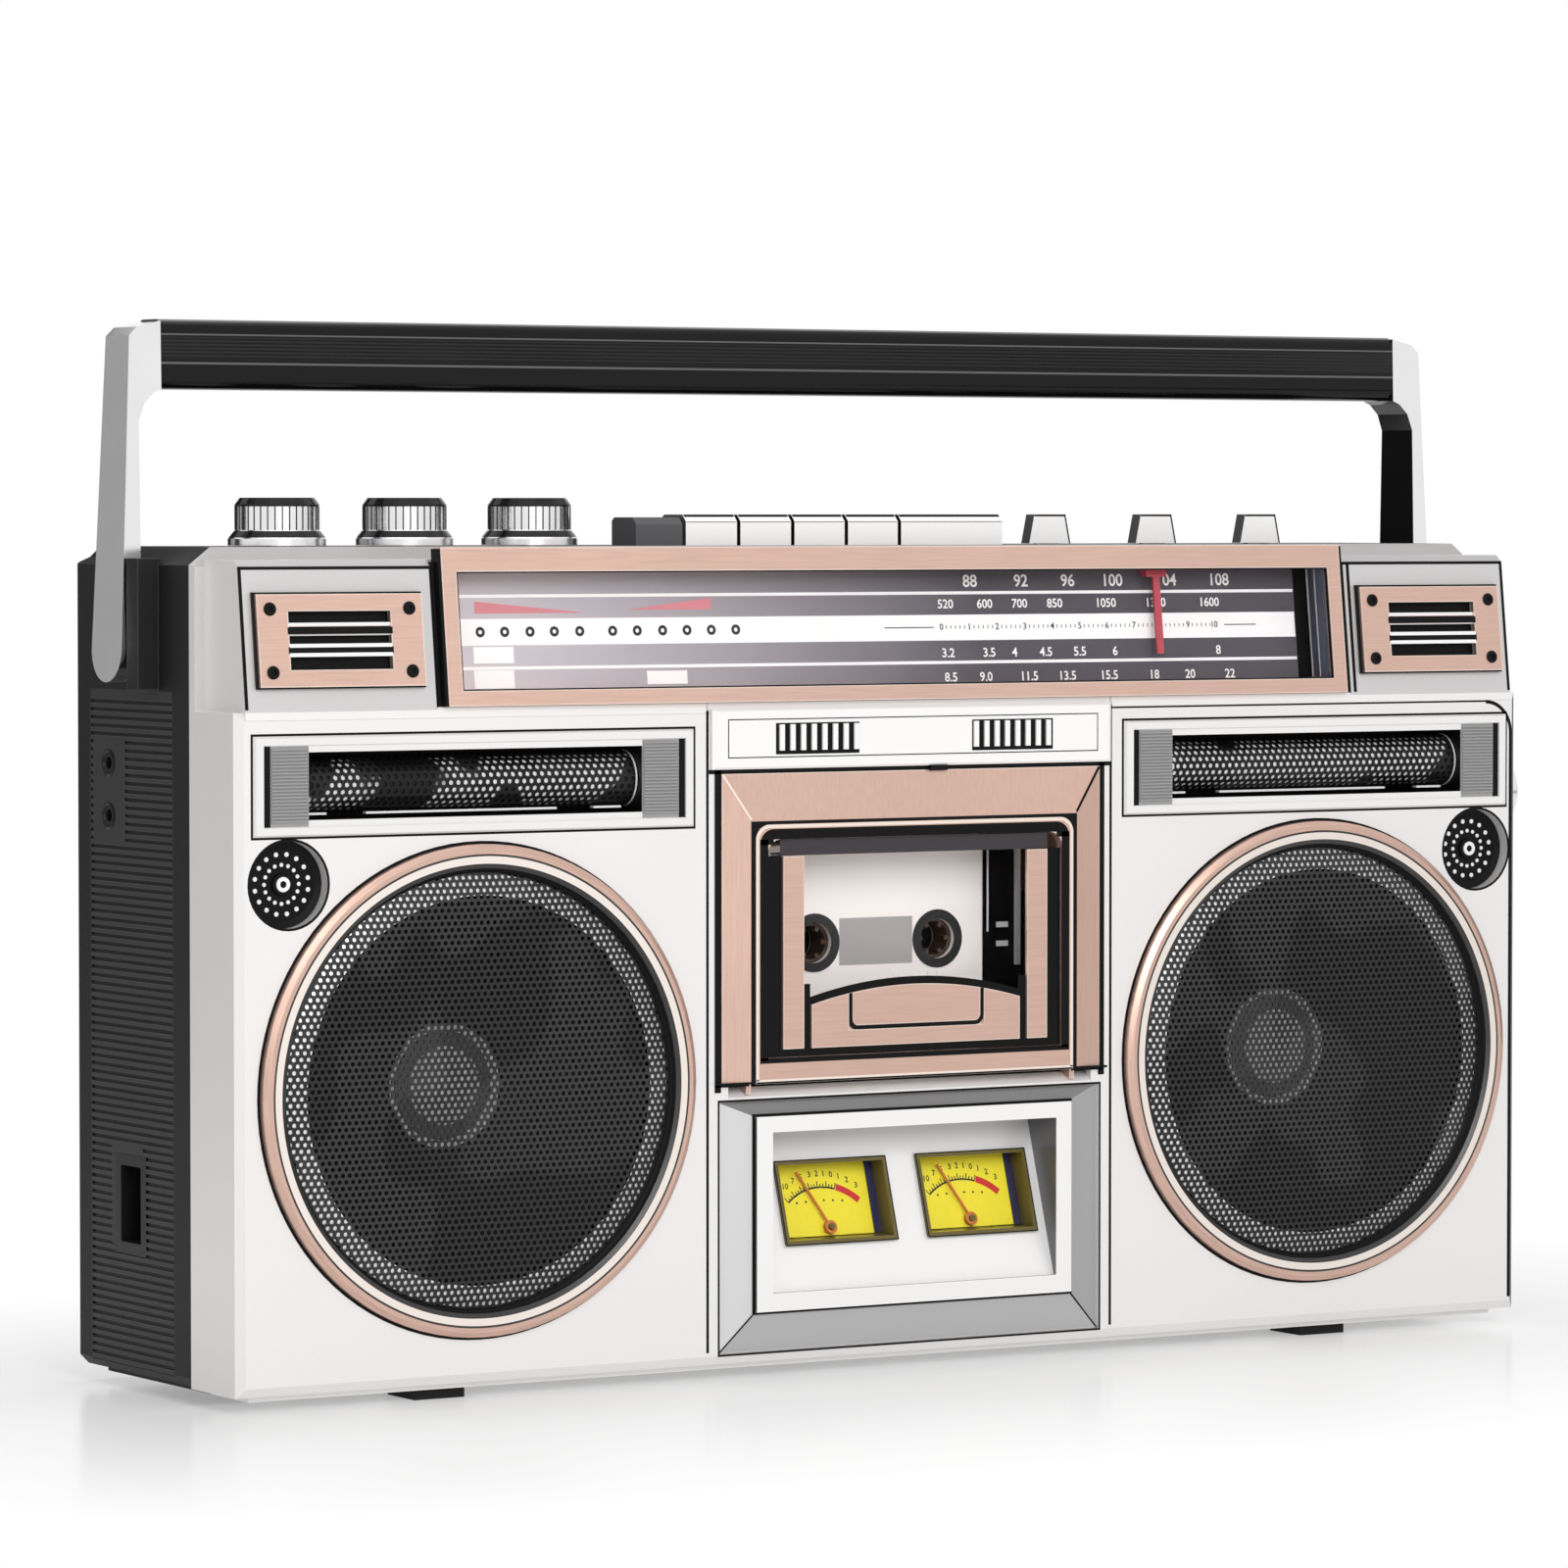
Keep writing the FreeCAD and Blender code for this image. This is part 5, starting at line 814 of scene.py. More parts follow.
# The keys' and switches' darker sides are painted shade, as in the gaps between them.
KEY_SILVER = Paint("key_silver", tint(254, 253, 252), metallic=0.1, roughness=0.3, bump=0.0,
                   sides=tint(30, 30, 31))
LEVER_SILVER = Paint("lever_silver", tint(255, 254, 253), metallic=0.1, roughness=0.3, bump=0.0,
                     sides=tint(96, 95, 96))
RECORD_GREY = Paint("record_grey", tint(86, 86, 89), roughness=0.3, specular=0.3)
GLOSS_BLACK = Paint("gloss_black", tint(16, 16, 17), roughness=0.22, shade=0.22, specular=0.25)
GRIP = GripGloss("grip_gloss", low=0.2926, high=0.2988, pitch=0.00105,
                 lines=((0.2995, 0.00022), (0.2914, 0.0003), (0.3034, 0.0002)))
PANE = Pane("clear_pane")
DIAL = DialPlate("dial_plate")
CONE = Cone("cone_paper")
HORN = HornMoulding("horn_moulding")
POINTER = Paint("pointer_red", tint(176, 66, 78), roughness=0.25)
NEEDLE = Paint("needle_orange", tint(198, 112, 36), roughness=0.35)
PRINT_WHITE = Paint("print_white", tint(240, 238, 236), roughness=0.5, scale=4000.0)
PRINT_BLACK = Paint("print_black", tint(22, 20, 22), roughness=0.5, scale=4000.0)
PRINT_RED = Paint("print_red", tint(200, 36, 34), roughness=0.5, scale=4000.0)
PRINT_PINK = Paint("print_pink", tint(205, 128, 134), roughness=0.5, scale=4000.0)
METER_YELLOW = Paint("meter_yellow", tint(236, 220, 40), roughness=0.5, scale=600.0, shade=0.12)
METER_CASE = Paint("meter_case", tint(96, 84, 34), roughness=0.35)
METER_BLUE = Paint("meter_blue", tint(34, 32, 66), roughness=0.35)
CREAM = Paint("cassette_cream", tint(250, 243, 237), roughness=0.4, scale=1500.0)
LABEL_GREY = Paint("label_grey", tint(168, 162, 160), roughness=0.3)
TAPE = Paint("tape_brown", tint(70, 50, 38), roughness=0.35, shade=0.3)
MASK = Paint("pane_mask", tint(13, 12, 13), roughness=0.3, specular=0.12)
SMOKE = Paint("pane_smoke", tint(60, 56, 59), roughness=0.3, specular=0.2)
BLOCK_GREY = Paint("block_grey", tint(152, 151, 151), metallic=0.2, roughness=0.45)


class Pile:
    """Points and faces gathered into one piece; its methods take millimetres, and depths as in depth_at."""

    def __init__(self) -> None:
        """Start with nothing."""
        self.points: list[Vector] = []
        self.faces: list[tuple[int, ...]] = []

    def add(self, points: Iterable[Vector], faces: Iterable[Sequence[int]]) -> None:
        """Add a set of faces.

        Args:
            points: their points, in metres.
            faces: their corners' numbers.
        """
        start = len(self.points)
        self.points.extend(Vector(p) for p in points)
        self.faces.extend(tuple(start + n for n in face) for face in faces)

    def gather(self, mesh: Mesh) -> None:
        """Add the faces of a mesh that is in place, and drop the mesh."""
        self.add([v.co for v in mesh.vertices], [tuple(f.vertices) for f in mesh.polygons])
        bpy.data.meshes.remove(mesh)

    def frame(self, x: Pair, height: Pair, depth: Depth, width: float, thick: float = SKIN) -> None:
        """Add four thin plates round a rectangle.

        Args:
            x: the rectangle's left and right ends.
            height: its lower and upper edges.
            depth: the plates' depth.
            width: the plates' width.
            thick: their thickness.
        """
        whole = (x[0] - width, x[1] + width)
        self.slab(whole, (height[1], height[1] + width), depth, thick)
        self.slab(whole, (height[0] - width, height[0]), depth, thick)
        self.slab((whole[0], x[0]), height, depth, thick)
        self.slab((x[1], whole[1]), height, depth, thick)

    def stroke(self, start: Place, end: Place, width: float, thick: float = 0.2) -> None:
        """Add a thin bar from one point to another over a slanting face.

        Args:
            start: its first end's x, depth and height.
            end: its second end.
            width: its width.
            thick: its thickness.
        """
        run = Vector((end[0] - start[0], end[2] - start[2])).normalized() * width / 2
        points = [spot(x - turn * run.y, depth + layer * thick / 2, height + turn * run.x)
                  for x, depth, height in (start, end) for layer in (-1, 1) for turn in (-1, 1)]
        self.add(points, [(0, 1, 3, 2), (4, 6, 7, 5), (0, 4, 5, 1), (2, 3, 7, 6), (0, 2, 6, 4), (1, 5, 7, 3)])

    def tube(self, x: Pair, radius: float, depth: float, height: float, sides: int = 24) -> None:
        """Add the front half of a thin tube that lies along X.

        Args:
            x: its left and right ends.
            radius: its radius.
            depth: its middle's depth.
            height: its middle's height.
            sides: the pieces round the half.
        """
        points = []
        for n in range(sides + 1):
            angle = math.pi * (n / sides - 0.5)
            for reach in (radius, radius - 0.15):
                points += [spot(end, depth - reach * math.cos(angle), height + reach * math.sin(angle))
                           for end in x]
        faces = []
        for n in range(sides):
            a, b = 4 * n, 4 * n + 4
            faces += [(a, a + 1, b + 1, b), (a + 3, a + 2, b + 2, b + 3), (a + 2, a, b, b + 2),
                      (a + 1, a + 3, b + 3, b + 1)]
        last = 4 * sides
        self.add(points, faces + [(0, 2, 3, 1), (last, last + 1, last + 3, last + 2)])

    def slab(self, x: Pair, height: Pair, depth: Depth, thick: float = SKIN, skew: Pair = (0.0, 0.0)) -> None:
        """Add a thin plate whose front face is at a depth.

        Args:
            x: its left and right ends.
            height: its lower and upper edges.
            depth: the front face's depth.
            thick: its thickness.
            skew: how far the left and right ends of the top edge are lowered.
        """
        corners = [(x[0], height[0]), (x[1], height[0]), (x[1], height[1] - skew[1]),
                   (x[0], height[1] - skew[0])]
        self.prism(corners, depth, thick)

    def prism(self, corners: Sequence[Pair], depth: Depth, thick: float = SKIN) -> None:
        """Add a plate of any outline.

        Args:
            corners: the outline in x and height, anticlockwise as seen from the front.
            depth: the front face's depth.
            thick: the plate's thickness.
        """
        count = len(corners)
        front = [spot(x, depth_at(depth, h), h) for x, h in corners]
        rear = [spot(x, depth_at(depth, h) + thick, h) for x, h in corners]
        sides = [(n, n + count, (n + 1) % count + count, (n + 1) % count) for n in range(count)]
        self.add(front + rear, [tuple(range(count)), tuple(range(2 * count - 1, count - 1, -1)), *sides])

    def write(self, text: str, x: float, height: float, size: float, depth: Depth,
              thick: float = SKIN) -> None:
        """Add printed figures.

        Args:
            text: the figures.
            x: the middle of the word.
            height: the middle of its figures.
            size: the figures' height.
            depth: the print's depth.
            thick: its thickness.
        """
        curve = bpy.data.curves.new("figures", "FONT")
        curve.body = text
        curve.extrude = 0.5
        curve.offset = 0.014
        curve.resolution_u = 3
        word = link("figures", curve)
        mesh = bpy.data.meshes.new_from_object(word.evaluated_get(bpy.context.evaluated_depsgraph_get()))
        xs = [v.co.x for v in mesh.vertices]
        ys = [v.co.y for v in mesh.vertices]
        ratio = size / (max(ys) - min(ys))
        mid_x, mid_y = (max(xs) + min(xs)) / 2, (max(ys) + min(ys)) / 2
        placed = []
        for vertex in mesh.vertices:
            at = height + (vertex.co.y - mid_y) * ratio
            layer = depth_at(depth, at) + (0.5 - vertex.co.z) * thick
            placed.append(spot(x + (vertex.co.x - mid_x) * ratio, layer, at))
        self.add(placed, [tuple(face.vertices) for face in mesh.polygons])
        bpy.data.objects.remove(word)
        bpy.data.curves.remove(curve)
        bpy.data.meshes.remove(mesh)

    def disc(self, x: float, height: float, radius: float, depth: Depth, thick: float = SKIN,
             sides: int = 20) -> None:
        """Add a round plate about a middle."""
        outline = [(x + radius * math.cos(a), height + radius * math.sin(a)) for a in turns(sides)]
        self.prism(outline, depth, thick)

    def ring(self, x: float, height: float, inner: float, outer: float, depth: Depth, thick: float = SKIN,
             start: float = 0.0, end: float = 360.0, sides: int = 32) -> None:
        """Add a flat ring or a part of one.

        Args:
            x: its middle.
            height: its middle.
            inner: its inner radius.
            outer: its outer radius.
            depth: the front face's depth.
            thick: its thickness.
            start: where it begins, in degrees.
            end: where it ends, in degrees.
            sides: the pieces along it.
        """
        for n in range(sides):
            angles = [math.radians(start + (end - start) * (n + k) / sides) for k in (0, 1)]
            corners = [(x + r * math.cos(a), height + r * math.sin(a))
                       for r, a in ((inner, angles[0]), (outer, angles[0]), (outer, angles[1]),
                                    (inner, angles[1]))]
            self.prism(corners, depth, thick)

    def corner(self, x: float, height: float, radii: Pair, depth: Depth, side: int, upper: bool = True,
               sides: int = 8) -> None:
        """Add a quarter ring, of an inner and an outer radius, at the outer corner of a panel on one side."""
        start = {(1, True): 0, (-1, True): 90, (-1, False): 180, (1, False): 270}[side, upper]
        self.ring(side * x, height, *radii, depth, start=start, end=start + 90, sides=sides)

    def hoop(self, x: float, depth: float, section: Sequence[Pair], sides: int = 48) -> None:
        """Add a closed ring about an upright line.

        Args:
            x: the line's place.
            depth: the line's depth.
            section: radius and height of each corner, anticlockwise.
            sides: the pieces round it.
        """
        count = len(section)
        points = [spot(x + radius * math.cos(turn), depth + radius * math.sin(turn), height)
                  for turn in turns(sides) for radius, height in section]
        faces = []
        for n in range(sides):
            here, there = n * count, (n + 1) % sides * count
            faces += [(here + k, there + k, there + (k + 1) % count, here + (k + 1) % count)
                      for k in range(count)]
        self.add(points, faces)

    def finish(self, name: str, finish: Finish, body: str, slot: str) -> bpy.types.Object:
        """Make the piece of what is gathered, dress it and let it ride."""
        return settle(mesh_of(name, self.points, self.faces), name, finish, body)


def turns(sides: int) -> list[float]:
    """Angles of the corners of a round outline."""
    return [2 * math.pi * n / sides for n in range(sides)]


def bands(rings: int, sides: int) -> list[tuple[int, ...]]:
    """Faces between rings of points that have as many sides each."""
    return [(ring * sides + n, ring * sides + (n + 1) % sides, (ring + 1) * sides + (n + 1) % sides,
             (ring + 1) * sides + n) for ring in range(rings - 1) for n in range(sides)]


def mesh_of(name: str, points: Sequence[Sequence[float]], faces: Sequence[Sequence[int]]) -> Mesh:
    """Make a mesh.

    Args:
        name: its name.
        points: its points in metres.
        faces: their corners' numbers.

    Returns:
        The mesh.
    """
    mesh = bpy.data.meshes.new(name)
    mesh.from_pydata(points, [], faces)
    mesh.update()
    return mesh


def link(name: str, data: Optional[bpy.types.ID]) -> bpy.types.Object:
    """Put an object of some data in the scene."""
    made = bpy.data.objects.new(name, data)
    bpy.context.scene.collection.objects.link(made)
    return made


def settle(mesh: Mesh, name: str, finish: Finish, body: str) -> bpy.types.Object:
    """Make an object of a mesh, dress it, let it ride and report it.

    Args:
        mesh: its mesh, already in place.
        name: the piece's name.
        finish: its finish.
        body: the body that it rides on.

    Returns:
        The object.
    """
    mesh.materials.clear()
    mesh.materials.append(finish.material())
    made = link(name, mesh)
    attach(made, body)
    log.info("%s rides on %s", name, body)
    return made


class Repeat:
    """Geometry node trees for things that repeat along a row, round a ring or over a sheet."""

    @staticmethod
    def start(name: str, inputs: dict[str, object]) -> Group:
        """Open a tree whose last inputs are the piece that repeats and its material."""
        return Group(name, "Geometry", {**inputs, "Pattern": "Object", "Material": "Material"}, ("Geometry",))

    @staticmethod
    def close(group: Group, geometry: Socket) -> Tree:
        """End a tree in its material."""
        dressed = group.add("GeometryNodeSetMaterial", {
            "Geometry": geometry, "Material": group.given["Material"]})
        return group.end(Geometry=dressed.outputs[0])

    @staticmethod
    def stamp(group: Group, points: Socket, rotation: Input = (0.0, 0.0, 0.0)) -> Socket:
        """Put the piece on points and realize it.

        Args:
            group: the tree.
            points: where the pieces go.
            rotation: how each is turned.

        Returns:
            The realized geometry.
        """
        pattern = group.add("GeometryNodeObjectInfo", {"Object": group.given["Pattern"]})
        placed = group.add("GeometryNodeInstanceOnPoints", {
            "Points": points, "Instance": pattern.outputs["Geometry"], "Rotation": rotation})
        return group.add("GeometryNodeRealizeInstances", {"Geometry": placed.outputs[0]}).outputs[0]

    @classmethod
    @cache
    def row(cls) -> Tree:
        """Pieces along a straight line: Count, Start and Step."""
        group = cls.start("row", {"Count": 8, "Start": (0.0, 0.0, 0.0), "Step": (0.001, 0.0, 0.0)})
        given = group.given
        line = group.add("GeometryNodeMeshLine", mode="OFFSET", count_mode="TOTAL", feeds={
            "Count": given["Count"], "Start Location": given["Start"], "Offset": given["Step"]})
        return cls.close(group, cls.stamp(group, line.outputs[0]))

    @classmethod
    @cache
    def ring(cls) -> Tree:
        """Pieces round a circle about the Y axis: Count, Radius and Turn."""
        group = cls.start("ring", {"Count": 16, "Radius": 0.005, "Turn": 0.0})
        given = group.given
        line = group.add("GeometryNodeMeshLine", {"Count": given["Count"]}, mode="OFFSET", count_mode="TOTAL")
        share = group.math("DIVIDE", group.add("GeometryNodeInputIndex").outputs[0], given["Count"])
        angle = group.math("MULTIPLY_ADD", share, 2 * math.pi, given["Turn"])
        across = group.times(group.math("COSINE", angle), given["Radius"])
        high = group.times(group.math("SINE", angle), given["Radius"])
        moved = group.add("GeometryNodeSetPosition", {
            "Geometry": line.outputs[0], "Position": group.join(across, 0.0, high)})
        turned = group.join(0.0, group.times(angle, -1.0), 0.0)
        return cls.close(group, cls.stamp(group, moved.outputs[0], turned))

    @staticmethod
    def grids(group: Group) -> Socket:
        """Two grids of points, set off by half a cell, that make a honeycomb.

        Args:
            group: the tree, with Columns, Rows and Pitch.

        Returns:
            The points.
        """
        given = group.given
        pitch = given["Pitch"]
        rise = group.times(pitch, math.sqrt(3.0))
        wide = group.times(pitch, group.math("SUBTRACT", given["Columns"], 1.0))
        tall = group.times(rise, group.math("SUBTRACT", given["Rows"], 1.0))
        both = group.add("GeometryNodeJoinGeometry")
        for shift in (0.0, 0.5):
            grid = group.add("GeometryNodeMeshGrid", {
                "Vertices X": given["Columns"], "Vertices Y": given["Rows"], "Size X": wide, "Size Y": tall})
            across, along = (group.times(step, shift) for step in (pitch, rise))
            offset = group.join(across, along, 0.0)
            moved = group.add("GeometryNodeSetPosition", {"Geometry": grid.outputs["Mesh"], "Offset": offset})
            group.feed(both.inputs[0], moved.outputs[0])
        return both.outputs[0]

    @classmethod
    @cache
    def sheet(cls) -> Tree:
        """Honeycomb sheet, cut round, drooping at its rim or rolled to a half tube.

        Its inputs are Columns, Rows, Pitch, Reach (the round cut), Flat and Droop (the rim) and Roll (the
        tube's radius, or 0).

        Returns:
            The tree.
        """
        group = cls.start("honeycomb", {"Columns": 20, "Rows": 20, "Pitch": 0.002, "Reach": 1.0, "Flat": 1.0,
                                        "Droop": 0.0, "Roll": 0.0})
        given = group.given
        here = group.add("GeometryNodeInputPosition").outputs[0]
        far = group.above(group.vector("LENGTH", here, output=1), given["Reach"])
        kept = group.add("GeometryNodeDeleteGeometry", {"Geometry": cls.grids(group), "Selection": far},
                         domain="POINT")
        real = cls.stamp(group, kept.outputs[0])
        x, y, z = group.split(here)
        out = group.vector("LENGTH", group.join(x, y, 0.0), output=1)
        rim = group.math("MAXIMUM", group.math("SUBTRACT", out, given["Flat"]), 0.0)
        width = group.math("SUBTRACT", given["Reach"], given["Flat"])
        share = group.math("POWER", group.math("DIVIDE", rim, width), 2.0)
        fall = group.times(share, given["Droop"])
        flat = group.join(x, group.math("ADD", group.times(z, -1.0), fall), y)
        radius = group.math("ADD", given["Roll"], z)
        angle = group.math("DIVIDE", y, group.math("MAXIMUM", given["Roll"], 0.0001))
        inward = group.times(group.math("COSINE", angle), group.times(radius, -1.0))
        rolled = group.join(x, inward, group.times(group.math("SINE", angle), radius))
        choice = group.add("GeometryNodeSwitch", input_type="VECTOR", feeds={
            "Switch": group.above(given["Roll"], 0.0), "False": flat, "True": rolled})
        shaped = group.add("GeometryNodeSetPosition", {"Geometry": real, "Position": choice.outputs[0]})
        return cls.close(group, shaped.outputs[0])

    @staticmethod
    def grow(tree: Tree, pattern: Mesh, finish: Finish, centre: Vector, turn: Optional[Matrix] = None,
             **values: object) -> Mesh:
        """Run a tree and keep its result as a plain mesh.

        Args:
            tree: the tree.
            pattern: the piece that repeats, at the origin.
            finish: its finish.
            centre: where the result goes, in metres.
            turn: how the result is turned first.
            **values: the tree's inputs.

        Returns:
            The mesh, in place.
        """
        stamp, host = link("pattern", pattern), link("host", bpy.data.meshes.new("host"))
        live = host.modifiers.new("grow", "NODES")
        live.node_group = tree
        given = {"Pattern": stamp, "Material": finish.material(), **values}
        for socket in tree.interface.items_tree:
            if socket.in_out == "INPUT" and socket.name in given:
                live[socket.identifier] = given[socket.name]
        held = host.evaluated_get(bpy.context.evaluated_depsgraph_get())
        mesh = bpy.data.meshes.new_from_object(held)
        host.modifiers.remove(live)
        bpy.data.objects.remove(host)
        bpy.data.objects.remove(stamp)
        mesh.transform(Matrix.Translation(centre) @ (turn or Matrix.Identity(4)))
        return mesh


def hole_tile(pitch: float, hole: float, thick: float) -> Mesh:
    """One cell of perforated sheet: a hexagon with a hole, lying flat.

    Args:
        pitch: distance between holes, in metres.
        hole: the hole's radius.
        thick: the sheet's thickness.

    Returns:
        The cell's mesh.
    """
    outer = pitch / math.sqrt(3.0)
    turn = [math.radians(60 * n + 30) for n in range(6)]
    rings = [(outer, thick / 2), (hole, thick / 2), (hole, -thick / 2), (outer, -thick / 2)]
    points = [(r * math.cos(a), r * math.sin(a), z) for r, z in rings for a in turn]
    return mesh_of("cell", points, bands(len(rings), len(turn)))


def block_mesh(width: float, depth: float, height: float, chamfer: float = 0.0) -> Mesh:
    """A small block about the origin with its front edges chamfered.

    Args:
        width: its size along X, in mm.
        depth: its size along Y, in mm.
        height: its size along Z, in mm.
        chamfer: how far the front face stands in, in mm.

    Returns:
        The block's mesh.
    """
    x, y, z, edge = width / 2000, depth / 2000, height / 2000, chamfer / 1000
    layers = ((edge, -y), (0.0, edge - y), (0.0, y))
    points = [(way * (x - inset), level, up * (z - inset)) for inset, level in layers
              for way, up in ((-1, -1), (1, -1), (1, 1), (-1, 1))]
    sides = [(a, d, c, b) for a, b, c, d in bands(3, 4)]
    return mesh_of("block", points, [(0, 1, 2, 3), (11, 10, 9, 8), *sides])


def stud_mesh(radius: float, proud: float, sides: int = 12, cross: bool = False) -> Mesh:
    """A round stud that faces the front, domed, or with a recess as a screw has.

    Args:
        radius: its radius, in mm.
        proud: how far it stands out, in mm.
        sides: the sides of its outline.
        cross: whether it has a screw's recess.

    Returns:
        The stud's mesh.
    """
    rings = [(radius, 0.0), (radius, -proud * 0.5), (radius * 0.8, -proud)]
    if cross:
        rings += [(radius * 0.4, -proud), (radius * 0.3, -proud * 0.3)]
    points = [(r * math.cos(a) / 1000, y / 1000, r * math.sin(a) / 1000)
              for r, y in rings for a in turns(sides)]
    last = (len(rings) - 1) * sides
    ends = [tuple(last + n for n in range(sides)), tuple(range(sides - 1, -1, -1))]
    return mesh_of("stud", points, bands(len(rings), sides) + ends)


def turned_mesh(name: str, profile: Sequence[Pair], sides: int, centre: Place) -> Mesh:
    """A turned piece that faces the front, of the radius and depth of each ring from its rim, in mm."""
    points = [spot(centre[0] + r * math.cos(a), centre[1] + d, centre[2] + r * math.sin(a))
              for r, d in profile for a in turns(sides)]
    return mesh_of(name, points, bands(len(profile), sides))


class Assembly:
    """A sub-assembly: it dresses its solids, and then builds its own pieces."""

    def make(self) -> None:
        """Call its dress and build methods in the order in which they stand."""
        for name in vars(type(self)):
            if name.startswith(("dress", "build")):
                getattr(self, name)()


@dataclass
class Seams(Assembly):
    """Painted shadow lines: dark plates along the gaps round the parts that are let into the cabinet's front,
    where shade falls.

    A rectangle gives its near and far ends from the middle, then its lower and upper edges.
    """

    width: float = 0.6
    thick: float = 0.3
    horn: Rect = ((74.0, 215.0), (152.2, 180.2))
    woofer: Pair = (69.2, 70.2)
    microphone: Pair = (12.1, 12.8)
    groove: Rect = ((68.98, 69.82), (1.0, 185.2))
    door_side: Rect = ((65.05, 67.0), (75.6, 168.2))
    door_foot: Rect = ((55.6, 67.0), (77.1, 77.75))
    door_top: Rect = ((-68.9, 68.9), (167.05, 168.25))
    plate: Rect = ((161.2, 213.0), (193.6, 219.3))
    block_inner: Rect = ((156.6, 157.1), (187.4, 226.6))
    block_outer: Rect = ((216.0, 217.0), (187.4, 226.6))
    block_right: Rect = ((158.2, 159.3), (187.6, 226.4))
    block_top: Rect = ((156.6, 217.0), (226.0, 226.9))
    block_step: Rect = ((155.8, 156.5), (187.7, 228.0))
    block_wall: Rect = ((154.35, 155.2), (187.7, 231.6))
    edge: Rect = ((216.4, 217.5), (1.0, 174.5))
    edge_bend: Pair = (207.5, 174.5)
    edge_radii: Pair = (8.9, 10.0)
    bevel: Rect = ((67.3, 207.5), (183.9, 184.4))
    meters: Rect = ((-65.4, 65.4), (0.3, 72.8))
    meter_face: Rect = ((-54.2, 54.2), (12.0, 68.3))
    fold: Rect = ((-216.5, 216.5), (186.4, 187.1))
    sill: Pair = (-65.3, 65.3)
    sill_levels: tuple[float, ...] = (72.9, 73.95, 76.6, 77.1)
    sill_depth: float = 0.15
    sill_slope: float = 1.6

    def build(self) -> None:
        """Painted shadow lines on the upright face, on the leaning one and at its foot."""
        pile = Pile()
        near = leaning(0.3 - SKIN)
        for side in (-1, 1):
            pile.frame(*beside(side, self.horn), -SKIN, self.width)
            pile.ring(side * WOOFER_X, WOOFER_HEIGHT, *self.woofer, -SKIN, sides=96)
            pile.ring(side * MICROPHONE_X, MICROPHONE_HEIGHT, *self.microphone, -SKIN, sides=40)
            pile.slab(*beside(side, self.groove), -SKIN, self.thick)
            pile.frame(*beside(side, self.plate), leaning(-1.0), 0.5, 1.2)
            for rect, depth, thick in ((self.door_side, -self.thick, self.thick),
                                       (self.door_foot, -self.thick, self.thick),
                                       (self.block_inner, near, 0.2), (self.block_outer, near, 0.2),
                                       (self.block_top, near, 0.2), (self.block_step, leaning(0.1), 2.2),
                                       (self.block_wall, leaning(-1.8), 3.8)):
                pile.slab(*beside(side, rect), depth, thick)
            pile.stroke((side * 54.9, -0.95, 11.2), (side * 65.2, 0.95, 0.5), 0.4)
        # Painted shade: the edge, the bevel line, the bend and block_right stand on the right side only.
        for rect, depth in ((self.edge, -SKIN), (self.bevel, -SKIN), (self.door_top, -self.thick),
                            (self.fold, 2.0)):
            pile.slab(*rect, depth, self.thick)
        pile.slab(*self.block_right, near, 0.2)
        pile.ring(*self.edge_bend, *self.edge_radii, -SKIN, end=90.0, sides=16)
        pile.frame(*self.meters, -SKIN, self.width)
        pile.frame(*self.meter_face, -1.3, 0.75, 1.0)
        pile.finish("front_seams", DEEP_BLACK, "cabinet", "black_moulding")

    def slope(self, height: float) -> float:
        """Depth of the sill under the door, which slopes back above its fold, in mm."""
        return self.sill_depth + self.sill_slope * max(height - self.sill_levels[1], 0.0)

    def build_sill(self) -> None:
        """Silver sill under the door, and the painted shadow line along its head."""
        sill, shadow = Pile(), Pile()
        foot, fold, head, top = self.sill_levels
        for levels in ((foot, fold), (fold, head)):
            sill.slab(self.sill, levels, self.slope, 0.4)
        shadow.slab(self.sill, (head, top), self.slope, 0.4)
        sill.finish("door_sill", PANEL_SILVER, "cabinet", "silver_paint")
        shadow.finish("sill_shadow", DEEP_BLACK, "cabinet", "black_moulding")


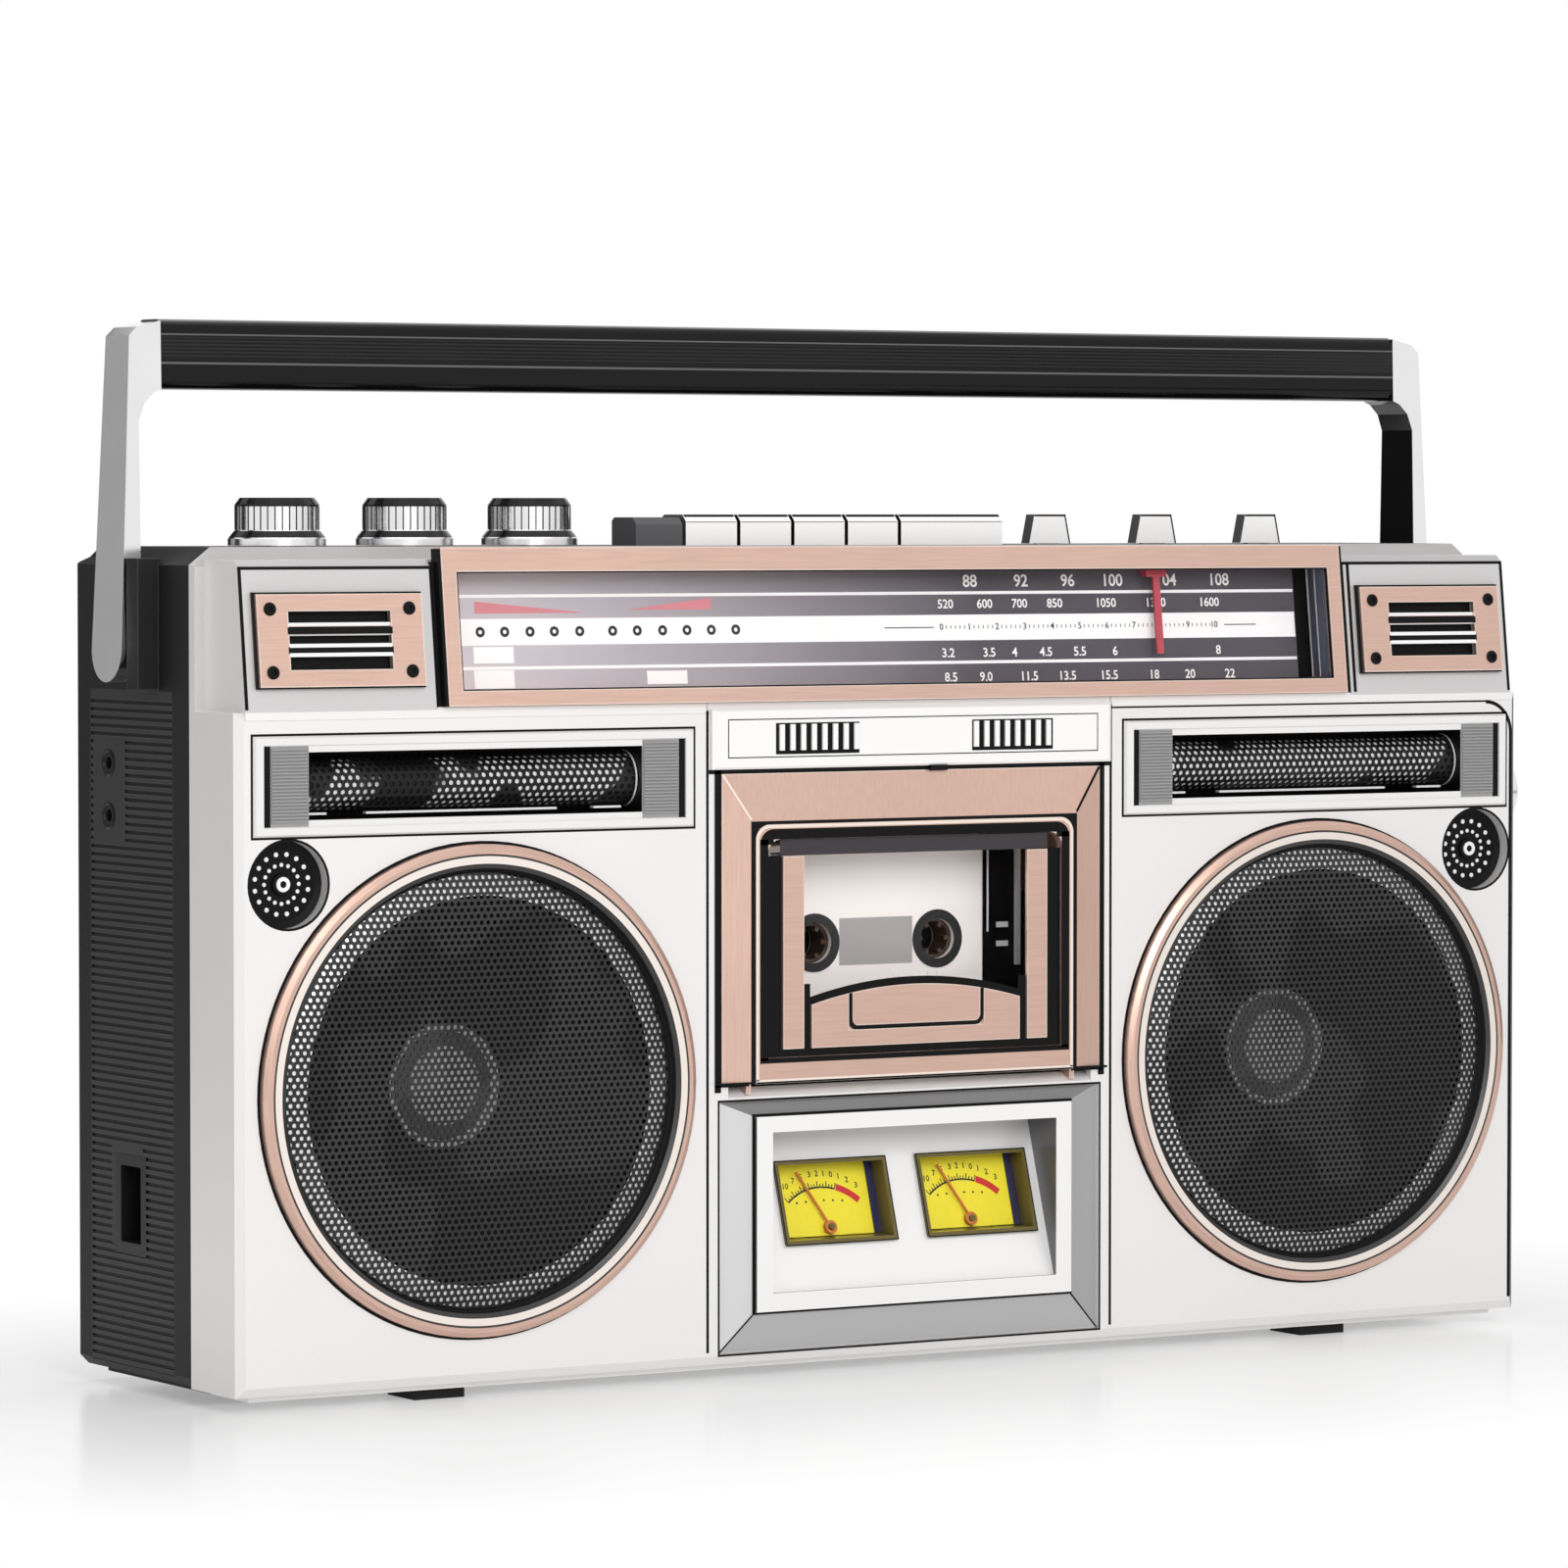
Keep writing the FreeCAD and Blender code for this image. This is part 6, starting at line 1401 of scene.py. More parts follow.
@dataclass
class Cabinet(Assembly):
    """Two-part case with its feet, sockets and inner parts."""

    screw_x: tuple[float, ...] = (-205.0, 205.0)
    screw_heights: tuple[float, ...] = (16.0, 176.0)
    screw_radius: float = 3.2
    jack_depth: float = 80.0
    jack_heights: Pair = (170.7, 155.7)
    collar: tuple[Pair, ...] = ((3.9, -0.2), (3.9, 0.25), (3.5, 0.4), (3.0, 0.25), (2.8, -0.2))
    collar_sides: int = 24

    def dress(self) -> None:
        """Dress the case and what stands inside it."""
        SILVER.dress("front_shell")
        CASE_BLACK.dress("rear_shell", "battery_cover")
        RUBBER.dress("rubber_feet", "drive_belt", "pinch_roller")
        PLUG_BLACK.dress("mains_inlet", "phone_jacks", "spindle_left", "spindle_right")
        STEEL.dress("deck_plate", "drive_motor", "cassette_holder", "woofer_frames")
        ALLOY.dress("tape_head")
        BRASS.dress("capstan_flywheel", "motor_pulley")
        BOARD.dress("main_board")
        CHROME.dress("antenna_mast", "antenna_tip")

    def build_screws(self) -> None:
        """Screws in the rear wall, in two columns."""
        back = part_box("rear_shell")[1].y * 1000 + FACE_FRONT
        pile = Pile()
        for x in self.screw_x:
            step = (0.0, 0.0, (self.screw_heights[1] - self.screw_heights[0]) / 1000)
            column = Repeat.grow(Repeat.row(), stud_mesh(self.screw_radius, 0.4, 20, cross=True), STEEL,
                                 spot(x, back - 0.4, self.screw_heights[0]),
                                 Matrix.Rotation(math.pi, 4, "Z"), Count=2, Step=step)
            pile.gather(column)
        pile.finish("rear_screws", STEEL, "cabinet", "deck_steel")

    def build_jack_rings(self) -> None:
        """Raised collars round the two jacks on the left side."""
        pile = Pile()
        for height in self.jack_heights:
            points = [spot(-SHELL_SIDE - proud, self.jack_depth - radius * math.cos(angle),
                           height + radius * math.sin(angle))
                      for radius, proud in self.collar for angle in turns(self.collar_sides)]
            pile.add(points, bands(len(self.collar), self.collar_sides))
        pile.finish("jack_collars", GLOSS_BLACK, "cabinet", "socket_plastic")


@dataclass
class Tuner(Assembly):
    """Leaning tuner scale: bezel, printed plate, window and pointer."""

    plate_depth: float = 8.0
    print_shift: float = 4.9
    print_drop: float = 0.3
    lines: Pair = (218.5, 198.2)
    line_half: float = 0.45
    band: Pair = (204.6, 212.1)
    row_heights: tuple[float, ...] = (222.0, 215.3, 201.0, 193.9)
    row_sizes: tuple[float, ...] = (3.7, 2.7, 2.7, 2.7)
    steps: int = 11
    step_start: float = 11.7
    step_pitch: float = 9.73
    step_size: float = 1.9
    step_height: float = 208.6
    dot_height: float = 208.4
    dot_radii: Pair = (0.6, 1.5)
    dashes: tuple[Pair, Pair] = ((-8.0, 9.0), (112.5, 124.0))
    wedges: tuple[tuple[Rect, Pair], ...] = ((((-144.0, -109.5), (213.6, 217.0)), (0.0, 3.2)),
                                             (((-93.5, -66.3), (214.3, 217.6)), (3.1, 0.0)))
    high_row: tuple[tuple[str, float], ...] = (("88", 22.6), ("92", 40.5), ("96", 57.1), ("100", 73.4),
                                               ("104", 92.8), ("108", 111.9))
    second_row: tuple[tuple[str, float], ...] = (("520", 13.6), ("600", 27.3), ("700", 39.6), ("850", 52.0),
                                                 ("1050", 70.5), ("1300", 88.4), ("1600", 107.8))
    third_row: tuple[tuple[str, float], ...] = (("3.2", 13.6), ("3.5", 27.9), ("4", 36.8), ("4.5", 47.8),
                                                ("5.5", 59.9), ("6", 72.5), ("8", 109.8))
    low_row: tuple[tuple[str, float], ...] = (("8.5", 14.0), ("9.0", 26.3), ("11.5", 41.7), ("13.5", 55.2),
                                              ("15.5", 70.1), ("18", 86.3), ("20", 99.0), ("22", 113.5))
    dots: tuple[float, ...] = (-142.6, -134.7, -126.5, -118.6, -110.3, -99.5, -91.4, -83.0, -74.9, -66.8,
                               -58.6)
    boxes: tuple[tuple[float, float, float, float], ...] = ((-145.1, -132.2, 199.6, 204.2),
                                                            (-145.3, -132.4, 192.5, 197.6),
                                                            (-89.0, -75.7, 193.1, 196.9))

    def reach(self, lift: float) -> Callable[[float], float]:
        """Depth of a print that stands off the leaning plate, as a function of the height."""
        return leaning(self.plate_depth - lift)

    def at(self, x: float) -> float:
        """Place on the plate of a print that is seen at x through the window, in mm."""
        return x + self.print_shift

    def printed(self, rect: Rect) -> Rect:
        """Rectangle on the plate of a print that is seen through the window."""
        (left, right), (low, high) = rect
        return (self.at(left), self.at(right)), (low - self.print_drop, high - self.print_drop)

    def dress(self) -> None:
        """Dress the tuner's solids."""
        COPPER.dress("tuner_bezel")
        DIAL.dress("dial_plate")
        PANE.dress("dial_window")
        POINTER.dress("dial_pointer")

    def build_bands(self) -> None:
        """Pale lines and the pale middle band, which run the plate's length."""
        low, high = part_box("dial_plate")
        left, right = low.x * 1000 + 0.3, high.x * 1000 - 0.3
        drop = self.print_drop
        pile = Pile()
        reach = self.reach(SKIN)
        for level in self.lines:
            pile.slab((left, right), (level - self.line_half - drop, level + self.line_half - drop), reach)
        pile.slab((left, right), (self.band[0] - drop, self.band[1] - drop), reach)
        for x_low, x_high, low_edge, high_edge in self.boxes:
            ends = (max(self.at(x_low), left), self.at(x_high))
            pile.slab(ends, (low_edge - drop, high_edge - drop), reach)
        pile.finish("tuner_bands", PRINT_WHITE, "cabinet", "dial_print")

    def build_figures(self) -> None:
        """White numbers of the four scales."""
        pile = Pile()
        reach = self.reach(SKIN)
        rows = (self.high_row, self.second_row, self.third_row, self.low_row)
        for row, height, size in zip(rows, self.row_heights, self.row_sizes):
            for text, x in row:
                pile.write(text, self.at(x), height - self.print_drop, size, reach)
        pile.finish("tuner_figures", PRINT_WHITE, "cabinet", "dial_print")

    def build_marks(self) -> None:
        """Dots, ticks, dashes and small numbers on the pale band."""
        pile = Pile()
        drop = self.print_drop
        reach = self.reach(2 * SKIN)
        for x in self.dots:
            pile.ring(self.at(x), self.dot_height - drop, *self.dot_radii, reach, sides=14)
        for step in range(self.steps):
            x = self.step_start + self.step_pitch * step
            pile.write(str(step), self.at(x), self.step_height - drop, self.step_size, reach)
            for part in range(1, 6 if step < self.steps - 1 else 1):
                mark = x + self.step_pitch * part / 6
                pile.slab(*self.printed(((mark - 0.12, mark + 0.12), (208.0, 209.0))), reach)
        for ends in self.dashes:
            pile.slab(*self.printed((ends, (208.3, 208.6))), reach)
        pile.finish("tuner_marks", PRINT_BLACK, "cabinet", "dial_print")

    def build_wedges(self) -> None:
        """Two pink wedges above the pale band."""
        pile = Pile()
        for rect, skew in self.wedges:
            pile.slab(*self.printed(rect), self.reach(SKIN), skew=skew)
        pile.finish("tuner_wedges", PRINT_PINK, "cabinet", "dial_print")

    def build_well(self) -> None:
        """Dark end wall beside the plate, the window's dark edge and two pale edge strips."""
        dark, grey, pale = Pile(), Pile(), Pile()
        dark.slab((144.2, 149.3), (192.2, 224.9), leaning(8.4), thick=0.5)
        dark.frame((-149.1, 149.1), (192.3, 224.8), leaning(-1.7), 0.45, thick=0.5)
        dark.finish("tuner_well", DEEP_BLACK, "cabinet", "dial_print")
        grey.slab((149.2, 149.55), (192.2, 224.9), leaning(0.2), thick=8.0)
        grey.finish("tuner_wall", WELL_GREY, "cabinet", "dial_print")
        for near, depth in ((147.4, 6.0), (148.3, 3.4)):
            pale.slab((near, near + 0.35), (192.4, 224.7), leaning(depth), thick=0.3)
        pale.finish("tuner_edges", LABEL_GREY, "cabinet", "dial_print")


@dataclass
class CornerPlates(Assembly):
    """Copper plates on the corner blocks: screws, and bars behind their windows."""

    inner: float = 171.0
    outer: float = 203.8
    screw_x: Pair = (165.4, 209.0)
    screw_heights: Pair = (197.7, 215.2)
    bar_heights: Pair = (202.5, 205.0)
    bar_pitch: float = 5.95
    bar_section: tuple[float, ...] = (0.5, 1.15, 0.15)
    cross_bars: Pair = (203.75, 209.15)
    cross_half: float = 0.95
    back_half: Pair = (16.4, 16.9)

    def dress(self) -> None:
        """Dress the plates."""
        COPPER.dress("corner_plates")

    def build(self) -> None:
        """Screws at the corners, two pairs of bright bars over the window and a dark back."""
        screws, bars, backs = Pile(), Pile(), Pile()
        gap = (self.screw_x[1] - self.screw_x[0]) / 1000
        tip = Matrix.Rotation(-TILT, 4, "X")
        for side in (-1, 1):
            for height in self.screw_heights:
                row = Repeat.grow(Repeat.row(), stud_mesh(1.9, 0.6, 16, cross=True), DEEP_BLACK,
                                  spot(side * self.screw_x[0], lean(-2.2, height), height), tip, Count=2,
                                  Step=(side * gap, 0.0, 0.0))
                screws.gather(row)
            middle = side * (self.inner + self.outer) / 2
            for height in self.bar_heights:
                bar = block_mesh(self.outer - self.inner - 0.6, *self.bar_section)
                row = Repeat.grow(Repeat.row(), bar, FOIL, spot(middle, lean(-2.1, height), height), tip,
                                  Count=2, Step=(0.0, self.bar_pitch * SLOPE / 1000, self.bar_pitch / 1000))
                bars.gather(row)
            ends, wide = ((middle - half, middle + half) for half in self.back_half)
            for height in self.cross_bars:
                levels = (height - self.cross_half, height + self.cross_half)
                backs.slab(ends, levels, leaning(-2.2 - SKIN), 0.1)
            backs.slab(wide, (197.9, 215.1), leaning(0.33), 0.1)
            backs.frame((ends[0] + 0.3, ends[1] - 0.3), (198.6, 214.3), leaning(-2.0), 0.35, 1.0)
        screws.finish("corner_screws", DEEP_BLACK, "cabinet", "deck_steel")
        bars.finish("lamp_bars", FOIL, "cabinet", "rose_metal")
        backs.finish("lamp_backs", DEEP_BLACK, "cabinet", "black_moulding")


@dataclass
class TitleStrip(Assembly):
    """Silver strip over the cassette door, left bare between its two rows of ribs."""

    beds: Rect = ((19.4, 47.6), (172.4, 181.4))
    line: Rect = ((-63.3, 63.3), (171.8, 182.4))
    catch: tuple[float, ...] = (6.0, 1.4, 1.6, 0.4)
    catch_place: Place = (8.0, -1.6, 167.6)

    def dress(self) -> None:
        """Dress the strip."""
        PANEL_SILVER.dress("name_strip")

    def build(self) -> None:
        """Dark beds behind the ribs, a frame line and the door's catch."""
        dark = Pile()
        for side in (-1, 1):
            dark.slab(*beside(side, self.beds), -1.98, 0.1)
        dark.frame(*self.line, -1.95, 0.3, 0.1)
        dark.finish("strip_beds", DEEP_BLACK, "cabinet", "silver_paint")
        mesh = block_mesh(*self.catch)
        mesh.transform(Matrix.Translation(spot(*self.catch_place)))
        settle(mesh, "door_catch", DEEP_BLACK, "cabinet")


@dataclass
class Speakers(Assembly):
    """Two woofers behind perforated sheets, in copper rings."""

    x: float = WOOFER_X
    height: float = WOOFER_HEIGHT
    reach: float = 62.2
    pitch: float = 2.1
    hole: float = 0.73
    columns: int = 64
    rows: int = 38
    flat: float = 54.0
    droop: float = 1.6
    front: float = -0.9
    basket: tuple[Pair, ...] = ((60.9, 0.62), (59.6, 0.22), (58.0, -0.18), (56.0, -0.5), (54.9, -0.58))
    felt: tuple[Pair, ...] = ((62.55, -0.6), (61.9, -0.4), (60.9, 0.6), (60.9, 1.2))

    def dress(self) -> None:
        """Dress the rings and the woofers."""
        RING.dress("speaker_rings")
        CONE.dress("woofer_cones")

    def build_sheets(self) -> None:
        """Perforated sheets, drooping to their rims."""
        made = []
        for side, label in SIDES:
            tile = hole_tile(self.pitch / 1000, self.hole / 1000, 0.0005)
            mesh = Repeat.grow(Repeat.sheet(), tile, GRILLE, spot(side * self.x, self.front, self.height),
                               Columns=self.columns, Rows=self.rows, Pitch=self.pitch / 1000,
                               Reach=self.reach / 1000, Flat=self.flat / 1000, Droop=self.droop / 1000)
            made.append(settle(mesh, f"grille_sheet_{label}", GRILLE, "cabinet"))
        for sheet in made:
            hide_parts("speaker_grilles")

    def build_rims(self) -> None:
        """Dark felt rings round the sheets, and bright backing rings behind the sheets' rims, which show
        through their holes as painted glints.
        """
        for side, label in SIDES:
            middle = (side * self.x, 0.0, self.height)
            # Painted glints: the bright foil ring follows the sheet's rim close behind it, so its holes show
            # white dots.
            rim = turned_mesh("rim", self.basket, 96, middle)
            settle(rim, f"basket_rim_{label}", FOIL, "cabinet")
            felt = turned_mesh("felt", self.felt, 72, middle)
            settle(felt, f"grille_felt_{label}", DEEP_BLACK, "cabinet")


@dataclass
class Horns(Assembly):
    """Two tweeter horns with ribbed end blocks and half-round perforated caps."""

    inner: float = 77.1
    outer: float = 211.9
    block: float = 14.0
    low: float = 155.6
    high: float = 176.8
    rib_pitch: float = 0.95
    bar: float = 2.1
    rails: tuple[Pair, ...] = ((0.8, 7.6), (20.0, 81.0), (93.0, 102.0))
    radius: float = 8.0
    middle: float = 166.2
    cap_pitch: float = 2.35
    cap_hole: float = 0.78
    gap_levels: Pair = (155.0, 177.4)
    rail_levels: Pair = (158.0, 158.6)

    def dress(self) -> None:
        """Dress the surrounds."""
        HORN.dress("horn_bezels")

    def build_blocks(self) -> None:
        """Ribbed grey faces on the end blocks, and the dark gaps outside them."""
        ribs, gaps = Pile(), Pile()
        count = int((self.high - self.low) / self.rib_pitch)
        wide = self.block - self.bar
        rib = block_mesh(wide - 0.4, 0.7, self.rib_pitch * 0.55, 0.12)
        for side in (-1, 1):
            for near in (self.inner, self.outer - self.bar):
                gaps.slab(across(side, near, near + self.bar), self.gap_levels, -0.48, 0.06)
            for start in (self.inner + self.bar, self.outer - self.block):
                middle = side * (start + wide / 2)
                row = Repeat.grow(Repeat.row(), rib, BLOCK_GREY, spot(middle, -0.75, self.low + 0.9), None,
                                  Count=count, Step=(0.0, 0.0, self.rib_pitch / 1000))
                ribs.gather(row)
                ends = (middle - wide / 2, middle + wide / 2)
                ribs.slab(ends, (self.low - 0.5, self.high + 0.5), -0.55, 0.14)
        ribs.finish("horn_end_ribs", BLOCK_GREY, "cabinet", "black_moulding")
        gaps.finish("horn_gaps", DEEP_BLACK, "cabinet", "black_moulding")

    def build_caps(self) -> None:
        """Perforated half tubes over tubes with near-white patches that are painted glints, their end rings
        and the rails under them.
        """
        made, glints, rings = [], Pile(), Pile()
        length = self.outer - self.inner - 2 * self.block
        pitch = self.cap_pitch
        for side, label in SIDES:
            middle = side * (self.inner + self.outer) / 2
            tile = hole_tile(pitch / 1000, self.cap_hole / 1000, 0.0003)
            mesh = Repeat.grow(Repeat.sheet(), tile, HORN_MESH, spot(middle, self.radius + 2.0, self.middle),
                               Columns=int(length / pitch) - 1, Rows=6, Pitch=pitch / 1000,
                               Roll=(self.radius - 0.25) / 1000)
            made.append(settle(mesh, f"horn_cap_{label}", HORN_MESH, "cabinet"))
            ends = (middle - length / 2 + 0.3, middle + length / 2 - 0.3)
            glints.tube(ends, self.radius - 0.5, self.radius + 2.0, self.middle)
            for end in (ends[0], ends[1] - 0.5):
                rings.tube((end, end + 0.5), self.radius + 0.1, self.radius + 2.0, self.middle)
            for near, far in self.rails:
                rings.slab((ends[0] + near, ends[0] + far), self.rail_levels, 4.0, 2.0)
        for cap in made:
            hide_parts("horn_grilles")
        glints.finish("horn_diffusers", HORN_GLINTS, "cabinet", "grille_metal")
        rings.finish("horn_rails", FOIL, "cabinet", "key_silver")


@dataclass
class Microphones(Assembly):
    """Two microphones with bright holes in two rings."""

    x: float = MICROPHONE_X
    height: float = MICROPHONE_HEIGHT
    rings: tuple[Place, ...] = ((5.4, 0.62, 0.0), (8.4, 0.72, 0.2))

    def dress(self) -> None:
        """Dress the discs."""
        DEEP_BLACK.dress("mic_grilles")

    def build(self) -> None:
        """Bright holes round each disc, and a stud in its middle."""
        pile = Pile()
        for side in (-1, 1):
            centre = spot(side * self.x, 4.5, self.height)
            for radius, size, turn in self.rings:
                ring = Repeat.grow(Repeat.ring(), stud_mesh(size, 0.25, 8), FOIL, centre, None, Count=16,
                                   Radius=radius / 1000, Turn=turn)
                pile.gather(ring)
            pile.ring(side * self.x, self.height, 1.0, 2.1, 3.2, 0.5, sides=20)
        pile.finish("microphone_holes", FOIL, "cabinet", "grille_metal")


@dataclass
class CassetteDoor(Assembly):
    """Door with its pane, copper pulls, and the cassette that stands behind it."""

    pane_depth: float = -1.4 - SKIN
    frame_depth: float = -2.4 - SKIN
    mask_sides: tuple[Rect, ...] = (((45.4, 50.5), (85.3, 143.2)), ((35.8, 38.4), (85.3, 106.0)),
                                    ((38.4, 45.4), (85.3, 87.5)))
    rim_sides: tuple[Rect, ...] = (((50.5, 53.2), (84.4, 148.0)), ((22.0, 23.2), (95.3, 102.9)))
    rims: tuple[Rect, ...] = (((-48.8, 48.8), (148.0, 151.0)), ((-53.2, 53.2), (83.6, 85.1)),
                              ((-20.2, 20.2), (92.3, 93.5)))
    well: float = 35.8
    arch: Pair = (104.9, 4.9)
    arch_parts: int = 16
    gap_top: Rect = ((-56.0, 56.0), (152.45, 153.3))
    gap_sides: tuple[Rect, ...] = (((54.75, 56.0), (77.8, 152.45)), ((56.0, 66.8), (77.8, 78.5)))
    gap_corner: tuple[Pair, ...] = ((54.95, 152.65), (50.4, 152.65), (53.6, 151.3), (54.95, 148.2))
    edge_side: Rect = ((53.6, 54.5), (78.6, 147.8))
    edges: tuple[Rect, ...] = (((-50.1, 50.1), (151.3, 152.2)), ((-54.5, 54.5), (78.35, 79.0)))
    foot: Rect = ((-54.5, 54.5), (77.85, 78.35))
    mitre: tuple[Place, Place] = ((56.0, -2.1, 153.8), (64.8, -0.8, 166.8))
    tape_middle: float = -2.0
    hub_x: float = 21.25
    hub_height: float = 116.5
    face: float = 17.0
    slots: tuple[Pair, ...] = ((-38.0, -27.0), (-24.0, -12.0), (-8.0, -4.0), (2.0, 30.0))

    def dress(self) -> None:
        """Dress the door, its surround and the cassette."""
        COPPER.dress("door_frame", "door_trim")
        COPPER_UPRIGHT.dress("door_bezel")
        PANE.dress("door_window")
        CREAM.dress("cassette_shell")
        TAPE.dress("tape_hub_left", "tape_hub_right")

    def build_mask(self) -> None:
        """Dark print round the pane's edges, and the smoked band at its top."""
        pile, band = Pile(), Pile()
        for side in (-1, 1):
            for rect in self.mask_sides:
                pile.slab(*beside(side, rect), self.pane_depth)
            for rect in self.rim_sides:
                pile.slab(*beside(side, rect), self.frame_depth)
            pile.corner(20.2, 95.3, (1.8, 3.0), self.frame_depth, side, upper=False)
            pile.corner(48.7, 146.5, (0.01, 4.5), self.frame_depth, side)
        for rect in self.rims:
            pile.slab(*rect, self.frame_depth)
        pile.slab((-self.well, self.well), (85.3, 87.4), self.pane_depth)
        middle, fall = self.arch
        for n in range(self.arch_parts):
            shares = [2 * (n + k) / self.arch_parts - 1 for k in (0, 1)]
            (left, foot), (right, head) = ((self.well * s, middle - fall * s ** 2) for s in shares)
            corners = [(left, foot), (right, head), (right, head + 2.2), (left, foot + 2.2)]
            pile.prism(corners, self.pane_depth)
        pile.finish("pane_mask", MASK, "door", "clear_pane")
        band.slab((-46.0, 46.0), (143.2, 147.8), self.pane_depth)
        band.finish("pane_band", SMOKE, "door", "clear_pane")

    def build_outlines(self) -> None:
        """Painted shadow in the gap round the door and under it, the painted highlight line inside the gap,
        and the surround's mitred corners: a painted highlight on the left, a painted shadow on the right.
        """
        gap, pale, mitre, foot = Pile(), Pile(), Pile(), Pile()
        gap.slab(*self.gap_top, -2.2 - SKIN)
        for side in (-1, 1):
            corner = [(side * x, height) for x, height in self.gap_corner]
            gap.prism(corner[::side], -2.3, 0.1)
            for rect in self.gap_sides:
                gap.slab(*beside(side, rect), -2.2 - SKIN)
            pale.slab(*beside(side, self.edge_side), self.frame_depth)
            pale.corner(50.1, 147.8, (3.5, 4.4), self.frame_depth, side, sides=10)
        for rect in self.edges:
            pale.slab(*rect, self.frame_depth)
        foot.slab(*self.foot, self.frame_depth)
        # Painted highlight on the left mitre, painted shadow on the right one.
        for piece, side in ((mitre, -1), (gap, 1)):
            start, end = ((side * x, depth, height) for x, depth, height in self.mitre)
            piece.stroke(start, end, 0.7)
        gap.finish("door_gap", DEEP_BLACK, "cabinet", "rose_metal")
        pale.finish("door_edge", COPPER_HIGHLIGHT, "door", "rose_metal")
        foot.finish("door_foot", DEEP_BLACK, "door", "rose_metal")
        mitre.finish("mitre_line", COPPER_HIGHLIGHT, "cabinet", "rose_metal")

    def build_label(self) -> None:
        """Grey window panel, dark surrounds of the hubs and the shell's moulded lines."""
        depth = self.face - SKIN
        grey, dark, cream = Pile(), Pile(), Pile()
        grey.slab((self.tape_middle - 12.6, self.tape_middle + 12.6), (109.6, 123.4), depth, thick=0.6)
        grey.finish("tape_window", LABEL_GREY, "door", "cassette_cream")
        for side in (-1, 1):
            dark.ring(self.tape_middle + side * self.hub_x, self.hub_height, 5.9, 8.6, depth - 0.3, thick=0.3)
        for ends in self.slots:
            dark.slab(ends, (142.2, 143.1), depth)
        for x in (20.0, 25.5):
            dark.slab((x, x + 3.4), (83.6, 86.6), self.face - 1.46, thick=0.1)
        dark.finish("tape_print", PRINT_BLACK, "door", "cassette_cream")
        for x in range(6):
            cream.slab((4.0 + x * 3.0, 4.6 + x * 3.0), (99.0, 107.0), depth - 0.2, thick=0.3)
        cream.finish("tape_ribs", CREAM, "door", "cassette_cream")

    def build_caps(self) -> None:
        """Dark caps on the drive spindles."""
        for side, body in ((-1, "reel_left"), (1, "reel_right")):
            x = self.tape_middle + side * self.hub_x
            mesh = turned_mesh("cap", [(2.8, 27.0), (2.6, 25.9), (1.6, 25.5), (0.01, 25.4)], 18,
                               (x, 0.0, self.hub_height))
            settle(mesh, f"spindle_cap_{body[5:]}", GLOSS_BLACK, body)

    def build_guide(self) -> None:
        """Dark lip over the cassette's right end, with the bright guide that stands on it."""
        dark, bright = Pile(), Pile()
        dark.slab((35.0, 48.1), (88.0, 144.6), self.face - 0.7, 0.3)
        dark.finish("tape_lip", MASK, "door", "deck_steel")
        bright.slab((45.9, 47.2), (108.0, 143.6), self.face - 2.2, 1.5)
        bright.slab((36.2, 36.7), (118.0, 143.6), self.face - 1.0, 0.3)
        for height in (120.0, 114.4):
            bright.slab((39.5, 43.5), (height - 0.8, height + 0.8), self.face - 1.2, 0.5)
        bright.finish("tape_guide", FOIL, "door", "deck_steel")


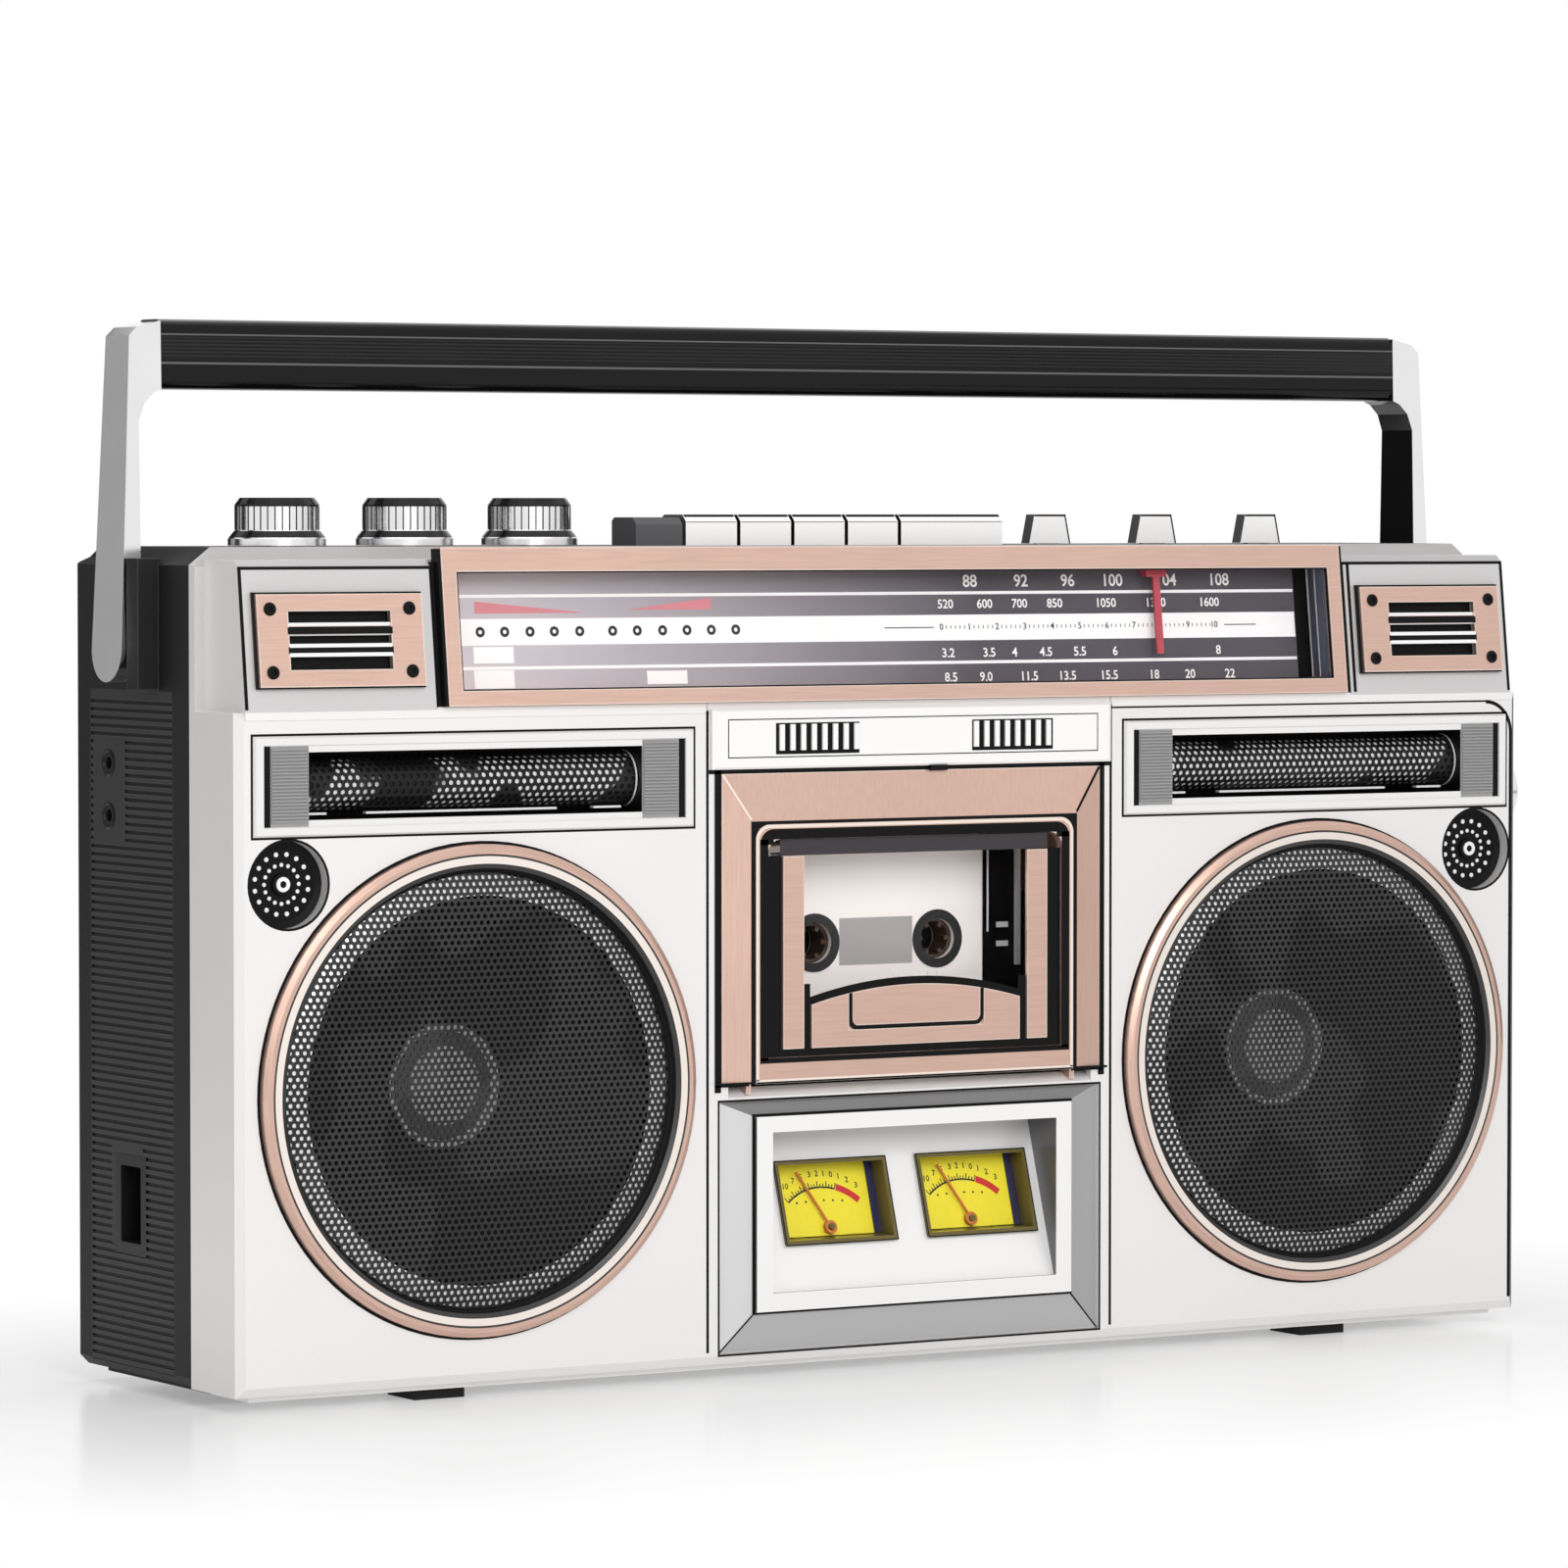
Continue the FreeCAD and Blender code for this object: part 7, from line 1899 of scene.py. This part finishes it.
@dataclass
class MeterPanel(Assembly):
    """Silver panel with two yellow level meters that lean back."""

    middles: Pair = (-22.3, 26.3)
    card_half: float = 17.6
    card_levels: Pair = (31.6, 52.6)
    arc_shift: float = -1.0
    arc_base: float = 27.0
    arc: Pair = (18.1, 18.6)
    red_arc: Pair = (18.0, 19.9)
    arc_ends: tuple[int, int, int] = (48, 74, 128)
    ticks: int = 19
    tick_foot: float = 18.5
    tick_half: float = 0.16
    figure_radius: float = 22.3
    figure_size: float = 1.7
    plate_depth: float = -0.7
    plate_low: float = 17.2
    slope: float = 14.7 / 46.5
    card_behind: float = 5.6
    figures: tuple[tuple[str, float], ...] = (("20", 132.0), ("10", 121.0), ("7", 113.0), ("5", 105.5),
                                              ("3", 97.5), ("2", 91.0), ("1", 85.0), ("0", 78.5),
                                              ("1", 72.0), ("2", 64.5), ("3", 56.0))

    def dress(self) -> None:
        """Dress the panel and its meters."""
        PANEL_SHADE.dress("meter_panel")
        METER_CASE.dress("meter_cases")
        PANE.dress("meter_windows")
        NEEDLE.dress("needle_left", "needle_right")

    def card(self, behind: float) -> Callable[[float], float]:
        """Depth of a layer behind the leaning plate, as a function of the height, in mm."""
        return lambda height: self.plate_depth + (height - self.plate_low) * self.slope + behind

    @staticmethod
    def around(axis: Pair, radius: float, degrees: float) -> Pair:
        """Place at a radius and an angle about an axis."""
        angle = math.radians(degrees)
        return axis[0] + radius * math.cos(angle), axis[1] + radius * math.sin(angle)

    def build(self) -> None:
        """Yellow cards, their scales, red arcs, and dark end strips that are painted shade of the meters'
        inner walls.
        """
        cards, marks, reds, strips, edges = (Pile() for _ in range(5))
        face = self.card(self.card_behind)
        over = self.card(self.card_behind - SKIN)
        start, middle, end = self.arc_ends
        for x in self.middles:
            axis = (x + self.arc_shift, self.arc_base)
            cards.slab((x - self.card_half, x + self.card_half), self.card_levels, face, thick=0.4)
            marks.ring(*axis, *self.arc, over, start=middle, end=end, sides=18)
            for part in range(self.ticks):
                tall = 1.6 if part % 3 == 0 else 0.9
                foot, head = (self.around(axis, radius, middle + 3 * part)
                              for radius in (self.tick_foot, self.tick_foot + tall))
                marks.prism([(end_x + way * self.tick_half, height) for (end_x, height), way in
                             ((foot, -1), (foot, 1), (head, 1), (head, -1))], over)
            for text, degrees in self.figures:
                marks.write(text, *self.around(axis, self.figure_radius, degrees), self.figure_size, over)
            for part in range(6):
                marks.disc(x - 9.5 + 3.1 * part, 41.2 + 0.4 * math.sin(part * 0.6), 0.35, over, sides=8)
            reds.ring(*axis, *self.red_arc, over, start=start, end=middle - 1, sides=10)
            # Painted shade: a dark blue strip at each card's right end stands for the shaded inner wall.
            strips.slab((x + 15.2, x + 17.7), self.card_levels, self.card(self.card_behind - 0.4), thick=0.3)
            edges.frame((x - 18.8, x + 18.8), (30.4, 53.8), self.card(-1.2 - SKIN), 0.35)
        cards.finish("meter_cards", METER_YELLOW, "cabinet", "meter_plastic")
        marks.finish("meter_scales", PRINT_BLACK, "cabinet", "meter_plastic")
        reds.finish("meter_red_arcs", PRINT_RED, "cabinet", "meter_plastic")
        strips.finish("meter_strips", METER_BLUE, "cabinet", "meter_plastic")
        edges.finish("meter_edges", DEEP_BLACK, "cabinet", "meter_plastic")


@dataclass
class Controls(Assembly):
    """Knobs, piano keys and slide switches on the top."""

    knob_x: tuple[float, float, float] = (-184.5, -143.7, -102.9)
    depth: float = 44.0
    top: float = 232.2
    flutes: int = 36
    flute: tuple[float, float, float] = (0.5, 0.34, 6.6)
    flute_radius: float = 11.76
    flute_middle: float = 8.0
    bands: tuple[tuple[Pair, ...], ...] = (
        ((11.4, 11.3), (11.97, 11.3), (11.97, 11.83), (10.55, 13.77), (10.1, 13.77), (10.1, 13.4)),
        ((12.9, 2.6), (13.68, 2.62), (12.2, 4.42), (11.7, 4.36)))
    key_front: float = 36.0
    key_fold: float = 239.2
    key_edge: Pair = (240.5, 241.2)
    fold_width: float = 0.3
    lever_front: float = 41.75
    crown: float = 5.6

    def dress(self) -> None:
        """Dress the controls."""
        KNOB_CHROME.dress("knob_volume", "knob_balance", "knob_tone", "tuning_knob")
        KEY_SILVER.dress("key_rewind", "key_forward", "key_pause", "key_stop")
        LEVER_SILVER.dress("key_play", "lever_function", "lever_band", "lever_mode")
        RECORD_GREY.dress("key_record")

    def build_flutes(self) -> None:
        """Dark flutes and bands round the volume, balance and tone knobs: painted shade in the flutes and
        painted dark reflections in the bands.
        """
        upright = Matrix.Rotation(math.pi / 2, 4, "X")
        for label, x in zip(("volume", "balance", "tone"), self.knob_x):
            pile = Pile()
            flute = block_mesh(*self.flute)
            flute.transform(upright)
            centre = spot(x, self.depth, self.top + self.flute_middle)
            pile.gather(Repeat.grow(Repeat.ring(), flute, GLOSS_BLACK, centre, upright, Count=self.flutes,
                                    Radius=self.flute_radius / 1000))
            for band in self.bands:
                pile.hoop(x, self.depth, [(radius, self.top + height) for radius, height in band])
            pile.finish(f"flutes_{label}", GLOSS_BLACK, f"knob_{label}", "socket_plastic")

    def build_key_lines(self) -> None:
        """Painted shade lines: a dark one along the top edge of each pale key and a grey one along its fold.
        """
        for label in ("play", "rewind", "forward", "pause", "stop"):
            low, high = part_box(f"key_{label}")
            width = (low[0] * 1000 + 0.2, high[0] * 1000 - 0.2)
            pile, fold = Pile(), Pile()
            pile.slab(width, self.key_edge, lambda height: self.key_front + height - self.key_fold - SKIN,
                      0.3)
            fold.slab(width, (self.key_fold - self.fold_width, self.key_fold), self.key_front - SKIN, 0.3)
            pile.finish(f"edge_{label}", DEEP_BLACK, f"key_{label}", "key_silver")
            fold.finish(f"fold_{label}", BLOCK_GREY, f"key_{label}", "key_silver")

    def build_lever_lines(self) -> None:
        """Painted shade line round the face of each slide switch."""
        for label in ("function", "band", "mode"):
            low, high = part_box(f"lever_{label}")
            middle, foot, top = (low[0] + high[0]) * 500, (high[0] - low[0]) * 500, high[2] * 1000 - 7.5
            front = self.lever_front - SKIN
            pile = Pile()
            pile.slab((middle - self.crown, middle + self.crown), (top - 0.6, top), front, 0.3)
            pile.stroke((middle + foot - 0.3, front, self.top + 0.3),
                        (middle + self.crown - 0.3, front, top), 0.4)
            pile.finish(f"edge_{label}", DEEP_BLACK, f"lever_{label}", "key_silver")


@dataclass
class Handle(Assembly):
    """Carrying handle: ribbed gloss grip between two plated arms."""

    def dress(self) -> None:
        """Dress the grip and the arms."""
        GRIP.dress("handle_grip")
        ARM_PLATE.dress("handle_arm_left", "handle_arm_right")


class Lamp(Enum):
    """How the studio's lamps are placed: place, target, size and power."""

    KEY = ((-0.6, -2.6, 1.3), (0.0, 0.0, 0.12), 1.5, 42.0)
    TOP = ((0.0, 0.2, 2.2), (0.0, 0.0, 0.1), 1.8, 8.0)


@dataclass
class Studio(Assembly):
    """Camera, pale floor, soft lamps, white surroundings and dark cards for the metal to mirror."""

    camera_place: Place = (-1.1164, -1.8075, 0.2498)
    yaw: float = 31.375
    pitch: float = 2.183
    lens: float = 164.6
    floor: float = 30.0
    cards: tuple[tuple[Place, Place, float, float], ...] = (
        ((0.93, -1.35, 0.0), (1.7, -0.6, 0.0), 0.14, 0.1),
        ((1.3, -0.45, 0.0), (1.3, 0.6, 0.0), 0.6, 0.01),
        ((-1.0, 0.4, 0.0), (-0.38, 0.62, 0.0), 0.6, 0.36),
        ((-0.38, 0.62, 0.0), (-0.02, 0.62, 0.0), 0.6, 0.01))

    def build(self) -> None:
        """Set up the whole studio."""
        self.add_camera()
        self.add_floor()
        self.add_world()
        self.add_cards()
        for lamp in Lamp:
            self.add_lamp(lamp)
        bpy.context.scene.view_settings.view_transform = "Standard"

    def add_camera(self) -> None:
        """Place the camera."""
        lens = bpy.data.cameras.new("camera")
        lens.lens = self.lens
        lens.sensor_width = 36.0
        lens.clip_end = 100.0
        camera = link("camera", lens)
        camera.location = self.camera_place
        camera.rotation_euler = (math.radians(90 - self.pitch), 0.0, -math.radians(self.yaw))
        bpy.context.scene.camera = camera

    def add_sheet(self, name: str, corners: Sequence[Place]) -> Coat:
        """Stand a flat sheet in the studio, outside the model.

        Args:
            name: its name.
            corners: its corners.

        Returns:
            Its material, ready to be wired.
        """
        mesh = mesh_of(name, corners, [(0, 1, 2, 3)])
        made = bpy.data.materials.new(name)
        mesh.materials.append(made)
        link(name, mesh)
        return Coat(made)

    def add_floor(self) -> None:
        """Lay the floor, which fades to white away from the recorder."""
        corners = [(x * self.floor, y * self.floor, 0.0) for x, y in ((-1, -1), (1, -1), (1, 1), (-1, 1))]
        coat = self.add_sheet("floor", corners)
        place = coat.place()
        grain = coat.noise(place, 30.0, 2.0)
        coat.set(Base_Color=coat.blend(grain, (0.93, 0.93, 0.93), (0.96, 0.96, 0.96)),
                 Roughness=coat.span(grain, 0.0, 1.0, 0.16, 0.22), Specular_IOR_Level=0.12)
        x, y, _ = coat.split(place)
        beside, before = (coat.math("MAXIMUM", coat.math("SUBTRACT", coat.math("ABSOLUTE", way), half), 0.0)
                          for way, half in ((x, 0.22), (y, 0.05)))
        far = coat.vector("LENGTH", coat.join(beside, before, 0.0), output=1)
        coat.mix(coat.span(far, 0.005, 0.2, 0.3, 1.0), coat.add("ShaderNodeEmission", {"Strength": 1.0}))

    def add_cards(self) -> None:
        """Stand dark cards outside the camera's view; only their reflections and shade are seen."""
        for number, (start, end, tall, shade) in enumerate(self.cards):
            up = Vector((0.0, 0.0, tall))
            corners = [Vector(start), Vector(end), Vector(end) + up, Vector(start) + up]
            coat = self.add_sheet(f"card_{number}", corners)
            cloth = coat.noise(coat.place(), 40.0, 2.0)
            coat.set(Base_Color=coat.blend(cloth, (shade,) * 3, (shade * 1.2,) * 3), Roughness=0.9,
                     Specular_IOR_Level=0.0)
            coat.mix(coat.add("ShaderNodeLightPath").outputs["Is Camera Ray"],
                     coat.add("ShaderNodeBsdfTransparent"))

    def add_world(self) -> None:
        """White to the eye and in reflections, softer as a light."""
        world = bpy.data.worlds.new("studio")
        world.use_nodes = True
        bpy.context.scene.world = world
        graph = Graph(world.node_tree)
        back = world.node_tree.nodes["Background"]
        path = graph.add("ShaderNodeLightPath")
        seen = graph.math("MAXIMUM", path.outputs["Is Camera Ray"], path.outputs["Is Glossy Ray"])
        seen = graph.math("MAXIMUM", seen, path.outputs["Is Transmission Ray"])
        graph.feed(back.inputs["Color"], (1.0, 1.0, 1.0, 1.0))
        graph.feed(back.inputs["Strength"], graph.math("MULTIPLY_ADD", seen, 0.5, 0.5))

    def add_lamp(self, lamp: Lamp) -> None:
        """Place one soft lamp.

        Args:
            lamp: its setting.
        """
        place, target, size, power = lamp.value
        data = bpy.data.lights.new(lamp.name.lower(), "AREA")
        data.size = size
        data.energy = power
        item = link(lamp.name.lower(), data)
        item.location = place
        item.rotation_euler = (Vector(target) - Vector(place)).to_track_quat("-Z", "Y").to_euler()


def main() -> None:
    """Build the studio and every piece in order, and report each."""
    logging.basicConfig(level=logging.INFO, format="%(name)s: %(message)s")
    for assembly in (Studio(), Cabinet(), Seams(), Tuner(), CornerPlates(), TitleStrip(), Speakers(), Horns(),
                     Microphones(), CassetteDoor(), MeterPanel(), Controls(), Handle()):
        assembly.make()
        log.info("%s done", type(assembly).__name__)


if __name__ == "__main__":
    main()
